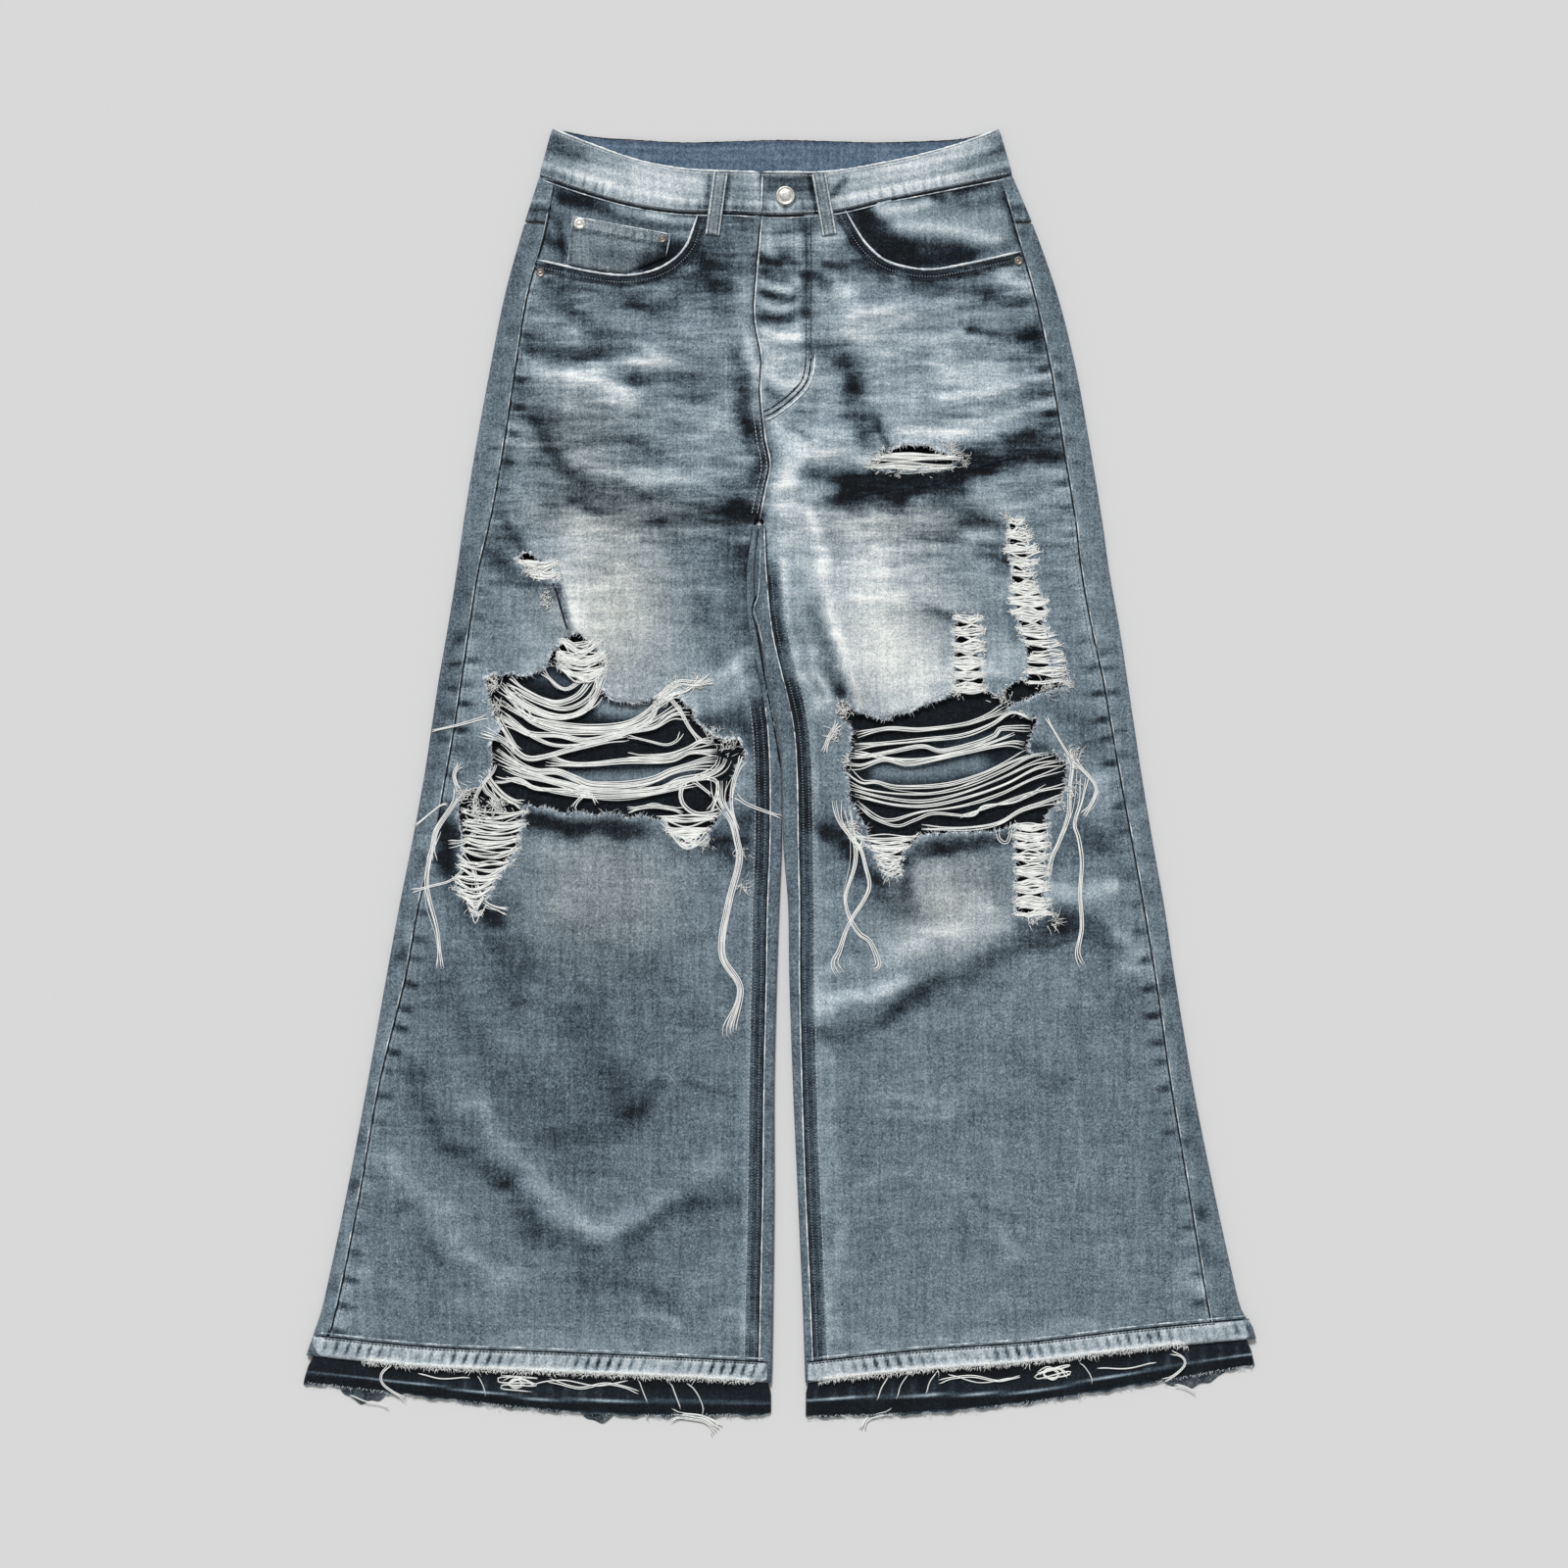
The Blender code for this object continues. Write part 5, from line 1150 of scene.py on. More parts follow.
for leg in LEGS:
    y, x, z = back_rows(leg)
    rows = sit_rows(leg, x, y)
    tone, hollow, far, shown = strip_wash_and_shade(leg, x, rows, z)
    z = z + np.where(shown, (0.35 - 0.8 * hollow) * bell(far, 8)
                     - 0.6 * bell(far, 1.6), 0.0).reshape(z.shape)
    points = places(x, rows, z)
    faces = net_faces(*x.shape, flip=leg.way < 0)
    iy = y[y < CROTCH - 1.5]
    ix, iz = wrap(leg, iy, "inner", "seam", -leg.way)
    irows = iy[:, None] + (leg.hem("worn", ix) + 500) * (1 - step((iy[:, None] + 500) / 60))
    start = len(points)
    points = np.vstack([points, places(ix, irows, iz)])
    faces += net_faces(*ix.shape, flip=leg.way > 0, start=start)
    tone = np.concatenate([tone, 0.40 + 0.03 * np.sin(irows.ravel() / 7.0)])
    values = {"tone": np.clip(tone, 0.05, 0.9), "warm": 0.0, "inner": rip_shade(points)}
    made = piece(f"back_panel_{leg.name}", points, faces, [washed, inner], values, SHEET_WALL)
    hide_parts(f"back_{leg.name}", f"outer_fold_{leg.name}", f"inner_fold_{leg.name}")
    print(made.name, len(points), "points,", round(area_of(points, faces), 4), "square metres")

# %% [markdown]
# ## Tubes of thread and worn edges
# A thread, a frayed hair, a piped edge and the white line of a worn fold are all thin round things
# along a line. One function sweeps a small ring along any number of lines into one mesh.

# %% Tubes along lines
def tubes(name, lines, radii, material, sides=5, tone=None):
    """One mesh of tubes: a radius, and a tone where wanted, for each line or each of its points."""
    ring = np.arange(sides) * 2 * math.pi / sides
    points, faces, tones = [], [], []
    start = 0
    for n, line in enumerate(lines):
        ahead = ahead_of(line)
        up = np.tile([0.0, 0.0, 1.0], (len(line), 1))
        up[np.abs(ahead[:, 2]) > 0.95] = [0.0, 1.0, 0.0]
        side = np.cross(ahead, up)
        side /= np.linalg.norm(side, axis=1, keepdims=True)
        up = np.cross(side, ahead)
        radius = np.broadcast_to(np.asarray(radii[n], float), len(line))[:, None, None]
        around = (side[:, None] * np.cos(ring)[None, :, None]
                  + up[:, None] * np.sin(ring)[None, :, None])
        points.append((line[:, None] + around * radius).reshape(-1, 3))
        for r in range(len(line) - 1):
            for c in range(sides):
                a, b = start + r * sides + c, start + r * sides + (c + 1) % sides
                faces.append((a, b, b + sides, a + sides))
        faces.append(tuple(range(start + sides - 1, start - 1, -1)))
        last = start + (len(line) - 1) * sides
        faces.append(tuple(range(last, last + sides)))
        shade = 0.85 if tone is None else tone[n]
        tones.append(np.repeat(np.broadcast_to(np.asarray(shade, float), len(line)), sides))
        start += len(line) * sides
    made = piece(name, np.concatenate(points), faces, [material], {"tone": np.concatenate(tones)})
    return made


def mottled(line, level, spread, pitch, seed):
    """A tone along a line that breaks up as worn indigo does."""
    run = np.arange(len(line)) / pitch
    wave = np.sin(run + seed) + 0.7 * np.sin(run * 2.3 + seed * 1.7) + 0.5 * np.sin(run * 5.1 + seed)
    return np.clip(level + spread * wave / 1.5, 0.03, 0.99)


# %% [markdown]
# ## White weft thread and sewing thread
# Where the indigo warp is gone only the undyed weft is left: soft, off white, with the twist of its
# fibres as fine slanted lines. The sewing thread of the seams is darker, faded with the cloth.

# %% Thread materials
def thread(name, light, dark):
    """A twisted yarn: light fibres with darker lines between them."""
    material, shader, place = start_material(name, 0.85)
    shader.inputs["Specular IOR Level"].default_value = 0.15
    fibre = place.noise(1.6, 3.0, 0.7)
    cloud = place.noise(0.12, 2.0, 0.5)
    share = (fibre * 0.45 + cloud * 0.35 + 0.55).clamp()
    link(share.mix(dark, light), shader, "Base Color")
    bump(shader, fibre * 0.2, 0.3)
    return material


weft = thread("white_thread_fine", linear(254, 254, 250), linear(214, 218, 217))
fuzz = thread("weft_fuzz", linear(246, 248, 248), linear(168, 183, 194))
sewing_dark = thread("sewing_thread_dark", linear(72, 84, 92), linear(30, 38, 46))
sewing_light = thread("sewing_thread_light", linear(226, 229, 227), linear(150, 160, 166))
overlock = thread("overlock_thread", linear(150, 165, 176), linear(74, 88, 99))
print("thread materials made")


# %% Height of the upper cloth
def on_front(line, lift=0.0):
    """A line of table points laid on the upper cloth, a little above it."""
    line = np.asarray(line, float)[:, :2]
    return raised(line, LEG_HEIGHT + forms(line) + lift + creases(line))


# %% [markdown]
# ## Yokes
# A yoke shapes the seat above each back panel. It lies underneath, and only its end at the side shows,
# turned up round the fold, with one seam line and a pucker below the waistband.

# %% Yokes
def yoke_rows(leg):
    """Rows of a yoke from its seam up to the waistband."""
    t = np.linspace(0, 1, 12)
    y = YOKE_SIDE + (500 - YOKE_SIDE) * t
    inner = leg.line("inner", y) + leg.way * FOLD_SHIFT
    x, z = underside(y, *wrap(leg, y, "outer", "side", leg.way), inner)
    low, high = yoke_line(x) + GAP, through(WAISTLINE, "back_low", x) - GAP
    return x, low + (high - low) * t[:, None], z


for leg in LEGS:
    x, rows, z = yoke_rows(leg)
    points = places(x, rows, z)
    t = np.repeat(np.linspace(0, 1, len(x)), x.shape[1])
    shown = points[:, 2] > LEG_HEIGHT / 2
    pucker = np.sin(points[:, 0] * 0.9 + 1.0) * bell(t, 0.35)
    tone = 0.44 + np.where(shown, 0.08 * pucker - 0.26 * bell(t - 0.30, 0.10)
                           + 0.16 * bell(t - 0.42, 0.10), 0.0)
    values = {"tone": tone, "warm": 0.0, "inner": 0.36}
    made = piece(f"yoke_panel_{leg.name}", points, net_faces(*x.shape, flip=leg.way < 0),
                 [washed, inner], values, SHEET_WALL)
    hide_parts(f"yoke_{leg.name}")
    print(made.name, len(points), "points")

# %% [markdown]
# ## Waistband
# The band is one folded strip: from the button end on the right, round the back, to the buttonhole
# end on the left, which laps over it. Its inside stays blue, because no sun and no brush reach it.

# %% Waistband
BAND_WALL, BAND_RISE, BAND_DROP = 2.2, 2.3, 0.2
BAND_ENDS = (14.0, -16.0)               # the underlap's end and the overlap's end
BAND_FOLDS = (-199.0, 191.0)
BAND_ROWS = 15
# Painted shade among the band's strokes: dark lines beside the front belt loops and along the overlap's edge,
# and dark patches round the button under the band's edge; the other strokes vary the wash.
BAND_STROKES = strokes(
    (-165,509, -110,497, -66,491, 8, 13), (-12,500, 6,497, 26,500, 6, -34),
    (-10,491, 8,489, 28,489, 5, -30), (-43,502, -45,486, -48,470, 2.4, -34),
    (24,503, 27,486, 31,470, 2.4, -30), (-59,500, -61,486, -63,470, 2.2, -26),
    (-16,503, -15.5,488, -15,472, 1.6, -34), (-185,528, -160,516, -130,508, 9, -16),
    (-145,476, -130,472, -110,468, 5, 12), (176,532, 186,528, 196,524, 6, -14),
    (-74,480, -64,478, -54,476, 6, -10), (-11,484, -9,479, -6,474, 5, -14),
    (12,479, 22,476, 34,474, 7, -20), (42,484, 48,490, 54,497, 3, -30), (-36,500, -34,486, -33,472, 9, -14),
    (-62,500, -60,488, -60,474, 5, -10), (-120,492, -95,484, -66,480, 4, 10),
    (-190,512, -165,500, -140,492, 5, 12), (-196,530, -180,522, -165,514, 7, -12),
    (90,506, 130,512, 180,530, 6, 10), (60,482, 110,490, 150,498, 4, 12),
    (150,506, 168,514, 186,522, 4, -12), (-6,474, 0,471, 12,472, 5, 10),
)


def band_x(x):
    return BAND_MIDDLE + (x - BAND_MIDDLE) * BAND_TAPER


def band_stations():
    """Along the strip: place, height, outward direction and share of the back for each station."""
    rows, radius = [], BAND_HEIGHT / 2

    def turn(x, way, shares):
        for share in shares:
            s, c = math.sin(math.pi * share), math.cos(math.pi * share)
            rows.append((x + way * radius * s, radius * (1 + c), way * s, c, share))

    for x in np.arange(BAND_ENDS[0], BAND_FOLDS[0], -2.0):
        rows.append((x, BAND_HEIGHT - BAND_DROP * step((x + 22) / 8), 0.0, 1.0, 0.0))
    turn(BAND_FOLDS[0], -1, np.arange(9) / 8)
    for x in np.arange(BAND_FOLDS[0] + 2.5, BAND_FOLDS[1] - 1, 2.5):
        rows.append((x, 1.9 * step((152 - abs(x - BAND_MIDDLE)) / 26), 0.0, -1.0, 1.0))
    turn(BAND_FOLDS[1], 1, np.arange(8, -1, -1) / 8)
    for x in np.arange(BAND_FOLDS[1] - 2.0, BAND_ENDS[1] - 0.1, -2.0):
        rows.append((x, BAND_HEIGHT + BAND_RISE * step((25 - x) / 9), 0.0, 1.0, 0.0))
    return np.array(rows)


rows = band_stations()
x0, z0, out_x, out_z, back = (rows[:, n:n + 1] for n in range(5))
v = np.linspace(0, 1, BAND_ROWS)[None, :]
low = through(WAISTLINE, "seam", x0) * (1 - back) + through(WAISTLINE, "back_low", x0) * back + GAP
high = through(WAISTLINE, "top", x0) * (1 - back) + through(WAISTLINE, "back_top", x0) * back
x, y = x0 + (band_x(x0) - x0) * v, low + (high - low) * v
flat = places(x, y)
steps = np.hypot(np.gradient(rows[:, 0]), np.gradient(rows[:, 1]))
run = np.repeat(np.cumsum(steps), BAND_ROWS)
V = np.tile(v.ravel(), len(rows))
hollow = roping(run, 9.0, 5.0)
crown = -0.7 * (bell(V, 0.05) + bell(1 - V, 0.05))
ripple = -0.45 * hollow * bell(V - 0.13, 0.12) + 0.25 * np.sin(run / 17.0) * V
offset = (crown + ripple).reshape(x.shape)
points = places(x + out_x * offset, y, z0 + out_z * offset)
streaks = 0.05 * np.sin(V * 27 + 1.5 * np.sin(run / 31.0)) + 0.04 * np.sin(run / 23.0 + 2.0)
front = np.repeat(out_z.ravel() > 0, BAND_ROWS)
tone = 0.64 + streaks + 0.05 * step((V - 0.5) * 3) - 0.26 * hollow * bell(V - 0.13, 0.11)
tone += 0.16 * (1 - hollow) * bell(V - 0.26, 0.08) - 0.16 * bell(V, 0.045)
tone += np.where(front, laid_strokes(flat, BAND_STROKES, "tone"), 0)
tone -= 0.14 * step((np.abs(flat[:, 0] - BAND_MIDDLE) - 150) / 45)
values = {"tone": np.clip(tone, 0.04, 0.95), "warm": 0.1,
          "inner": 0.43 + 0.03 * np.sin(V * 31) - 0.10 * bell(1 - V, 0.05)}
faces = net_faces(len(rows), BAND_ROWS)
band = piece("waistband_strip", points, faces, [washed, inner_blue], values, BAND_WALL)
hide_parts("waistband")
print("waistband", len(rows), "stations,", round(area_of(points, faces), 4), "square metres")

# %% [markdown]
# ## Inside the pocket openings
# A curved piece of denim closes each front pocket behind its opening, tucked a finger's width under
# the panel. The right one carries the coin pocket. Cloth that sags into an opening is in shade, so
# the pocket tables hold deep tones of painted shade, with a few painted highlights on its ridges;
# the coin pocket takes the right table's tones too.

# %% Pocket facings and coin pocket
POCKET_RIGHT = strokes(
    (-180,482, -160,476, -145,472, 6, -26, -10), (-140,466, -112,459, -76,456, 3, -18, -8),
    (-142,476, -120,470, -100,466, 5, 16, 4), (-186,486, -178,480, -160,478, 5, -22, -5),
    (-94,440, -100,430, -112,424, 8, -40, -6), (-80,446, -88,436, -98,428, 5, -24, -5),
    (-84,452, -76,449, -68,450, 4, 22, 4), (-110,468, -90,463, -74,464, 3, 24, 5),
    (-196,448, -190,444, -184,442, 5, -26, -4), (-156,438, -135,434, -112,434, 7, -16),
    (-198,470, -190,466, -182,462, 5, -12), (-186,460, -182,440, -182,430, 3, -22),
    (-160,440, -140,444, -125,440, 7, 10, 4),
)
POCKET_LEFT = strokes(
    (66,466, 80,444, 102,432, 11, -46, -16), (90,434, 125,429, 158,433, 7, -46, -16),
    (160,436, 180,440, 198,443, 4, -16, -8), (72,470, 77,466, 84,460, 5, -24, -8),
    (88,448, 120,442, 150,440, 6, -32, -10), (84,470, 110,474, 140,484, 5, 28, 8),
    (100,458, 135,456, 180,446, 6, 26, 12), (130,482, 150,488, 175,496, 5, -36, -8),
    (110,480, 124,484, 138,480, 4, -20, -4), (150,462, 170,466, 190,470, 8, 6, 3),
    (188,490, 192,470, 199,450, 4, -28), (64,478, 78,477, 94,482, 5, 24, 5),
    (150,478, 165,476, 184,480, 6, -14), (60,470, 66,474, 80,478, 3, 20, 4),
)


def pocket_edge(leg):
    """A pocket opening from the waist to the side seam."""
    edge = bend(SCOOPS[leg.name], 6)
    edge[0, 1] = through(WAISTLINE, "seam", edge[0, 0]) - GAP
    return even(edge, 3.0)


FACING_TUCK, FACING_RISE = 11.0, 14.0
COIN_TOP = LEG_HEIGHT + DENIM + GAP
COIN_OUTLINE = even(closed(COIN_POCKET), 3.0)[:-1]
for leg, shades in zip(LEGS, (POCKET_RIGHT, POCKET_LEFT)):
    edge = pocket_edge(leg)
    tucked = shifted(edge, -leg.way * FACING_TUCK)
    tucked[:, 1] = np.minimum(tucked[:, 1], through(WAISTLINE, "seam", tucked[:, 0]) - GAP)
    tucked = tucked[tucked[:, 0] * leg.way < leg.line("side", tucked[:, 1]) * leg.way - 1.0]
    side = leg.seam("side", edge[-1, 1] - FACING_TUCK, 493, shift=-leg.way * GAP / 2)
    x = np.linspace(side[-1, 0], tucked[0, 0], 50)
    top = places(x, through(WAISTLINE, "seam", x) - GAP)
    flat, faces = cut(np.vstack([tucked, side, top[1:-1]]), [], 3.4)
    opening = np.vstack([edge, side[side[:, 1] > edge[-1, 1]], top])
    far, _, _ = nearest(flat, edge)
    depth = np.where(inside(flat, opening), far, 0.0)
    z = LEG_HEIGHT - DENIM - GAP + (DENIM + GAP) * np.clip(depth / FACING_RISE, 0, 1)
    z += np.clip(laid_strokes(flat, shades, "relief"), -1.2, 1.6) * step(depth / 12)
    base = 0.44 if leg.way < 0 else 0.50
    shade = 0.16 * bell(flat[:, 1] - through(WAISTLINE, "seam", flat[:, 0]), 4)
    tone = np.clip(base + laid_strokes(flat, shades, "tone") - shade, 0.03, 0.9)
    values = {"tone": tone, "warm": 0.0, "inner": 0.4}
    made = piece(f"pocket_facing_cloth_{leg.name}", raised(flat, z), faces, [washed, inner],
                 values, SHEET_WALL)
    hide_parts(f"pocket_facing_{leg.name}")
    if leg.way > 0:
        continue
    flat, faces = cut(COIN_OUTLINE, [], 2.6)
    far, _, _ = nearest(flat, edge)
    z = LEG_HEIGHT + (DENIM + GAP) * np.clip(far / FACING_RISE, 0, 1)
    far, along, _ = nearest(flat, even(COIN_POCKET[:2], 3.0))
    blots = roping(along, 9.0, 3.0)
    tone = 0.47 + laid_strokes(flat, shades, "tone") * 0.8
    tone += np.where(far < 9, 0.10 - 0.30 * blots * bell(far - 5, 3), 0.0)
    tone -= 0.20 * bell(far - 10.5, 1.2)
    border, _, _ = nearest(flat, closed(COIN_OUTLINE))
    z += 0.4 * step(border / 2) - 0.3 * bell(far - 10.0, 1.2)
    values = {"tone": np.clip(tone, 0.05, 0.9), "warm": 0.3, "inner": 0.4}
    coin = piece("coin_pocket_cloth", raised(flat, z), faces, [washed, inner], values, SHEET_WALL)
    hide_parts("coin_pocket")
print("pocket facings and coin pocket")

# %% [markdown]
# ## Fly facing and back pockets
# Both are hidden here: the facing behind the fly, and two plain patch pockets under the seat.

# %% Fly facing and back pockets
FLY_ROUND = 30                          # radius of the rounded foot
y = np.linspace(FLY_BOTTOM, 464, 30)
left_edge = through(CENTRE_FRONT, "x", y) + GAP
foot_share = (1 - (y - FLY_BOTTOM) / FLY_ROUND).clip(0, 1)
right_edge = FLY_WIDTH - FLY_ROUND * (1 - np.sqrt(np.clip(1 - foot_share ** 2, 0, 1)))
x = left_edge[:, None] + (right_edge - left_edge)[:, None] * np.linspace(0, 1, 8)
plain = {"tone": 0.5, "warm": 0.0, "inner": 0.4}
made = piece("fly_facing_cloth", places(x, y[:, None], LEG_HEIGHT), net_faces(len(y), 8),
             [washed, inner], plain, DENIM)
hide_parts("fly_facing")
for leg in LEGS:
    middle, half, low_half, top, shoulder, foot = BACK_POCKET
    middle = BAND_MIDDLE + leg.way * middle
    outline = line_of(middle - half, top, middle - low_half, shoulder, middle, foot,
                      middle + low_half, shoulder, middle + half, top)
    flat, faces = cut(outline, [], 7.0)
    border, _, _ = nearest(flat, closed(outline))
    tone = 0.46 + 0.12 * bell(border, 3) - 0.14 * bell(border - 9, 3)
    values = {"tone": tone, "warm": 0.0, "inner": 0.4}
    made = piece(f"back_pocket_patch_{leg.name}", raised(flat, 0.0), faces[:, ::-1],
                 [washed, inner], values, DENIM)
    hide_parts(f"back_pocket_{leg.name}")
print("fly facing and back pockets")

# %% [markdown]
# ## Belt loops
# A loop is a strip folded in three and stitched along both edges. The two at the front run from the
# top of the band down over its seam, with a bar tack at each end. The other three lie underneath.

# %% Belt loops
LOOP_WIDTH, LOOP_WALL = 12.5, 1.6
LOOP_FIELDS = "name x_top y_top x_low y_low"
FRONT_LOOPS = table(
    LOOP_FIELDS,
    ("belt_loop_front_right", -50, 503, -57, 451), ("belt_loop_front_left", 32, 502, 41, 451),
)
BACK_LOOPS = table(
    LOOP_FIELDS,
    ("belt_loop_back_right", -105, 527, -105, 486), ("belt_loop_back_centre", -4, 527, -4, 486),
    ("belt_loop_back_left", 97, 527, 97, 486),
)
LOOP_COLUMNS = 13


def loop_axes(loop):
    """Where a loop starts, how far it runs and the way across it."""
    along = np.array([loop.x_low - loop.x_top, loop.y_low - loop.y_top], float)
    across = np.array([-along[1], along[0]]) / np.linalg.norm(along)
    return np.array([loop.x_top, loop.y_top]), along, across


def loop_drop(t):
    """How far a front loop sinks from the band to the panel along its length."""
    return step((t - 0.62) / 0.22) * (BAND_HEIGHT - LEG_HEIGHT) - 0.9 * bell(t - 0.66, 0.1)


for loop in FRONT_LOOPS + BACK_LOOPS:
    front = loop in FRONT_LOOPS
    t = np.linspace(0, 1, 44 if front else 20)
    c = np.linspace(-1, 1, LOOP_COLUMNS)
    first, along, across = loop_axes(loop)
    across = across * LOOP_WIDTH / 2
    flat = (first + t[:, None, None] * along + c[None, :, None] * across).reshape(-1, 2)
    t, c = places(t[:, None], c).T
    off, length = np.abs(c), np.linalg.norm(along)
    crown = 0.35 * (1 - c ** 2) - 0.3 * bell(off - 0.62, 0.1) - 0.5 * off ** 12
    tack = bell(t * length - 3.0, 2) + bell((1 - t) * length - 3.0, 2)
    if front:
        z = BAND_HEIGHT + GAP + LOOP_WALL - loop_drop(t) + crown - 0.5 * tack
    else:
        z = 0.08 - crown * 0.2
    # Painted shade: the dark line at each long edge of a loop stands for the shadow along its sides.
    tone = (0.58 + 0.24 * bell(off - 0.86, 0.12) - 0.20 * bell(off - 0.58, 0.10)
            - 0.14 * bell(c, 0.3) - 0.30 * bell(1 - off, 0.05) + 0.10 * tack
            + 0.05 * noise(flat, 9, 8, 21))
    values = {"tone": np.clip(tone, 0.1, 0.95), "warm": 0.35, "inner": 0.4}
    faces = net_faces(len(flat) // LOOP_COLUMNS, LOOP_COLUMNS, flip=front)
    made = piece(loop.name + "_strip", raised(flat, z), faces, [washed, inner], values, LOOP_WALL)
    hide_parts(loop.name)
print(len(FRONT_LOOPS + BACK_LOOPS), "belt loops")

# %% [markdown]
# ## Hems
# Each hem was let down: the old fold has worn through along most of its length, and the cloth that
# used to be inside it, still deep indigo, hangs below with the old crease as a pale line and a raw
# edge. Above the worn fold the hem keeps its stitch line and its ropes.

# %% The old hem fold
HEM_ROWS = 9
SLITS = table(
    "leg x_low x_high",
    ("right", -350, -22), ("left", 32, 340),
)


def slit_share(leg, x):
    """1 where the old fold has worn through, 0 where it still holds."""
    slit = next(s for s in SLITS if s.leg == leg.name)
    return step((x - slit.x_low) / 8) * step((slit.x_high - x) / 8)


for leg in LEGS:
    ends = sorted((leg.line("outer", -490) - leg.way * 3.0, leg.line("inner", -500) + leg.way * 2.5))
    x = np.arange(ends[0], ends[1], 1.8)
    v = np.linspace(0, 1, HEM_ROWS)[:, None]
    y = leg.hem("worn", x)[None, :] + HEM_STITCH * (1 - v) + 0.5
    flat = places(x, y)
    V = np.repeat(v.ravel(), len(x))
    far_in = np.minimum(flat[:, 0] - ends[0], ends[1] - flat[:, 0])
    slanted = flat[:, 0] + leg.way * 0.35 * flat[:, 1]
    hollow = roping(slanted, 10.2, 1.5 * leg.way + 2) * (0.35 + 0.65 * step(far_in / 45))
    body = np.sin(np.pi * np.clip(V, 0.02, 0.98)) ** 0.5
    z = on_front(flat)[:, 2] + 0.25 + 0.75 * body - 0.6 * hollow * body
    z = np.where(far_in < 11, z - 0.9 * (1 - far_in / 11), z)
    worn = slit_share(leg, flat[:, 0])
    ticks = np.clip(1.9 * np.sin(2 * np.pi * slanted / 9.4 + np.sin(slanted / 23)) - 0.7, 0, 1)
    ticks *= 0.75 + 0.5 * np.sin(slanted / 17)
    tone = 0.70 - (0.16 * hollow + 0.42 * ticks) * bell(V - 0.44, 0.32)
    tone += 0.42 * worn * step((V - 0.72) / 0.10) - 0.34 * bell(V, 0.06)
    tone += 0.14 * bell(V - 0.16, 0.06) + 0.06 * noise(flat, 12, 6, 19)
    values = {"tone": np.clip(tone, 0.05, 0.95), "warm": 0.15, "inner": 0.3}
    made = piece(f"hem_fold_{leg.name}", raised(flat, z), net_faces(HEM_ROWS, len(x), flip=True),
                 [washed, inner], values, 1.0)
    print(made.name, len(flat), "points")

# %% The let-down bands
BAND_COLUMNS = 116                      # points across one side of a let-down band
CREASE_PART = {"right": (0.62, 0.60, 0.72, 0.62, 0.63), "left": (0.60, 0.63, 0.73, 0.58, 0.50)}
TUCKED = LEG_HEIGHT - 2 * (DENIM + GAP)
BAND_LEVELS = ([-10.0, 1.5, 9.0, 22.0], [TUCKED, TUCKED, 3.4, 3.0],
               [DENIM + GAP, DENIM + GAP, 0.0, 0.0])    # below the worn edge: height and floor


def band_ring(leg):
    """Rows of the let-down band, each a flat ring: outer end, front, inner end, back."""
    rows, marks = [], []
    for n, v in enumerate([-0.30, -0.12, *np.linspace(0, 1, 15) ** 0.95]):
        across = np.linspace(leg.line("outer", -500), leg.line("inner", -505), BAND_COLUMNS)
        worn, raw = leg.hem("worn", across), leg.hem("raw", across)
        below = (worn - raw) * v
        height = np.interp(below, BAND_LEVELS[0], BAND_LEVELS[1])
        floor = np.interp(below, BAND_LEVELS[0], BAND_LEVELS[2])
        y = worn - below
        tuck = (DENIM + 2 * GAP) * floor / (DENIM + GAP)
        low_out, low_in = leg.line("outer", y[0]), leg.line("inner", y[-1])
        across = np.linspace(low_out - leg.way * (tuck[0] + height[0] / 2),
                             low_in + leg.way * (tuck[-1] + height[-1] / 2), BAND_COLUMNS)
        y = y + (0.9 * np.sin(across / 5.3 + n) + 0.7 * np.sin(across / 2.1)) * (v > 0.98)
        sag = 0.35 * np.sin(across / 23.0 + 2 * v) * np.clip(v, 0, 1)
        top = places(across, y, floor + height + sag)
        low = places(across, y, floor)[::-1]
        ends = [(low_in + leg.way * tuck[-1], y[-1], floor[-1] + height[-1] / 2),
                (low_out - leg.way * tuck[0], y[0], floor[0] + height[0] / 2)]
        rows.append(np.vstack([top, [ends[0]], low, [ends[1]]]))
        marks.append(np.full(len(rows[-1]), v))
    return np.array(rows), np.array(marks)


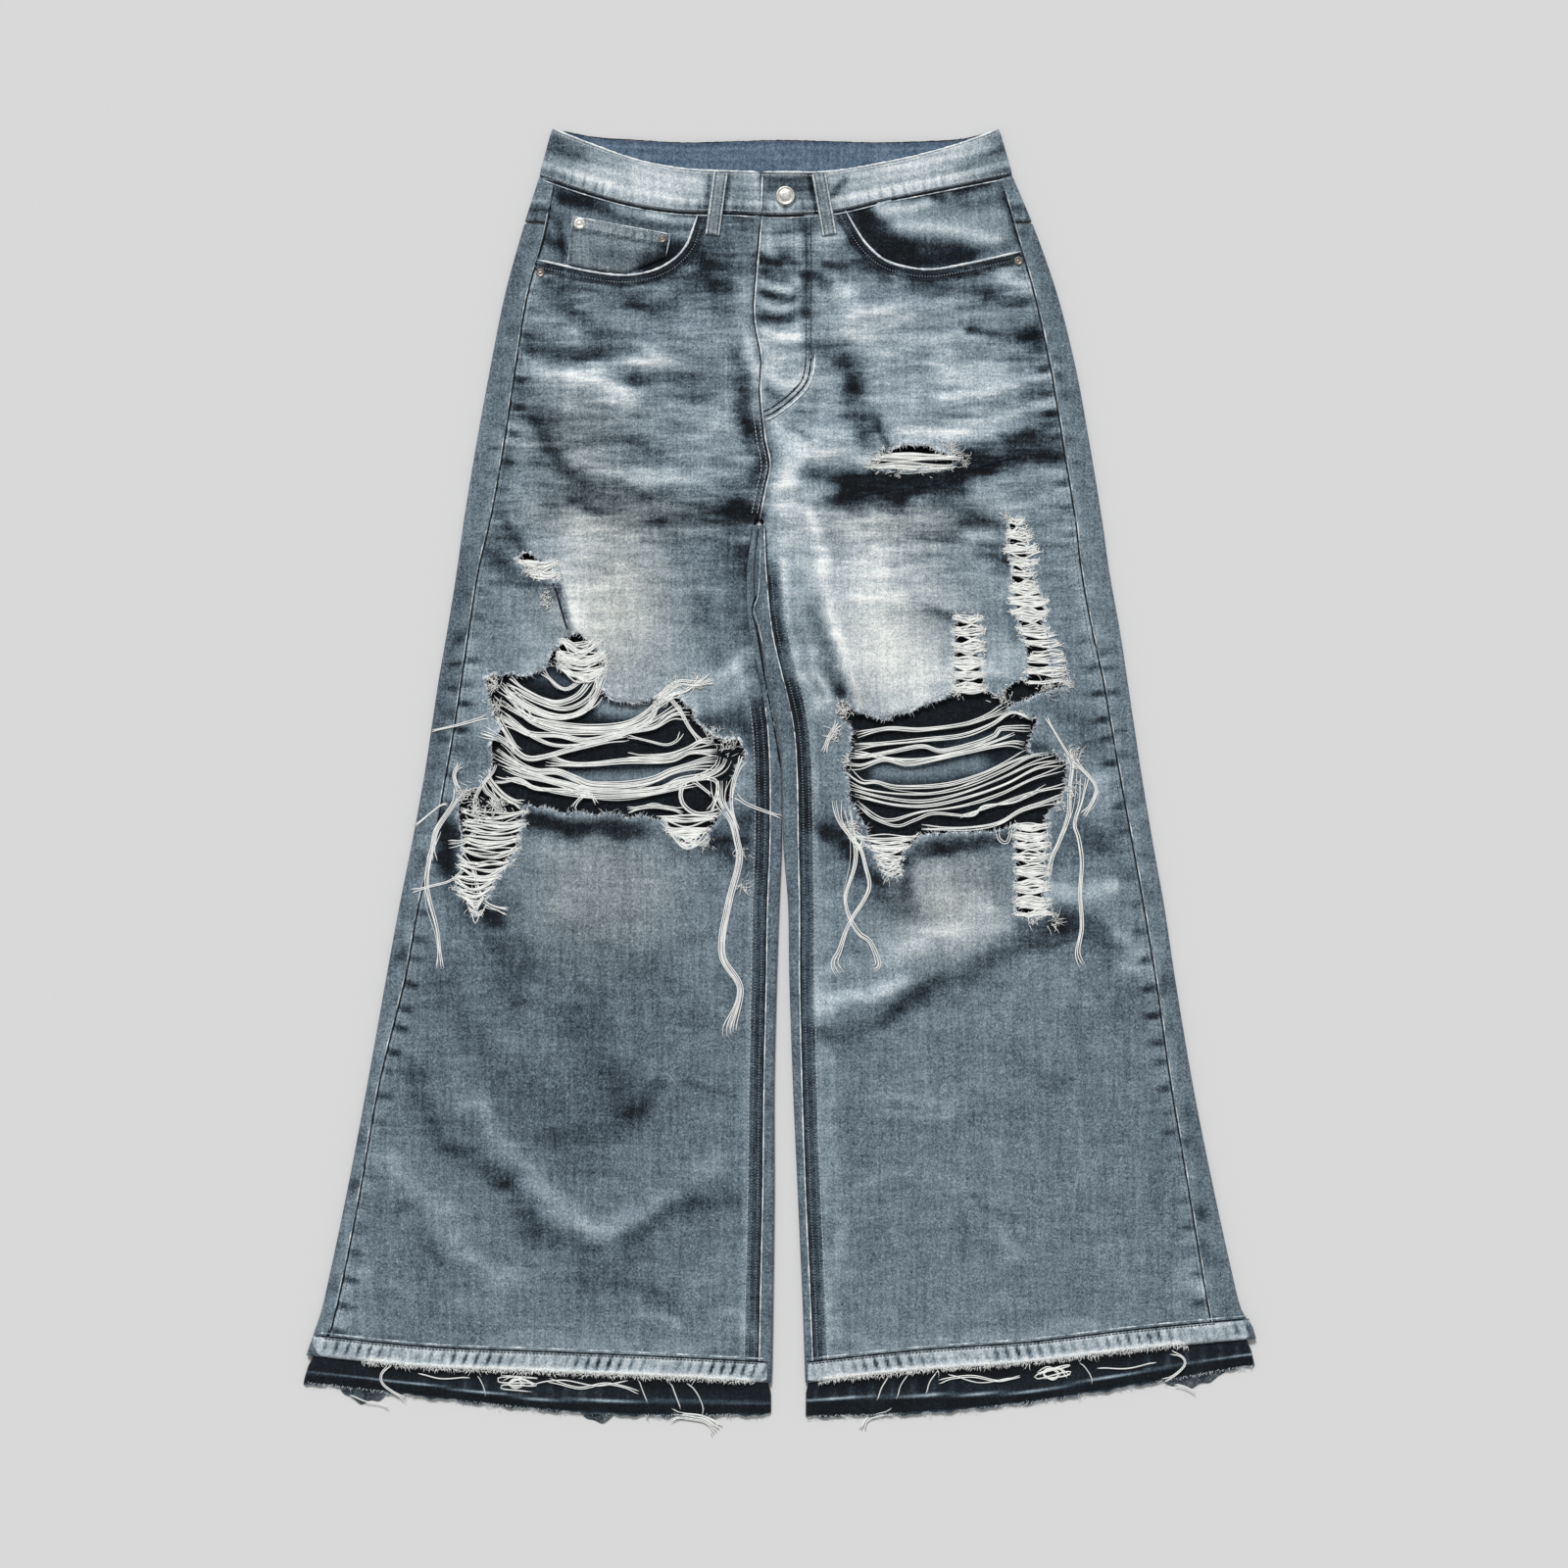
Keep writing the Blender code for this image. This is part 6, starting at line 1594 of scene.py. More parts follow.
for leg in LEGS:
    rows, marks = band_ring(leg)
    n_rows, n_columns = rows.shape[:2]
    faces = net_faces(n_rows, n_columns, flip=leg.way < 0)
    for r in range(n_rows - 1):
        a, b = r * n_columns + n_columns - 1, r * n_columns
        quad = (a, b, b + n_columns, a + n_columns)
        faces.append(quad[::-1] if leg.way < 0 else quad)
    points = rows.reshape(-1, 3)
    v, x = marks.ravel(), points[:, 0]
    outer_x, inner_x = leg.line("outer", -500), leg.line("inner", -500)
    part = np.clip((x - outer_x) / (inner_x - outer_x), 0, 1)
    crease = np.interp(part, (0, 0.25, 0.5, 0.75, 1), CREASE_PART[leg.name])
    below = v - crease
    worn = slit_share(leg, x)
    ticks = np.clip(np.sin(x / 2.4 + 2 * np.sin(x / 31.0)) - 0.2, 0, 1)
    ticks = ticks * step((np.sin(x / 47.0) + 0.3) * 2)
    # Painted shade: where the old fold has worn through, the band is darker just under the slit, where the
    # slit throws its shadow.
    upper_tone = (0.08 + 0.03 * worn - 0.12 * worn * (1 - step((v - 0.05) / 0.45))
                  + 0.15 * ticks * step(v / 0.3))
    tone = np.where(below < 0, upper_tone, 0.035 + 0.02 * np.sin(x / 9.0))
    tone += 0.62 * bell(below, 0.030) + 0.40 * step((v - 0.95) / 0.05)
    values = {"tone": np.clip(tone, 0.02, 0.8), "warm": 0.0, "inner": 0.2}
    made = piece(f"hem_let_down_{leg.name}", points, faces, [indigo, inner], values, DENIM)
    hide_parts(f"hem_band_{leg.name}")
    print(made.name, len(points), "points")

# %% [markdown]
# ## Curled bits of the raw edge
# Here and there the raw edge has curled back and shows a scrap of its pale wrong side.

# %% Curled flaps
FLAPS = table(
    "x_low x_high leg depth",
    (-370, -330, "right", 13.0), (-167, -140, "right", 8.5), (320, 374, "left", 10.0),
)
for number, flap in enumerate(FLAPS):
    leg = next(leg for leg in LEGS if leg.name == flap.leg)
    x = np.linspace(flap.x_low, flap.x_high, 24)
    bow = np.sin(np.linspace(0, math.pi, 24)) ** 0.7
    v = np.linspace(0, 1, 7)[:, None]
    edge = leg.hem("raw", x) + 3
    y = edge - (3 + flap.depth * bow * (0.85 + 0.15 * np.sin(x / 2.7))) * v
    z = 2.6 - 1.6 * v + 0.5 * np.sin(x / 6.0) * v
    flat = places(x, y, z)
    tone = 0.12 + 0.26 * np.repeat(v.ravel(), 24) + 0.06 * np.sin(flat[:, 0] / 3.0)
    values = {"tone": tone, "warm": 0.8, "inner": 0.3}
    made = piece(f"raw_edge_flap_{number + 1}", flat, net_faces(7, 24, flip=True), [washed, inner],
                 values, 0.8)
print(len(FLAPS), "curled flaps")

# %% [markdown]
# ## Worn edges and seam lines
# Every folded edge of the jeans has lost its dye and shows as a thin white line, and the crevice
# beside it lies in shade. Both are thin tubes here: pale ones a little proud, and dark ones half
# sunk, which are painted shade in the crevices and under the edges and folds that overlap.

# %% Seam lines
Edge = namedtuple("Edge", "line radius level spread sink")


def waist_line(column, low, high, up=0.0):
    """A line of the waistband from one place to another, slanted in where it is an upper one."""
    x = np.arange(low, high, 2.5)
    return places(x if "top" not in column else band_x(x), through(WAISTLINE, column, x) + up)


def band_level(line):
    """Lines along the band's front lie on its top, which rises over the underlap."""
    return BAND_HEIGHT + BAND_RISE * step((25 - line[:, 0]) / 9) * (line[:, 0] > -16.5)


def curve(*numbers, steps=8, spacing=2.5):
    """A smooth line through a few places, with its points evenly spaced."""
    return even(bend(line_of(*numbers), steps), spacing)


# light: the worn white edges; dark: painted shade, dark tubes laid where shade falls in crevices and under
# overlapping edges.
light, dark = [], []


def follow(edges, line, away, *look):
    """One more line on the upper cloth, so far beside the line that it follows."""
    edges.append(Edge(on_front(shifted(line, away)), *look))


for leg in LEGS:
    way, corner = leg.way, SCOOPS[leg.name][-1][1] + 2
    side = leg.seam("side", -468, corner, 3.0)
    follow(light, side, way * -0.9, 0.50, 0.68, 0.22, 0.0)
    follow(dark, side, way * 0.6, 0.62, 0.06, 0.05, -0.40)
    upper = leg.seam("side", corner, 492, 3.0)
    follow(light, upper, way * -0.9, 0.50, 0.66, 0.16, 0.0)
    follow(dark, upper, way * 0.6, 0.65, 0.05, 0.04, -0.35)
    seam = leg.seam("seam", -500, CROTCH - 3 if leg.name == "left" else 60, 3.0)
    follow(light, seam, way * 0.2, 0.62, 0.84, 0.14, -0.1)
    follow(dark, seam, way * -1.2, 0.55, 0.12, 0.05, -0.3)
    opening = pocket_edge(leg)
    light.append(Edge(on_front(opening, 0.15), 1.05, 0.86, 0.10, 0.0))
    follow(dark, opening, way * -1.7, 0.6, 0.14, 0.05, -0.25)
fold = curve(-16.5,206, -17,182, -17.5,164, -19,148, -22,138, -18,122, -15,108, steps=6)
light.append(Edge(on_front(fold, 0.3), 0.55, 0.66, 0.16, 0.0))
# Painted shade: dark tubes sunk between the legs below the crotch, beside the right tear and in the crease
# under the left tear, where the cloth above throws its shadow.
for line, radius, sink in (
        (curve(-19,152, -24,136, -19,116, -14,84, -10,62, -4,30, 0,6), 1.0, -0.5),
        (curve(-193,165, -187,150, -182,132, -176,113, steps=6), 1.0, -0.4),
        (curve(58,231, 96,238, 134,243, 166,257, 206,267), 1.8, -1.2)):
    dark.append(Edge(on_front(line), radius, 0.05, 0.03, sink))
y = np.linspace(464, CROTCH, 84)
low_centre = places(through(CENTRE_FRONT, "x", y), y)
light.append(Edge(on_front(low_centre + [0.6, 0], 0.2), 0.75, 0.80, 0.16, 0.0))
dark.append(Edge(on_front(low_centre - [0.8, 0]), 0.80, 0.04, 0.03, -0.3))
fly_foot = curve(29,351, 27,334, 22,322, 9,309, -5,299, -14,295)
light.append(Edge(on_front(fly_foot, 0.25), 0.85, 0.90, 0.12, 0.0))
for inward in (3.2, 7.4):
    dark.append(Edge(on_front(shifted(fly_foot, -inward), 0.2), 0.60, 0.10, 0.05, 0.0))

for low, high in ((BAND_FOLDS[0], -16.5), (-15.5, BAND_FOLDS[1])):
    top = waist_line("top", low, high)
    light.append(Edge(raised(top, band_level(top) - 0.45), 0.95, 0.90, 0.08, 0.0))
    under = waist_line("seam", low, high)
    level = np.maximum(band_level(under) - 1.1, 5.6)
    dark.append(Edge(raised(under + [0, -0.6], level), 1.0, 0.03, 0.02, 0.0))
    level = on_front(under)[:, 2] + 0.1
    light.append(Edge(raised(under + [0, -2.1], level), 0.55, 0.74, 0.16, 0.0))
overlap = line_of(-16.3, through(WAISTLINE, "seam", -16.0) + 1, -15.6, 486, -15.2, 502)
light.append(Edge(raised(even(overlap, 2.5), BAND_HEIGHT + BAND_RISE - 0.4), 0.75, 0.84, 0.12, 0.0))
back_top = waist_line("back_top", BAND_FOLDS[0] + 4, BAND_FOLDS[1] - 4)
back_z = 1.1 + 1.9 * step((152 - np.abs(back_top[:, 0] - BAND_MIDDLE)) / 26)
dark.append(Edge(raised(back_top, back_z), 0.9, 0.10, 0.06, 0.0))
coin_z = COIN_TOP + 0.35
for ends, radius, level in (([0, 1], 0.60, 0.80), ([1, 2], 0.55, 0.62), ([0, 5], 0.50, 0.62)):
    line = even(COIN_POCKET[ends], 2.5)
    light.append(Edge(raised(line, coin_z), radius, level, 0.16, 0.0))
for leg in LEGS:
    ends = sorted((leg.line("outer", -475) - leg.way * 2.0, leg.line("inner", -490) + leg.way * 2.0))
    x = np.arange(ends[0], ends[1], 2.5)
    line = places(x, leg.hem("worn", x) + HEM_STITCH + 0.6)
    dark.append(Edge(on_front(line, 0.35), 0.75, 0.06, 0.04, 0.0))
    light.append(Edge(on_front(line + [0, 2.4]), 0.8, 0.66, 0.18, -0.3))


def lay_edges(name, edges, material, seed):
    """All the lines of one kind as uneven tubes that thin out at their ends."""
    lines, radii, tones = [], [], []
    for n, edge in enumerate(edges):
        line = np.array(edge.line, float)
        line[:, 2] += edge.sink
        rng = np.random.default_rng(seed + n)
        ends = np.clip(np.minimum(np.arange(len(line)), np.arange(len(line))[::-1]) / 2.0, 0.25, 1)
        lines.append(line)
        radii.append(edge.radius * (1 + 0.16 * rng.normal(size=len(line))).clip(0.6, 1.4) * ends)
        tones.append(mottled(line, edge.level, edge.spread, 2.2, seed + n))
    made = tubes(name, lines, radii, material, 5, tones)
    print(name, len(edges), "lines,", len(made.data.polygons), "faces")


lay_edges("worn_edges", light, washed, 40)
lay_edges("seam_crevices", dark, indigo, 90)

# %% [markdown]
# ## Stitches
# The seams are sewn with about eight stitches to the inch. Each stitch is the same short fat thread
# between two needle holes, so one small stitch is placed along every sewing line by a geometry node
# tree, with the distance between stitches, their length and their thickness as its inputs.

# %% Stitch tree
def stitch_seed():
    """One stitch: a four-sided spindle along X, one unit long."""
    rings, sides = [(-0.5, 0.3), (-0.24, 1.0), (0.24, 1.0), (0.5, 0.3)], 4
    turns = [2 * math.pi * n / sides for n in range(sides)]
    points = [(x, 0.5 * r * math.cos(turn), 0.5 * r * math.sin(turn)) for x, r in rings for turn in turns]
    faces = []
    for start in range(0, (len(rings) - 1) * sides, sides):
        for n in range(sides):
            after = start + (n + 1) % sides
            faces.append((start + n, start + sides + n, after + sides, after))
    faces += [tuple(range(sides)), tuple(range(len(points) - 1, len(points) - sides - 1, -1))]
    mesh = bpy.data.meshes.new("stitch")
    mesh.from_pydata(points, [], [f[::-1] for f in faces])
    mesh.polygons.foreach_set("use_smooth", [True] * len(mesh.polygons))
    return mesh


def stitch_tree():
    """Lines in, stitches out."""
    tree = bpy.data.node_groups.new("stitching", "GeometryNodeTree")
    face = tree.interface
    face.new_socket("Geometry", in_out="INPUT", socket_type="NodeSocketGeometry")
    for label, value in (("Pitch", 3.2 * MM), ("Length", 2.6 * MM), ("Width", 0.8 * MM)):
        socket = face.new_socket(label, in_out="INPUT", socket_type="NodeSocketFloat")
        socket.default_value = value
    face.new_socket("Stitch", in_out="INPUT", socket_type="NodeSocketObject")
    face.new_socket("Thread", in_out="INPUT", socket_type="NodeSocketMaterial")
    face.new_socket("Geometry", in_out="OUTPUT", socket_type="NodeSocketGeometry")
    start, end = tree.nodes.new("NodeGroupInput"), tree.nodes.new("NodeGroupOutput")

    def node(kind, setting=None, **wires):
        """A node, one of its settings and, for each input, the node and socket it comes from."""
        made = tree.nodes.new(kind)
        if setting:
            setattr(made, *setting)
        for name, (source, output) in wires.items():
            tree.links.new(source.outputs[output], made.inputs[name])
        return made

    curve = node("GeometryNodeMeshToCurve", Mesh=(start, "Geometry"))
    spaced = node("GeometryNodeResampleCurve", ("mode", "LENGTH"), Curve=(curve, "Curve"),
                  Length=(start, "Pitch"))
    ahead = node("GeometryNodeInputTangent")
    align = node("FunctionNodeAlignRotationToVector", ("axis", "X"), Vector=(ahead, "Tangent"))
    size = node("ShaderNodeCombineXYZ", X=(start, "Length"), Y=(start, "Width"), Z=(start, "Width"))
    source = node("GeometryNodeObjectInfo", Object=(start, "Stitch"))
    place = node("GeometryNodeInstanceOnPoints", Points=(spaced, "Curve"), Scale=(size, "Vector"),
                 Instance=(source, "Geometry"), Rotation=(align, "Rotation"))
    real = node("GeometryNodeRealizeInstances", Geometry=(place, "Instances"))
    paint = node("GeometryNodeSetMaterial", Geometry=(real, "Geometry"), Material=(start, "Thread"))
    tree.links.new(paint.outputs["Geometry"], end.inputs["Geometry"])
    return tree


STITCH = bpy.data.objects.new("stitch_seed", stitch_seed())
STITCHING = stitch_tree()


def sew(name, lines, material, pitch, length, width):
    """Stitches along 3-D lines, as one plain mesh."""
    points, edges = [], []
    for line in lines:
        start = len(points)
        points += metres(line).tolist()
        edges += [(start + n, start + n + 1) for n in range(len(line) - 1)]
    mesh = bpy.data.meshes.new(name + "_lines")
    mesh.from_pydata(points, edges, [])
    source = bpy.data.objects.new(name + "_lines", mesh)
    bpy.context.scene.collection.objects.link(source)
    modifier = source.modifiers.new("stitching", "NODES")
    modifier.node_group = STITCHING
    given = {"Pitch": pitch * MM, "Length": length * MM, "Width": width * MM, "Stitch": STITCH,
             "Thread": material}
    for item in STITCHING.interface.items_tree:
        if item.in_out == "INPUT" and item.name in given:
            modifier[item.identifier] = given[item.name]
    graph = bpy.context.evaluated_depsgraph_get()
    plain = bpy.data.meshes.new_from_object(source.evaluated_get(graph))
    bpy.data.objects.remove(source, do_unlink=True)
    plain.name = name
    plain.materials.clear()
    plain.materials.append(material)
    made = bpy.data.objects.new(name, plain)
    bpy.context.scene.collection.objects.link(made)
    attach(made, "root")
    print(name, len(plain.polygons), "faces")


# %% Sewing lines
dark_rows, light_rows, fine_rows, cross_rows = [], [], [], []
for leg in LEGS:
    opening = pocket_edge(leg)
    for away in (3.0, 8.6):
        dark_rows.append(on_front(shifted(opening, leg.way * -away), 0.25))
    cross_rows.append(on_front(shifted(opening, leg.way * -5.8), -1.15))
    seam = leg.seam("seam", -490, 176 if leg.name == "left" else 56, 3.0)
    for away in (4.2, 9.2):
        cross_rows.append(on_front(shifted(seam, leg.way * -away), -1.15))
    light_rows.append(on_front(shifted(seam, leg.way * -12.6), 0.1))
    side = leg.seam("side", -465, 425, 3.0)
    dark_rows.append(on_front(shifted(side, leg.way * 4.0), 0.15))
    x = np.arange(*sorted((leg.line("side", -480), leg.line("seam", -490))), 2.5)
    dark_rows.append(on_front(places(x, leg.hem("worn", x) + HEM_STITCH - 1.2), 1.0))
for x in (21.5, 25.5):
    dark_rows.append(on_front(places(x, np.linspace(464, 352, 50)), 0.3))
for away in (0.0, 3.2):
    foot = curve(25.5 - away, 352, 23 - away, 332, 10 - away, 316 + away, -8, 306 + away, spacing=2.0)
    light_rows.append(on_front(foot, 0.3))
y = np.linspace(452, CROTCH + 6, 80)
for away in (2.6, 7.0):
    row = places(through(CENTRE_FRONT, "x", y) - away, y)
    light_rows.append(on_front(row[y < 300], 0.2))
for low, high in ((BAND_FOLDS[0], -18), (-14, BAND_FOLDS[1])):
    for column, up in (("seam", 2.4), ("top", -2.8)):
        row = waist_line(column, low, high, up)
        light_rows.append(raised(row, band_level(row) + 0.1))
for loop in FRONT_LOOPS:
    first, along, across = loop_axes(loop)
    t = np.linspace(0.04, 0.96, 40)
    for way in (-1, 1):
        row = first + t[:, None] * along + way * (across * 3.9)
        fine_rows.append(raised(row, BAND_HEIGHT + GAP + LOOP_WALL - loop_drop(t) + 0.2))
for ends, inward in (([0, 1], -2.2), ([0, 1], -8.6), ([1, 2], -2.2), ([0, 5], 2.2)):
    fine_rows.append(raised(shifted(even(COIN_POCKET[ends], 2.5), inward), coin_z - 0.05))
sew("stitches_dark", dark_rows, sewing_dark, 3.0, 2.5, 0.95)
sew("stitches_light", light_rows, sewing_light, 3.2, 2.5, 0.75)
sew("stitches_fine", fine_rows, sewing_dark, 2.8, 2.2, 0.65)
sew("stitches_cross", cross_rows, overlock, 2.3, 1.3, 3.4)

# %% [markdown]
# ## Threads across the knees
# Where the warp has worn away, the white weft still runs from side to side. It has gathered into
# loose strands that sag across the hole, and some have broken and hang down over the leg. Each route
# is given one by one, and a strand is a few threads side by side.

# %% Routes of the strands
Strand = namedtuple("Strand", "threads route")


def strands(*rows):
    """How many threads each has, and then the x and the y of its route by turns."""
    return [Strand(row[0], line_of(*row[1:])) for row in rows]


KNEE_RIGHT_STRANDS = strands(
    (3, -104,60, -96,69, -84,76, -70,75, -57,79), (2, -98,58, -90,66, -78,70, -66,80),
    (3, -238,48, -232,38, -226,28, -220,18), (3, -248,2, -240,-10, -230,-20, -216,-27),
    (3, -236,74, -222,62, -205,52, -185,47, -165,52, -154,66, -150,84),
    (3, -232,62, -212,48, -188,42, -158,39, -128,42, -108,54, -94,68),
    (2, -238,52, -215,36, -190,24, -160,25, -130,34, -104,46, -84,58),
    (2, -150,84, -160,64, -180,54, -204,60, -226,72),
    (1, -236,10, -214,2, -190,-6, -160,-12, -120,-14, -86,-10, -60,2),
    (1, -230,-4, -190,-15, -150,-20, -110,-18, -70,-9), (2, -250,-4, -246,-14, -238,-22, -236,-32),
    (2, -100,68, -92,62, -84,52, -76,38, -66,26),
    (3, -228,78, -215,70, -199,62, -186,59, -170,65, -161,76, -157,86),
    (3, -230,71, -214,59, -195,50, -176,48, -159,57, -154,66),
    (3, -220,59, -209,45, -190,37, -167,35, -128,37, -109,46, -102,59, -92,65, -80,70),
    (3, -235,48, -223,41, -209,33, -186,32, -162,28, -128,35, -106,39, -90,49, -76,50),
    (1, -128,32, -109,27, -96,24, -87,27, -82,34),
    (3, -251,35, -232,28, -214,14, -199,14, -176,20, -157,25, -128,33),
    (3, -196,12, -176,8, -157,8, -128,11, -93,11, -76,18, -53,20),
    (2, -128,14, -96,16, -79,21, -67,27, -57,27),
    (4, -238,19, -223,9, -205,2, -187,2, -171,-4, -157,-9, -128,-9, -106,-5, -90,2, -67,8, -53,10),
    (4, -230,9, -214,0, -195,-5, -176,-10, -162,-14, -128,-16, -100,-13, -84,-6, -63,-2, -51,5, -47,13),
    (2, -239,-5, -232,-6, -219,-5, -205,-12, -181,-14, -157,-17),
    (1, -174,-29, -169,-22, -160,-17, -154,-26), (2, -199,85, -186,73, -178,71, -169,77, -164,82),
    (2, -81,-6, -84,-18, -80,-28, -69,-34, -51,-32), (2, -69,-3, -54,-6, -53,-18, -59,-32),
    (1, -73,-6, -65,-12, -57,-18),
    (4, -51,-6, -50,-23, -41,-39, -37,-55, -35,-74, -43,-108, -49,-151, -34,-180, -42,-213, -40,-219),
    (2, -31,14, -39,-6, -41,-26, -36,-48), (1, -38,-18, -29,-25, -14,-31, 1,-36),
    (2, -128,-31, -106,-27, -81,-31), (2, -99,-39, -80,-62, -60,-52),
    (2, -268,8, -273,0, -271,-9, -268,-14), (3, -268,-14, -274,-27, -287,-46, -291,-62, -292,-73),
    (2, -239,8, -242,0, -250,-10, -256,-22, -255,-36, -257,-50, -265,-57, -278,-59),
    (2, -244,-21, -237,-30, -230,-37), (2, -270,-66, -263,-73, -257,-81, -253,-97, -245,-109, -228,-115),
    (1, -264,-78, -276,-89, -292,-94, -309,-99), (1, -278,-26, -285,-27, -306,-44),
    (1, -244,48, -268,41, -292,36), (2, -287,-48, -296,-90, -287,-132, -285,-164),
)
KNEE_LEFT_STRANDS = strands(
    (1, 150,-36, 180,-26, 210,-16, 240,-10), (1, 62,18, 95,12, 130,14, 165,22, 196,34),
    (2, 64,32, 90,38, 118,37, 153,41, 175,49, 188,56),
    (2, 62,23, 84,25, 118,28, 153,32, 176,41, 194,52, 211,47),
    (2, 58,15, 73,15, 94,19, 118,23, 135,19, 162,25, 179,32, 185,38, 209,38),
    (2, 56,6, 68,6, 87,12, 106,8, 129,12, 162,19, 191,25, 204,24),
    (2, 56,2, 68,-7, 80,-7, 99,-11, 138,-9, 168,-1, 190,9, 207,17),
    (1, 56,-7, 71,-13, 101,-17, 131,-16, 160,-9, 190,4, 209,14, 224,17),
    (1, 58,-13, 87,-20, 118,-23, 150,-17, 182,-5, 211,9, 231,14),
    (1, 62,-18, 94,-26, 123,-27, 155,-20, 188,-9, 214,4, 237,9),
    (1, 64,-23, 80,-36, 94,-39, 118,-32, 153,-27, 182,-18, 211,-4, 237,4),
    (1, 65,-26, 77,-37, 97,-44, 112,-39, 129,-33, 160,-35, 170,-27, 196,-24, 223,-11),
    (2, 118,-45, 153,-46, 182,-42, 204,-30, 237,-20), (1, 181,-46, 183,-55, 190,-57, 194,-41),
    (2, 239,18, 244,8, 242,-13, 241,-35, 233,-57, 228,-68, 223,-86), (2, 245,11, 263,-9, 261,-23, 252,-35),
    (2, 255,-1, 252,-22, 246,-42, 249,-54, 252,-75, 251,-100, 252,-128, 248,-150, 253,-162),
    (1, 222,47, 231,32, 244,11), (2, 49,43, 41,31, 36,17),
    (2, 47,-22, 50,-39, 60,-54, 67,-63, 71,-79, 74,-94, 69,-107, 62,-118, 55,-132, 50,-147, 45,-159, 50,-169),
    (2, 56,-27, 62,-57, 62,-76, 55,-100, 55,-111, 59,-123, 66,-134, 75,-141, 82,-159, 76,-164),
    (1, 58,90, 62,73, 69,56), (2, 60,-52, 65,-63, 69,-55, 62,-50),
)
HEM_STRANDS = strands(
    (2, -325,-495, -333,-502, -333,-510, -325,-517, -314,-523),
    (2, 327,-483, 337,-488, 339,-495, 332,-503, 321,-510),
    (2, -232,-509, -223,-505, -214,-510, -222,-515, -228,-510, -217,-506, -204,-511),
    (2, 215,-501, 224,-496, 234,-502, 228,-508, 219,-502, 232,-497, 242,-504),
    (1, -253,-504, -249,-512, -246,-521), (1, -118,-507, -115,-517, -111,-527),
    (1, -91,-509, -87,-521, -83,-532), (1, -77,-509, -69,-519, -64,-533, -69,-542),
    (1, 92,-504, 85,-515, 82,-525), (1, 108,-502, 101,-513, 99,-524), (1, 131,-501, 125,-510, 123,-520),
    (1, 252,-492, 259,-501, 263,-510), (2, -194,-507, -169,-514, -145,-510, -118,-516),
    (1, -210,-510, -182,-507, -153,-512, -128,-507), (2, 132,-507, 159,-504, 183,-508, 200,-503),
    (1, 141,-501, 167,-509, 195,-504), (1, -303,-501, -284,-506, -260,-504),
    (1, 265,-496, 290,-497, 314,-491), (5, -92,-536, -76,-538, -62,-541, -52,-550),
    (2, -84,-535, -66,-537, -54,-543, -50,-548), (3, 94,-535, 80,-538, 72,-542, 70,-550),
    (1, -234,-502, -206,-505, -205,-507, -233,-506, -234,-509, -207,-510, -206,-513, -231,-512,
     -232,-515, -208,-516),
    (1, 214,-500, 240,-494, 241,-497, 216,-503, 216,-506, 241,-500, 240,-504, 217,-508),
    (1, -360,-519, -348,-525, -336,-527, -328,-531), (1, 330,-510, 340,-513, 348,-518),
)
print(len(KNEE_RIGHT_STRANDS) + len(KNEE_LEFT_STRANDS) + len(HEM_STRANDS), "routes")


# %% Laying the strands
THREAD_RADIUS = 0.54


def strand_height(line, leg):
    """Over a rip the threads sag below the panel, and elsewhere they lie on top of the cloth."""
    sunk = np.zeros(len(line))
    for loop in TORN[leg.name]:
        deep = inside(line, loop)
        far, _, _ = nearest(line, closed(loop), 30)
        sunk += np.where(deep, step(far / 9), 0)
    return on_front(line)[:, 2] + 0.45 - 1.9 * sunk


def lay_strands(name, strands, leg, seed, hem=False):
    """Each strand as threads side by side that cross over each other now and then."""
    rng = np.random.default_rng(seed)
    lines, radii = [], []
    for strand in strands:
        route = even(bend(strand.route, 8), 2.9)
        if hem:
            z = np.interp(route[:, 1], (-545, -520, -500, -480), (1.2, 3.6, 5.0, 7.6))
        else:
            z = strand_height(route, leg)
        part = np.linspace(0, 1, len(route))
        strays = 0 if hem else strand.threads
        for n in range(strand.threads + strays):
            stray = n > strand.threads
            place = (n - strand.threads / 2) * 1.42 if not stray else rng.uniform(-1, 1)
            wave = rng.uniform(4, 9), rng.uniform(0, 6), rng.uniform(0.2, 0.6)
            place = place + wave[2] * np.sin(part * len(route) / wave[0] + wave[1])
            spread = 0.85 + 1.3 * bell(part, 0.09) + 1.3 * bell(1 - part, 0.09)
            if stray:
                middle = rng.uniform(0.25, 0.75)
                place = place + rng.normal(0, 3.2) * bell(part - middle, 0.22)
            flat = shifted(route, (place * spread)[:, None])
            rise = 0.30 * np.sin(part * len(route) / wave[0] * 1.3 + wave[1] + n * 2.1)
            lines.append(raised(flat, z + rise + (-0.2 if stray else 0.25)))
            thin = np.clip(np.minimum(part, 1 - part) / 0.04, 0.35, 1)
            size = THREAD_RADIUS * rng.uniform(0.85, 1.12)
            radii.append(size * thin * (0.6 if stray else 1.0))
    made = tubes(name, lines, radii, weft, 4)
    print(name, len(lines), "threads")
    return made


right, left = LEGS
threads_right = lay_strands("knee_threads_right", KNEE_RIGHT_STRANDS, right, 5)
threads_left = lay_strands("knee_threads_left", KNEE_LEFT_STRANDS, left, 6)
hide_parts("knee_threads_right_upper", "knee_threads_right_middle",
            "knee_threads_right_lower")
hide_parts("knee_threads_left_upper", "knee_threads_left_lower")
lay_strands("hem_threads", HEM_STRANDS, left, 7, hem=True)

# %% [markdown]
# ## Ladders of weft
# In the long narrow rips every weft thread is still there, one above the other, bunched here and
# there with dark gaps between.

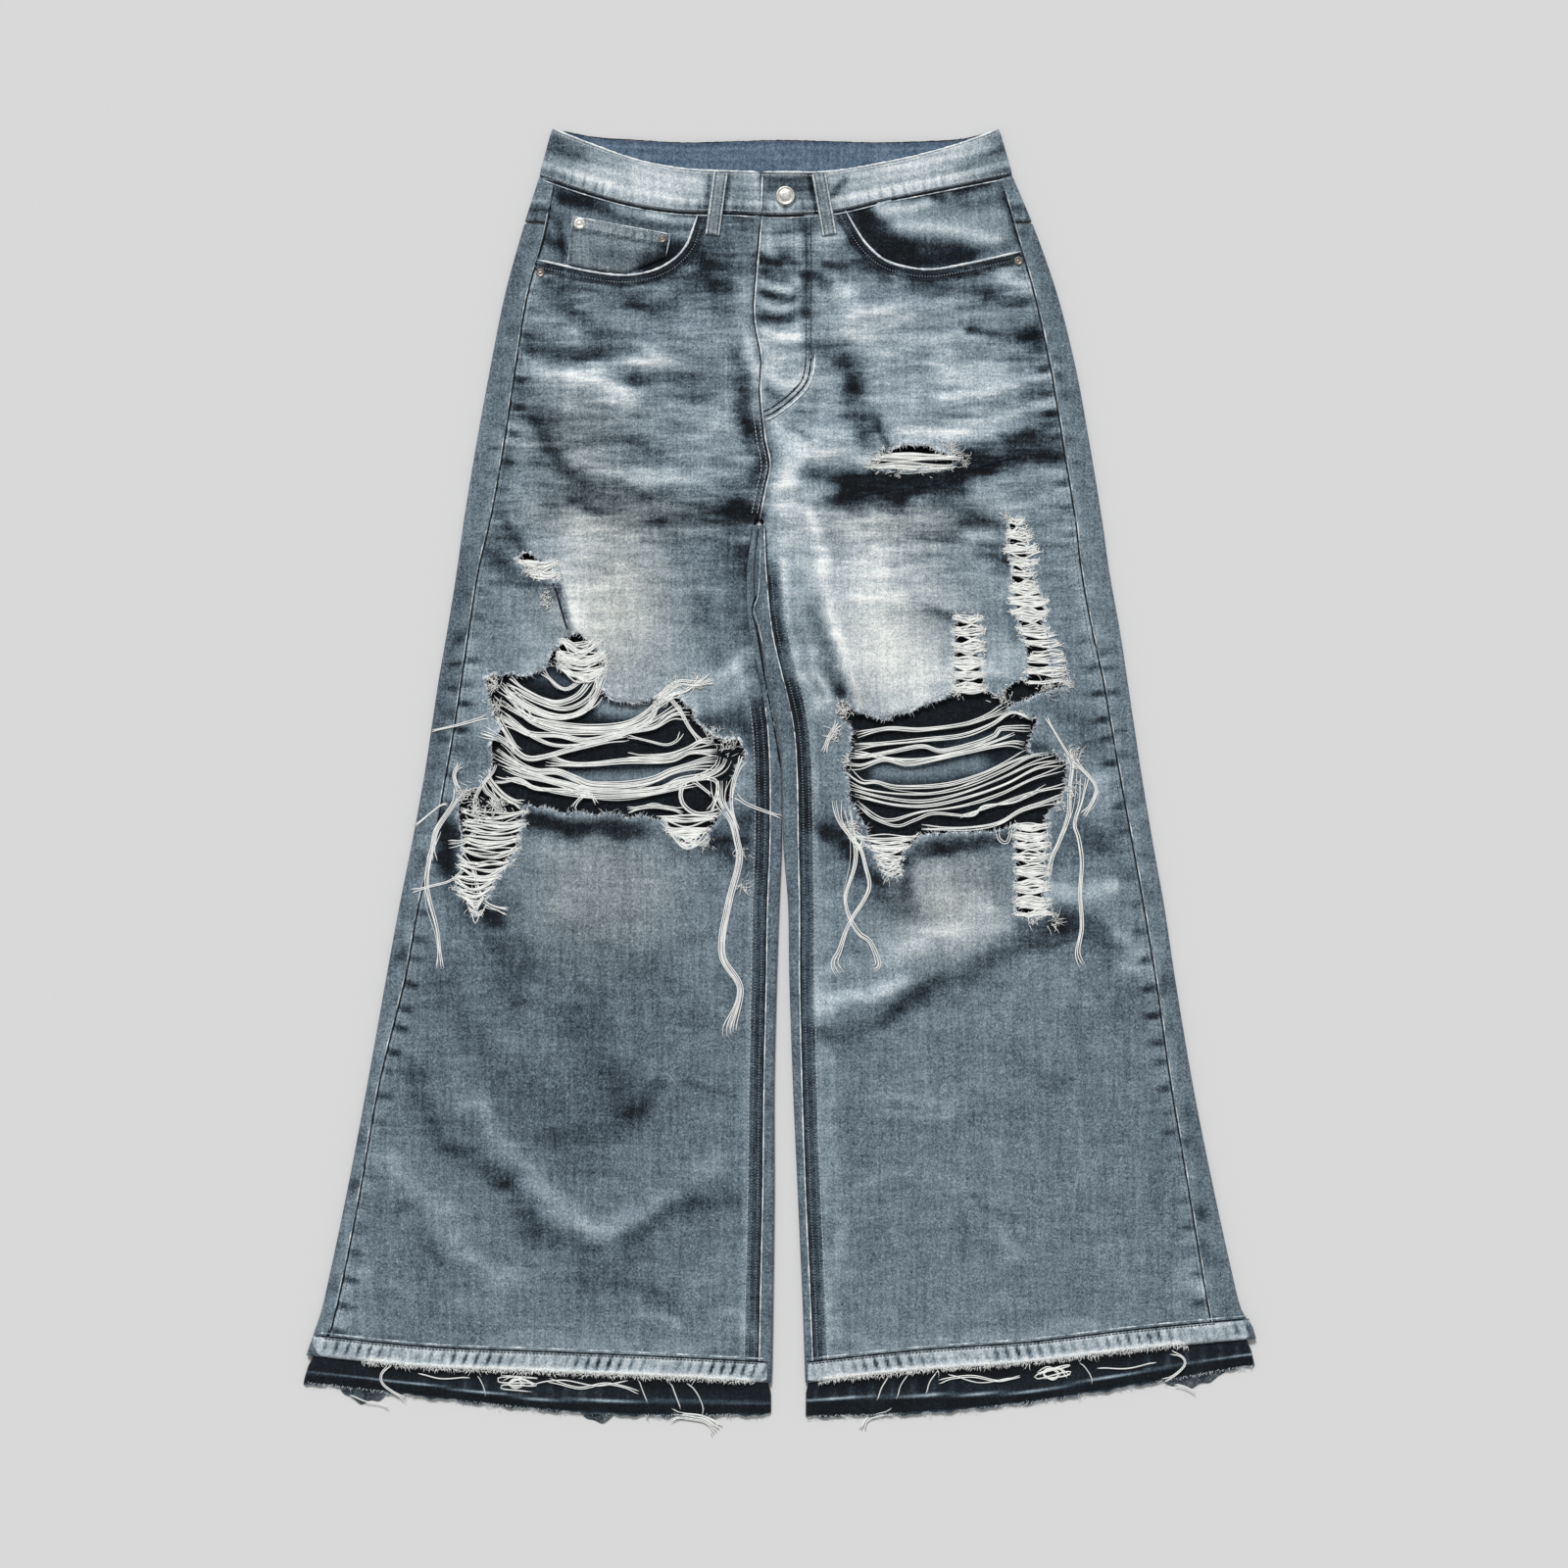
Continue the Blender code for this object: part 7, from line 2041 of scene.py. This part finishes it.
# %% Ladders
LADDERS = table(
    "node leg left right pitch bow",
    ("thread_ladder_left_outer", "left",
     line_of(192,215, 191,200, 190,185, 196,177, 195,159, 193,139, 201,130, 201,113, 210,106, 206,76),
     line_of(200,216, 206,203, 216,181, 211,173, 213,156, 223,142, 218,130, 227,115, 235,105, 238,78),
     2.0, -1.6),
    ("thread_ladder_left_inner", "left",
     line_of(147,134, 147,110, 146,90, 147,66),
     line_of(166,134, 168,110, 168,88, 170,68), 1.8, -1.2),
    ("thread_ladder_left_lower", "left",
     line_of(198,-40, 197,-62, 199,-90, 198,-119),
     line_of(222,-38, 223,-62, 222,-92, 225,-118), 1.8, -1.5),
    ("thread_ladder_left_upper", "left",
     line_of(94,268, 80,263, 72,257, 98,251),
     line_of(126,268, 150,264, 142,257, 120,251), 1.5, 0.0),
    ("thread_ladder_right_lower", "right",
     line_of(-264,-24, -263,-48, -263,-64, -270,-82, -273,-94, -269,-99, -261,-108, -257,-120),
     line_of(-213,-28, -215,-39, -221,-50, -220,-64, -230,-77, -239,-90, -246,-102, -253,-120), 2.7, -6.0),
    ("rip_lobe_right", "right",
     line_of(-179,117, -185,102, -183,90, -176,80),
     line_of(-155,114, -149,100, -146,92, -150,84), 1.5, -7.0),
    ("rip_corner_right", "right",
     line_of(-99,-34, -95,-44, -86,-54, -80,-61),
     line_of(-52,-32, -62,-43, -68,-51, -74,-61), 1.8, -3.0),
    ("tear_right", "right",
     line_of(-222,183, -216,176, -206,166, -198,161),
     line_of(-191,180, -187,172, -186,164, -187,160), 1.3, -3.0),
    ("rip_corner_left", "left",
     line_of(60,-48, 72,-58, 84,-72, 88,-86),
     line_of(112,-50, 107,-60, 99,-72, 98,-86), 2.1, -2.5),
)


def laid(lines):
    """Lifts lines given as heights over the cloth on to the upper cloth, all at once."""
    points = np.vstack(lines)
    points[:, 2] += on_front(points)[:, 2]
    return np.split(points, np.cumsum([len(line) for line in lines])[:-1])


def lay_ladder(ladder, seed):
    """Short wavy threads between two edges, gathered into bunches with loose ends between them."""
    rng = np.random.default_rng(seed)
    left_edge, right_edge = ladder.left, ladder.right
    high = min(left_edge[:, 1].max(), right_edge[:, 1].max())
    low = max(left_edge[:, 1].min(), right_edge[:, 1].min())
    lines, radii = [], []
    y, knot = high - 0.5, high - 3
    while y > low:
        if y < knot - 4.5:
            knot -= rng.uniform(8, 14)
            side = rng.uniform(0.25, 0.75)
        ends = [np.interp(y, edge[::-1, 1], edge[::-1, 0]) for edge in (left_edge, right_edge)]
        ends = [ends[0] - rng.uniform(-2.5, 2.5), ends[1] + rng.uniform(-2.5, 2.5)]
        t = np.linspace(0, 1, max(6, int((ends[1] - ends[0]) / 3.4)))
        side = side if knot < high - 3 else 0.5
        drawn = (knot - y) * 0.55 * (1 - bell(t - side, 0.30)) * rng.uniform(0.6, 1.1)
        wave = rng.uniform(0.2, 1.0) * np.sin(t * rng.uniform(3, 8) + rng.uniform(0, 6))
        bow = ladder.bow * rng.uniform(0.2, 1.4) * np.sin(math.pi * t ** rng.uniform(0.7, 1.4))
        route = places(ends[0] + (ends[1] - ends[0]) * t, y + wave + bow + drawn)
        lines.append(raised(route, 0.4 - 0.5 * np.sin(math.pi * t) + rng.uniform(-0.4, 0.9)))
        radii.append(rng.uniform(0.46, 0.80))
        for end, way in ((0, -1), (-1, 1)):
            for _ in range(2):
                hair = np.linspace(0, 1, 4)[:, None]
                reach = np.array([way * rng.uniform(0.5, 3.2), rng.normal(0, 1.8)])
                flat = route[end] + reach * hair + rng.normal(0, 0.5, (4, 2))
                lines.append(raised(flat, 0.4 + 0.6 * np.sin(3 * hair[:, 0])))
                radii.append(0.26)
        y -= ladder.pitch * rng.choice([0.25, 0.36, 0.5, 0.75])
    made = tubes(ladder.node + "_wefts", laid(lines), radii, weft, 4)
    if ladder.node.startswith("thread_ladder"):
        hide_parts(ladder.node)
    print(made.name, len(lines), "wefts")


for number, ladder in enumerate(LADDERS):
    lay_ladder(ladder, 60 + number)

# %% [markdown]
# ## Frayed edges
# A torn edge of denim frays into short hairs: white ones of the weft and bluish ones of the warp.

# %% Fringe of the rips and the raw hems
def fringe(name, loops, pitch, reach, inward, seed, height, radius, material=fuzz):
    """Short bent hairs along edges; `inward` turns them to the left of each line's way."""
    rng = np.random.default_rng(seed)
    lines, radii = [], []
    for loop in loops:
        loop = even(loop, pitch)
        ahead = ahead_of(loop)
        out = inward * places(-ahead[:, 1], ahead[:, 0])
        z = height(loop)
        for n in range(len(loop)):
            if rng.uniform() < 0.22:
                continue
            length = rng.uniform(*reach) * (1.7 if rng.uniform() < 0.10 else 1)
            aim = out[n] + ahead[n] * rng.normal(0, 0.55)
            aim /= np.linalg.norm(aim)
            bent = np.array([-aim[1], aim[0]]) * rng.normal(0, 0.35)
            t = np.linspace(0, 1, 4)[:, None]
            root = loop[n] - out[n] * rng.uniform(0.2, 1.6) + rng.normal(0, 0.3, 2)
            flat = root + (aim * t + bent * t ** 2) * length
            drop = 0.35 - rng.uniform(-0.3, 1.0) * t[:, 0] ** 2
            lines.append(raised(flat, np.maximum(z[n] + drop, 0.3)))
            radii.append(radius * rng.uniform(0.7, 1.3) * np.array([1, 1, 0.8, 0.4]))
    tubes(name, lines, radii, material, 3)
    print(name, len(lines), "hairs")


def turning(loop):
    """1 where a closed loop runs anticlockwise, -1 where it runs clockwise."""
    after = np.roll(loop, -1, axis=0)
    return 1.0 if (loop[:, 0] * after[:, 1] - after[:, 0] * loop[:, 1]).sum() > 0 else -1.0


def rolled_edges(leg, loops):
    """The torn edge itself: two soft rolls of fuzz, pale above a rip and bluer below it."""
    lines, radii, tones = [], [], []
    for number, loop in enumerate(loops):
        line = even(loop, 0.9)
        above = step(0.5 - ahead_of(line)[:, 0] * 0.9)
        rng = np.random.default_rng(70 + number + leg.way)
        for away, size in ((0.2, 0.75), (-1.0, 0.60)):
            wave = away + 0.5 * noise(line, 3.0, 3.0, 13 + number)
            flat = shifted(line, wave[:, None])
            grain = rng.uniform(0.5, 1.5, len(line))
            lines.append(raised(flat, on_front(flat)[:, 2] + 0.2))
            radii.append(size * grain)
            tones.append(np.clip(0.50 + 0.30 * above + 0.40 * noise(line, 1.6, 1.6, 17), 0.1, 0.97))
    tubes(f"rip_edges_{leg.name}", lines, radii, washed, 4, tones)


def over(lift):
    """A function that gives the height of lines so far over the upper cloth."""
    return lambda line: on_front(line)[:, 2] + lift


for leg in LEGS:
    loops = [closed(loop if turning(loop) > 0 else loop[::-1]) for loop in TORN[leg.name]]
    rolled_edges(leg, loops)
    way = leg.way
    fringe(f"rip_fringe_{leg.name}", loops, 0.6, (1.8, 4.8), 1.0, 21 + way, over(0.0), 0.24)
    fringe(f"rip_nap_{leg.name}", loops, 1.0, (1.0, 2.6), -1.0, 31 + way, over(0.35), 0.24)
    x = np.linspace(leg.line("outer", -505) - way * 3, leg.line("inner", -505) + way * 3, 200)
    fringe(f"raw_hem_fringe_{leg.name}", [places(x, leg.hem("raw", x))], 0.9, (1.0, 3.2), way,
           41 + way, lambda line: np.full(len(line), 2.6), 0.22)
    slit = next(s for s in SLITS if s.leg == leg.name)
    x = np.linspace(slit.x_low, slit.x_high, 300)
    for number in range(3):
        y = leg.hem("worn", x) + 1.6 - number * 1.3 + 0.5 * np.sin(x / 4.0 + number)
        fringe(f"worn_fold_fringe_{leg.name}_{number + 1}", [places(x, y)[::-way]], 0.9,
               (1.2, 3.4), way, 51 + way + 7 * number, over(0.7), 0.30, weft)

# %% Tufts where threads have bunched
TUFTS = table(
    "x y spread hairs length aim",
    (-88, 74, 6, 50, 7, 0.4), (-72, 77, 5, 40, 7, -0.1), (-100, 62, 5, 30, 6, 1.2),
    (-240, 74, 7, 60, 8, 2.6), (-236, 56, 6, 50, 7, 3.0), (-150, 96, 5, 50, 6, -0.4),
    (-182, 92, 5, 40, 6, 3.6), (-46, 22, 8, 50, 8, 0.6), (-58, 32, 6, 40, 7, 0.9),
    (-260, -14, 7, 50, 9, -2.4), (-252, -30, 8, 60, 9, -2.0), (-236, -26, 8, 50, 8, -1.2),
    (150, 70, 5, 30, 5, -1.5), (-228, -72, 5, 30, 8, -0.2), (-34, -64, 4, 20, 9, -0.5),
    (-32, -92, 3, 16, 12, -1.0), (-206, 172, 6, 50, 7, -0.8), (-196, 150, 5, 26, 6, -1.5),
    (-196, 143, 5, 30, 5, 3.0), (-64, -58, 5, 40, 7, -0.6), (54, 52, 6, 50, 8, 2.4),
    (48, 34, 5, 40, 8, 3.0), (56, 10, 4, 30, 6, 3.0), (186, 62, 6, 40, 7, 1.4), (222, 70, 7, 50, 8, 0.6),
    (238, 74, 6, 40, 9, 0.2), (244, 12, 7, 60, 9, 0.3), (240, -12, 6, 50, 9, -0.2),
    (232, -26, 6, 40, 8, -0.6), (62, -44, 6, 50, 8, -2.2), (92, -84, 5, 30, 8, -1.5),
    (212, -120, 6, 40, 8, -1.4), (228, -122, 6, 30, 12, 0.0), (196, -46, 5, 30, 7, -1.5),
    (190, 214, 4, 20, 6, 2.0), (206, 200, 4, 20, 7, 0.4), (82, 262, 7, 50, 8, 2.9),
    (140, 269, 4, 40, 16, 0.8), (152, 260, 5, 30, 7, 0.2), (100, 254, 6, 30, 4, -1.5),
    (122, 255, 6, 30, 4, -1.5), (156, 132, 6, 24, 6, 1.6),
)
lines, radii = [], []
rng = np.random.default_rng(77)
for tuft in TUFTS:
    for _ in range(tuft.hairs):
        root = np.array([tuft.x, tuft.y]) + rng.normal(0, tuft.spread / 2, 2)
        aim = tuft.aim + rng.normal(0, 0.8)
        t = np.linspace(0, 1, 5)
        turn = aim + rng.normal(0, 1.1) * t
        length = tuft.length * rng.uniform(0.4, 1.3)
        reach = np.cumsum(places(np.cos(turn), np.sin(turn)), axis=0) * length / 6
        lines.append(raised(root + reach, 0.5 + rng.uniform(0, 1.4) * np.sin(math.pi * t)))
        radii.append(rng.uniform(0.22, 0.40) * np.array([1, 1, 0.95, 0.8, 0.4]))
tubes("thread_tufts", laid(lines), radii, weft, 3)
print("tufts of", len(lines), "hairs")

# %% [markdown]
# ## Button and rivets
# The button is a plain domed shank button of pale metal, with a rolled rim. The rivets are small
# domed caps: the coin pocket's front one has a pale ring, and the others have darkened.

# %% Metal
def metal(name, colour, worn, roughness):
    material, shader, place = start_material(name, roughness, 0.85)
    spots = (place.noise(0.5, 3.0, 0.6) * 0.9 + 0.45).clamp()
    link(spots.mix(colour, worn), shader, "Base Color")
    return material


pale = metal("pale_metal_fine", linear(168, 168, 164), linear(222, 220, 212), 0.36)
dull = metal("dark_metal_fine", linear(84, 80, 74), linear(140, 134, 124), 0.42)


def turned(name, middle, seat, size, profile, material, sides):
    """A round piece from its profile: shares of its radius, and heights over its seat."""
    angle = np.arange(sides) * 2 * math.pi / sides
    points, faces = [], []
    for share, height in profile:
        radius = share * size
        points.append(places(middle[0] + radius * np.cos(angle), middle[1] + radius * np.sin(angle),
                             seat + height))
    for r in range(len(profile) - 1):
        for c in range(sides):
            d = (c + 1) % sides
            faces.append((r * sides + c, r * sides + d, (r + 1) * sides + d, (r + 1) * sides + c))
    faces.append(tuple(range(sides - 1, -1, -1)))
    faces.append(tuple(range((len(profile) - 1) * sides, len(profile) * sides)))
    made = piece(name, np.concatenate(points), faces, [material], {})
    return made


BUTTON, BUTTON_RADIUS = (4.0, 483.0), 8.0
BUTTON_PROFILE = line_of(0.5,0, 0.86,0.7, 0.98,1.5, 1,2.1, 0.96,2.7, 0.88,2.95, 0.8,2.75, 0.74,2.35,
                         0.66,2.35, 0.56,2.75, 0.4,3, 0.2,3.1, 0.04,3.12)
button = turned("waist_button_metal", BUTTON, BAND_HEIGHT + BAND_RISE + GAP, BUTTON_RADIUS,
                BUTTON_PROFILE, pale, 64)
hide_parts("waist_button")
RIVETS = table(
    "node x y seat radius pale",
    ("rivet_coin_outer", -168, 460, COIN_TOP, 5.0, True),
    ("rivet_coin_inner", -99, 447, COIN_TOP, 3.2, False),
    ("rivet_pocket_right", -201, 419, LEG_HEIGHT, 3.8, False),
    ("rivet_pocket_left", 199, 429, LEG_HEIGHT, 3.8, False),
)
RIVET_PROFILE = line_of(1,0, 1,0.5, 0.93,0.95, 0.78,1.15, 0.58,1.05, 0.46,0.75, 0.34,0.8, 0.2,1.05,
                        0.03,1.12)
for rivet in RIVETS:
    material, slot = (pale, "pale_metal") if rivet.pale else (dull, "dark_metal")
    made = turned(rivet.node + "_metal", (rivet.x, rivet.y), rivet.seat + GAP, rivet.radius,
                  RIVET_PROFILE, material, 32)
    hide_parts(rivet.node)
print("button and", len(RIVETS), "rivets")

# %% [markdown]
# ## The cut of every piece
# Each cloth piece was cut flat before it was sewn: where it is a net of rows, its sides are measured
# along the cloth, round the folds too, and otherwise across its extent; its area is that of its faces.

# %% Sheets
RESTS = {
    "front_panel": ["back_panel", "pocket_facing_cloth"], "back_panel": [], "yoke_panel": [],
    "hem_fold": ["front_panel"], "hem_let_down": [], "pocket_facing_cloth": ["back_panel"],
    "back_pocket_patch": [],
}
ALONE = {
    "waistband_strip": ["yoke_panel_right", "yoke_panel_left"],
    "coin_pocket_cloth": ["pocket_facing_cloth_right"], "fly_facing_cloth": ["back_panel_left"],
    "raw_edge_flap_1": ["hem_let_down_right"], "raw_edge_flap_2": ["hem_let_down_right"],
    "raw_edge_flap_3": ["hem_let_down_left"],
}


def cut_size(made):
    """Width, length and area of a piece laid out, from its rows where it is a net of points."""
    mesh = made.data
    points = np.array([v.co for v in mesh.vertices])
    area = sum(face.area for face in mesh.polygons)
    first = sorted(mesh.polygons[0].vertices)
    columns = first[-1] - first[0] - 1
    net = not made.name.startswith(("front_panel", "pocket_facing", "coin"))
    if net and len(first) == 4 and len(points) % columns == 0:
        grid = points.reshape(-1, columns, 3)
        across = np.linalg.norm(np.diff(grid, axis=1), axis=2).sum(axis=1).max()
        along = np.linalg.norm(np.diff(grid, axis=0), axis=2).sum(axis=0).max()
    else:
        across, along = np.ptp(points[:, 0]), np.ptp(points[:, 1])
    along = max(along, 1.004 * area / across)
    return round(float(across), 5), round(float(along), 5), round(float(area), 6)


sheets = dict(ALONE)
for stem, below in RESTS.items():
    for leg in LEGS:
        sheets[f"{stem}_{leg.name}"] = [f"{name}_{leg.name}" for name in below]
for loop in FRONT_LOOPS + BACK_LOOPS:
    sheets[loop.name + "_strip"] = ["waistband_strip"]
for name, below in sorted(sheets.items()):
    made = bpy.data.objects[name]
    width, length, area = cut_size(made)
    print(f"{name}: {width * 1000:.0f} x {length * 1000:.0f} mm, {area:.4f} square metres")

# %% [markdown]
# ## Finish
# The scene counts the triangles of every visible mesh and prints the total and the six largest.

# %% Sizes and finish
counts = {o.name: sum(len(p.vertices) - 2 for p in o.data.polygons) for o in bpy.data.objects
          if o.type == "MESH" and o.visible_get()}
print(sum(counts.values()), "triangles,", "most:", sorted(counts.items(), key=lambda c: -c[1])[:6])
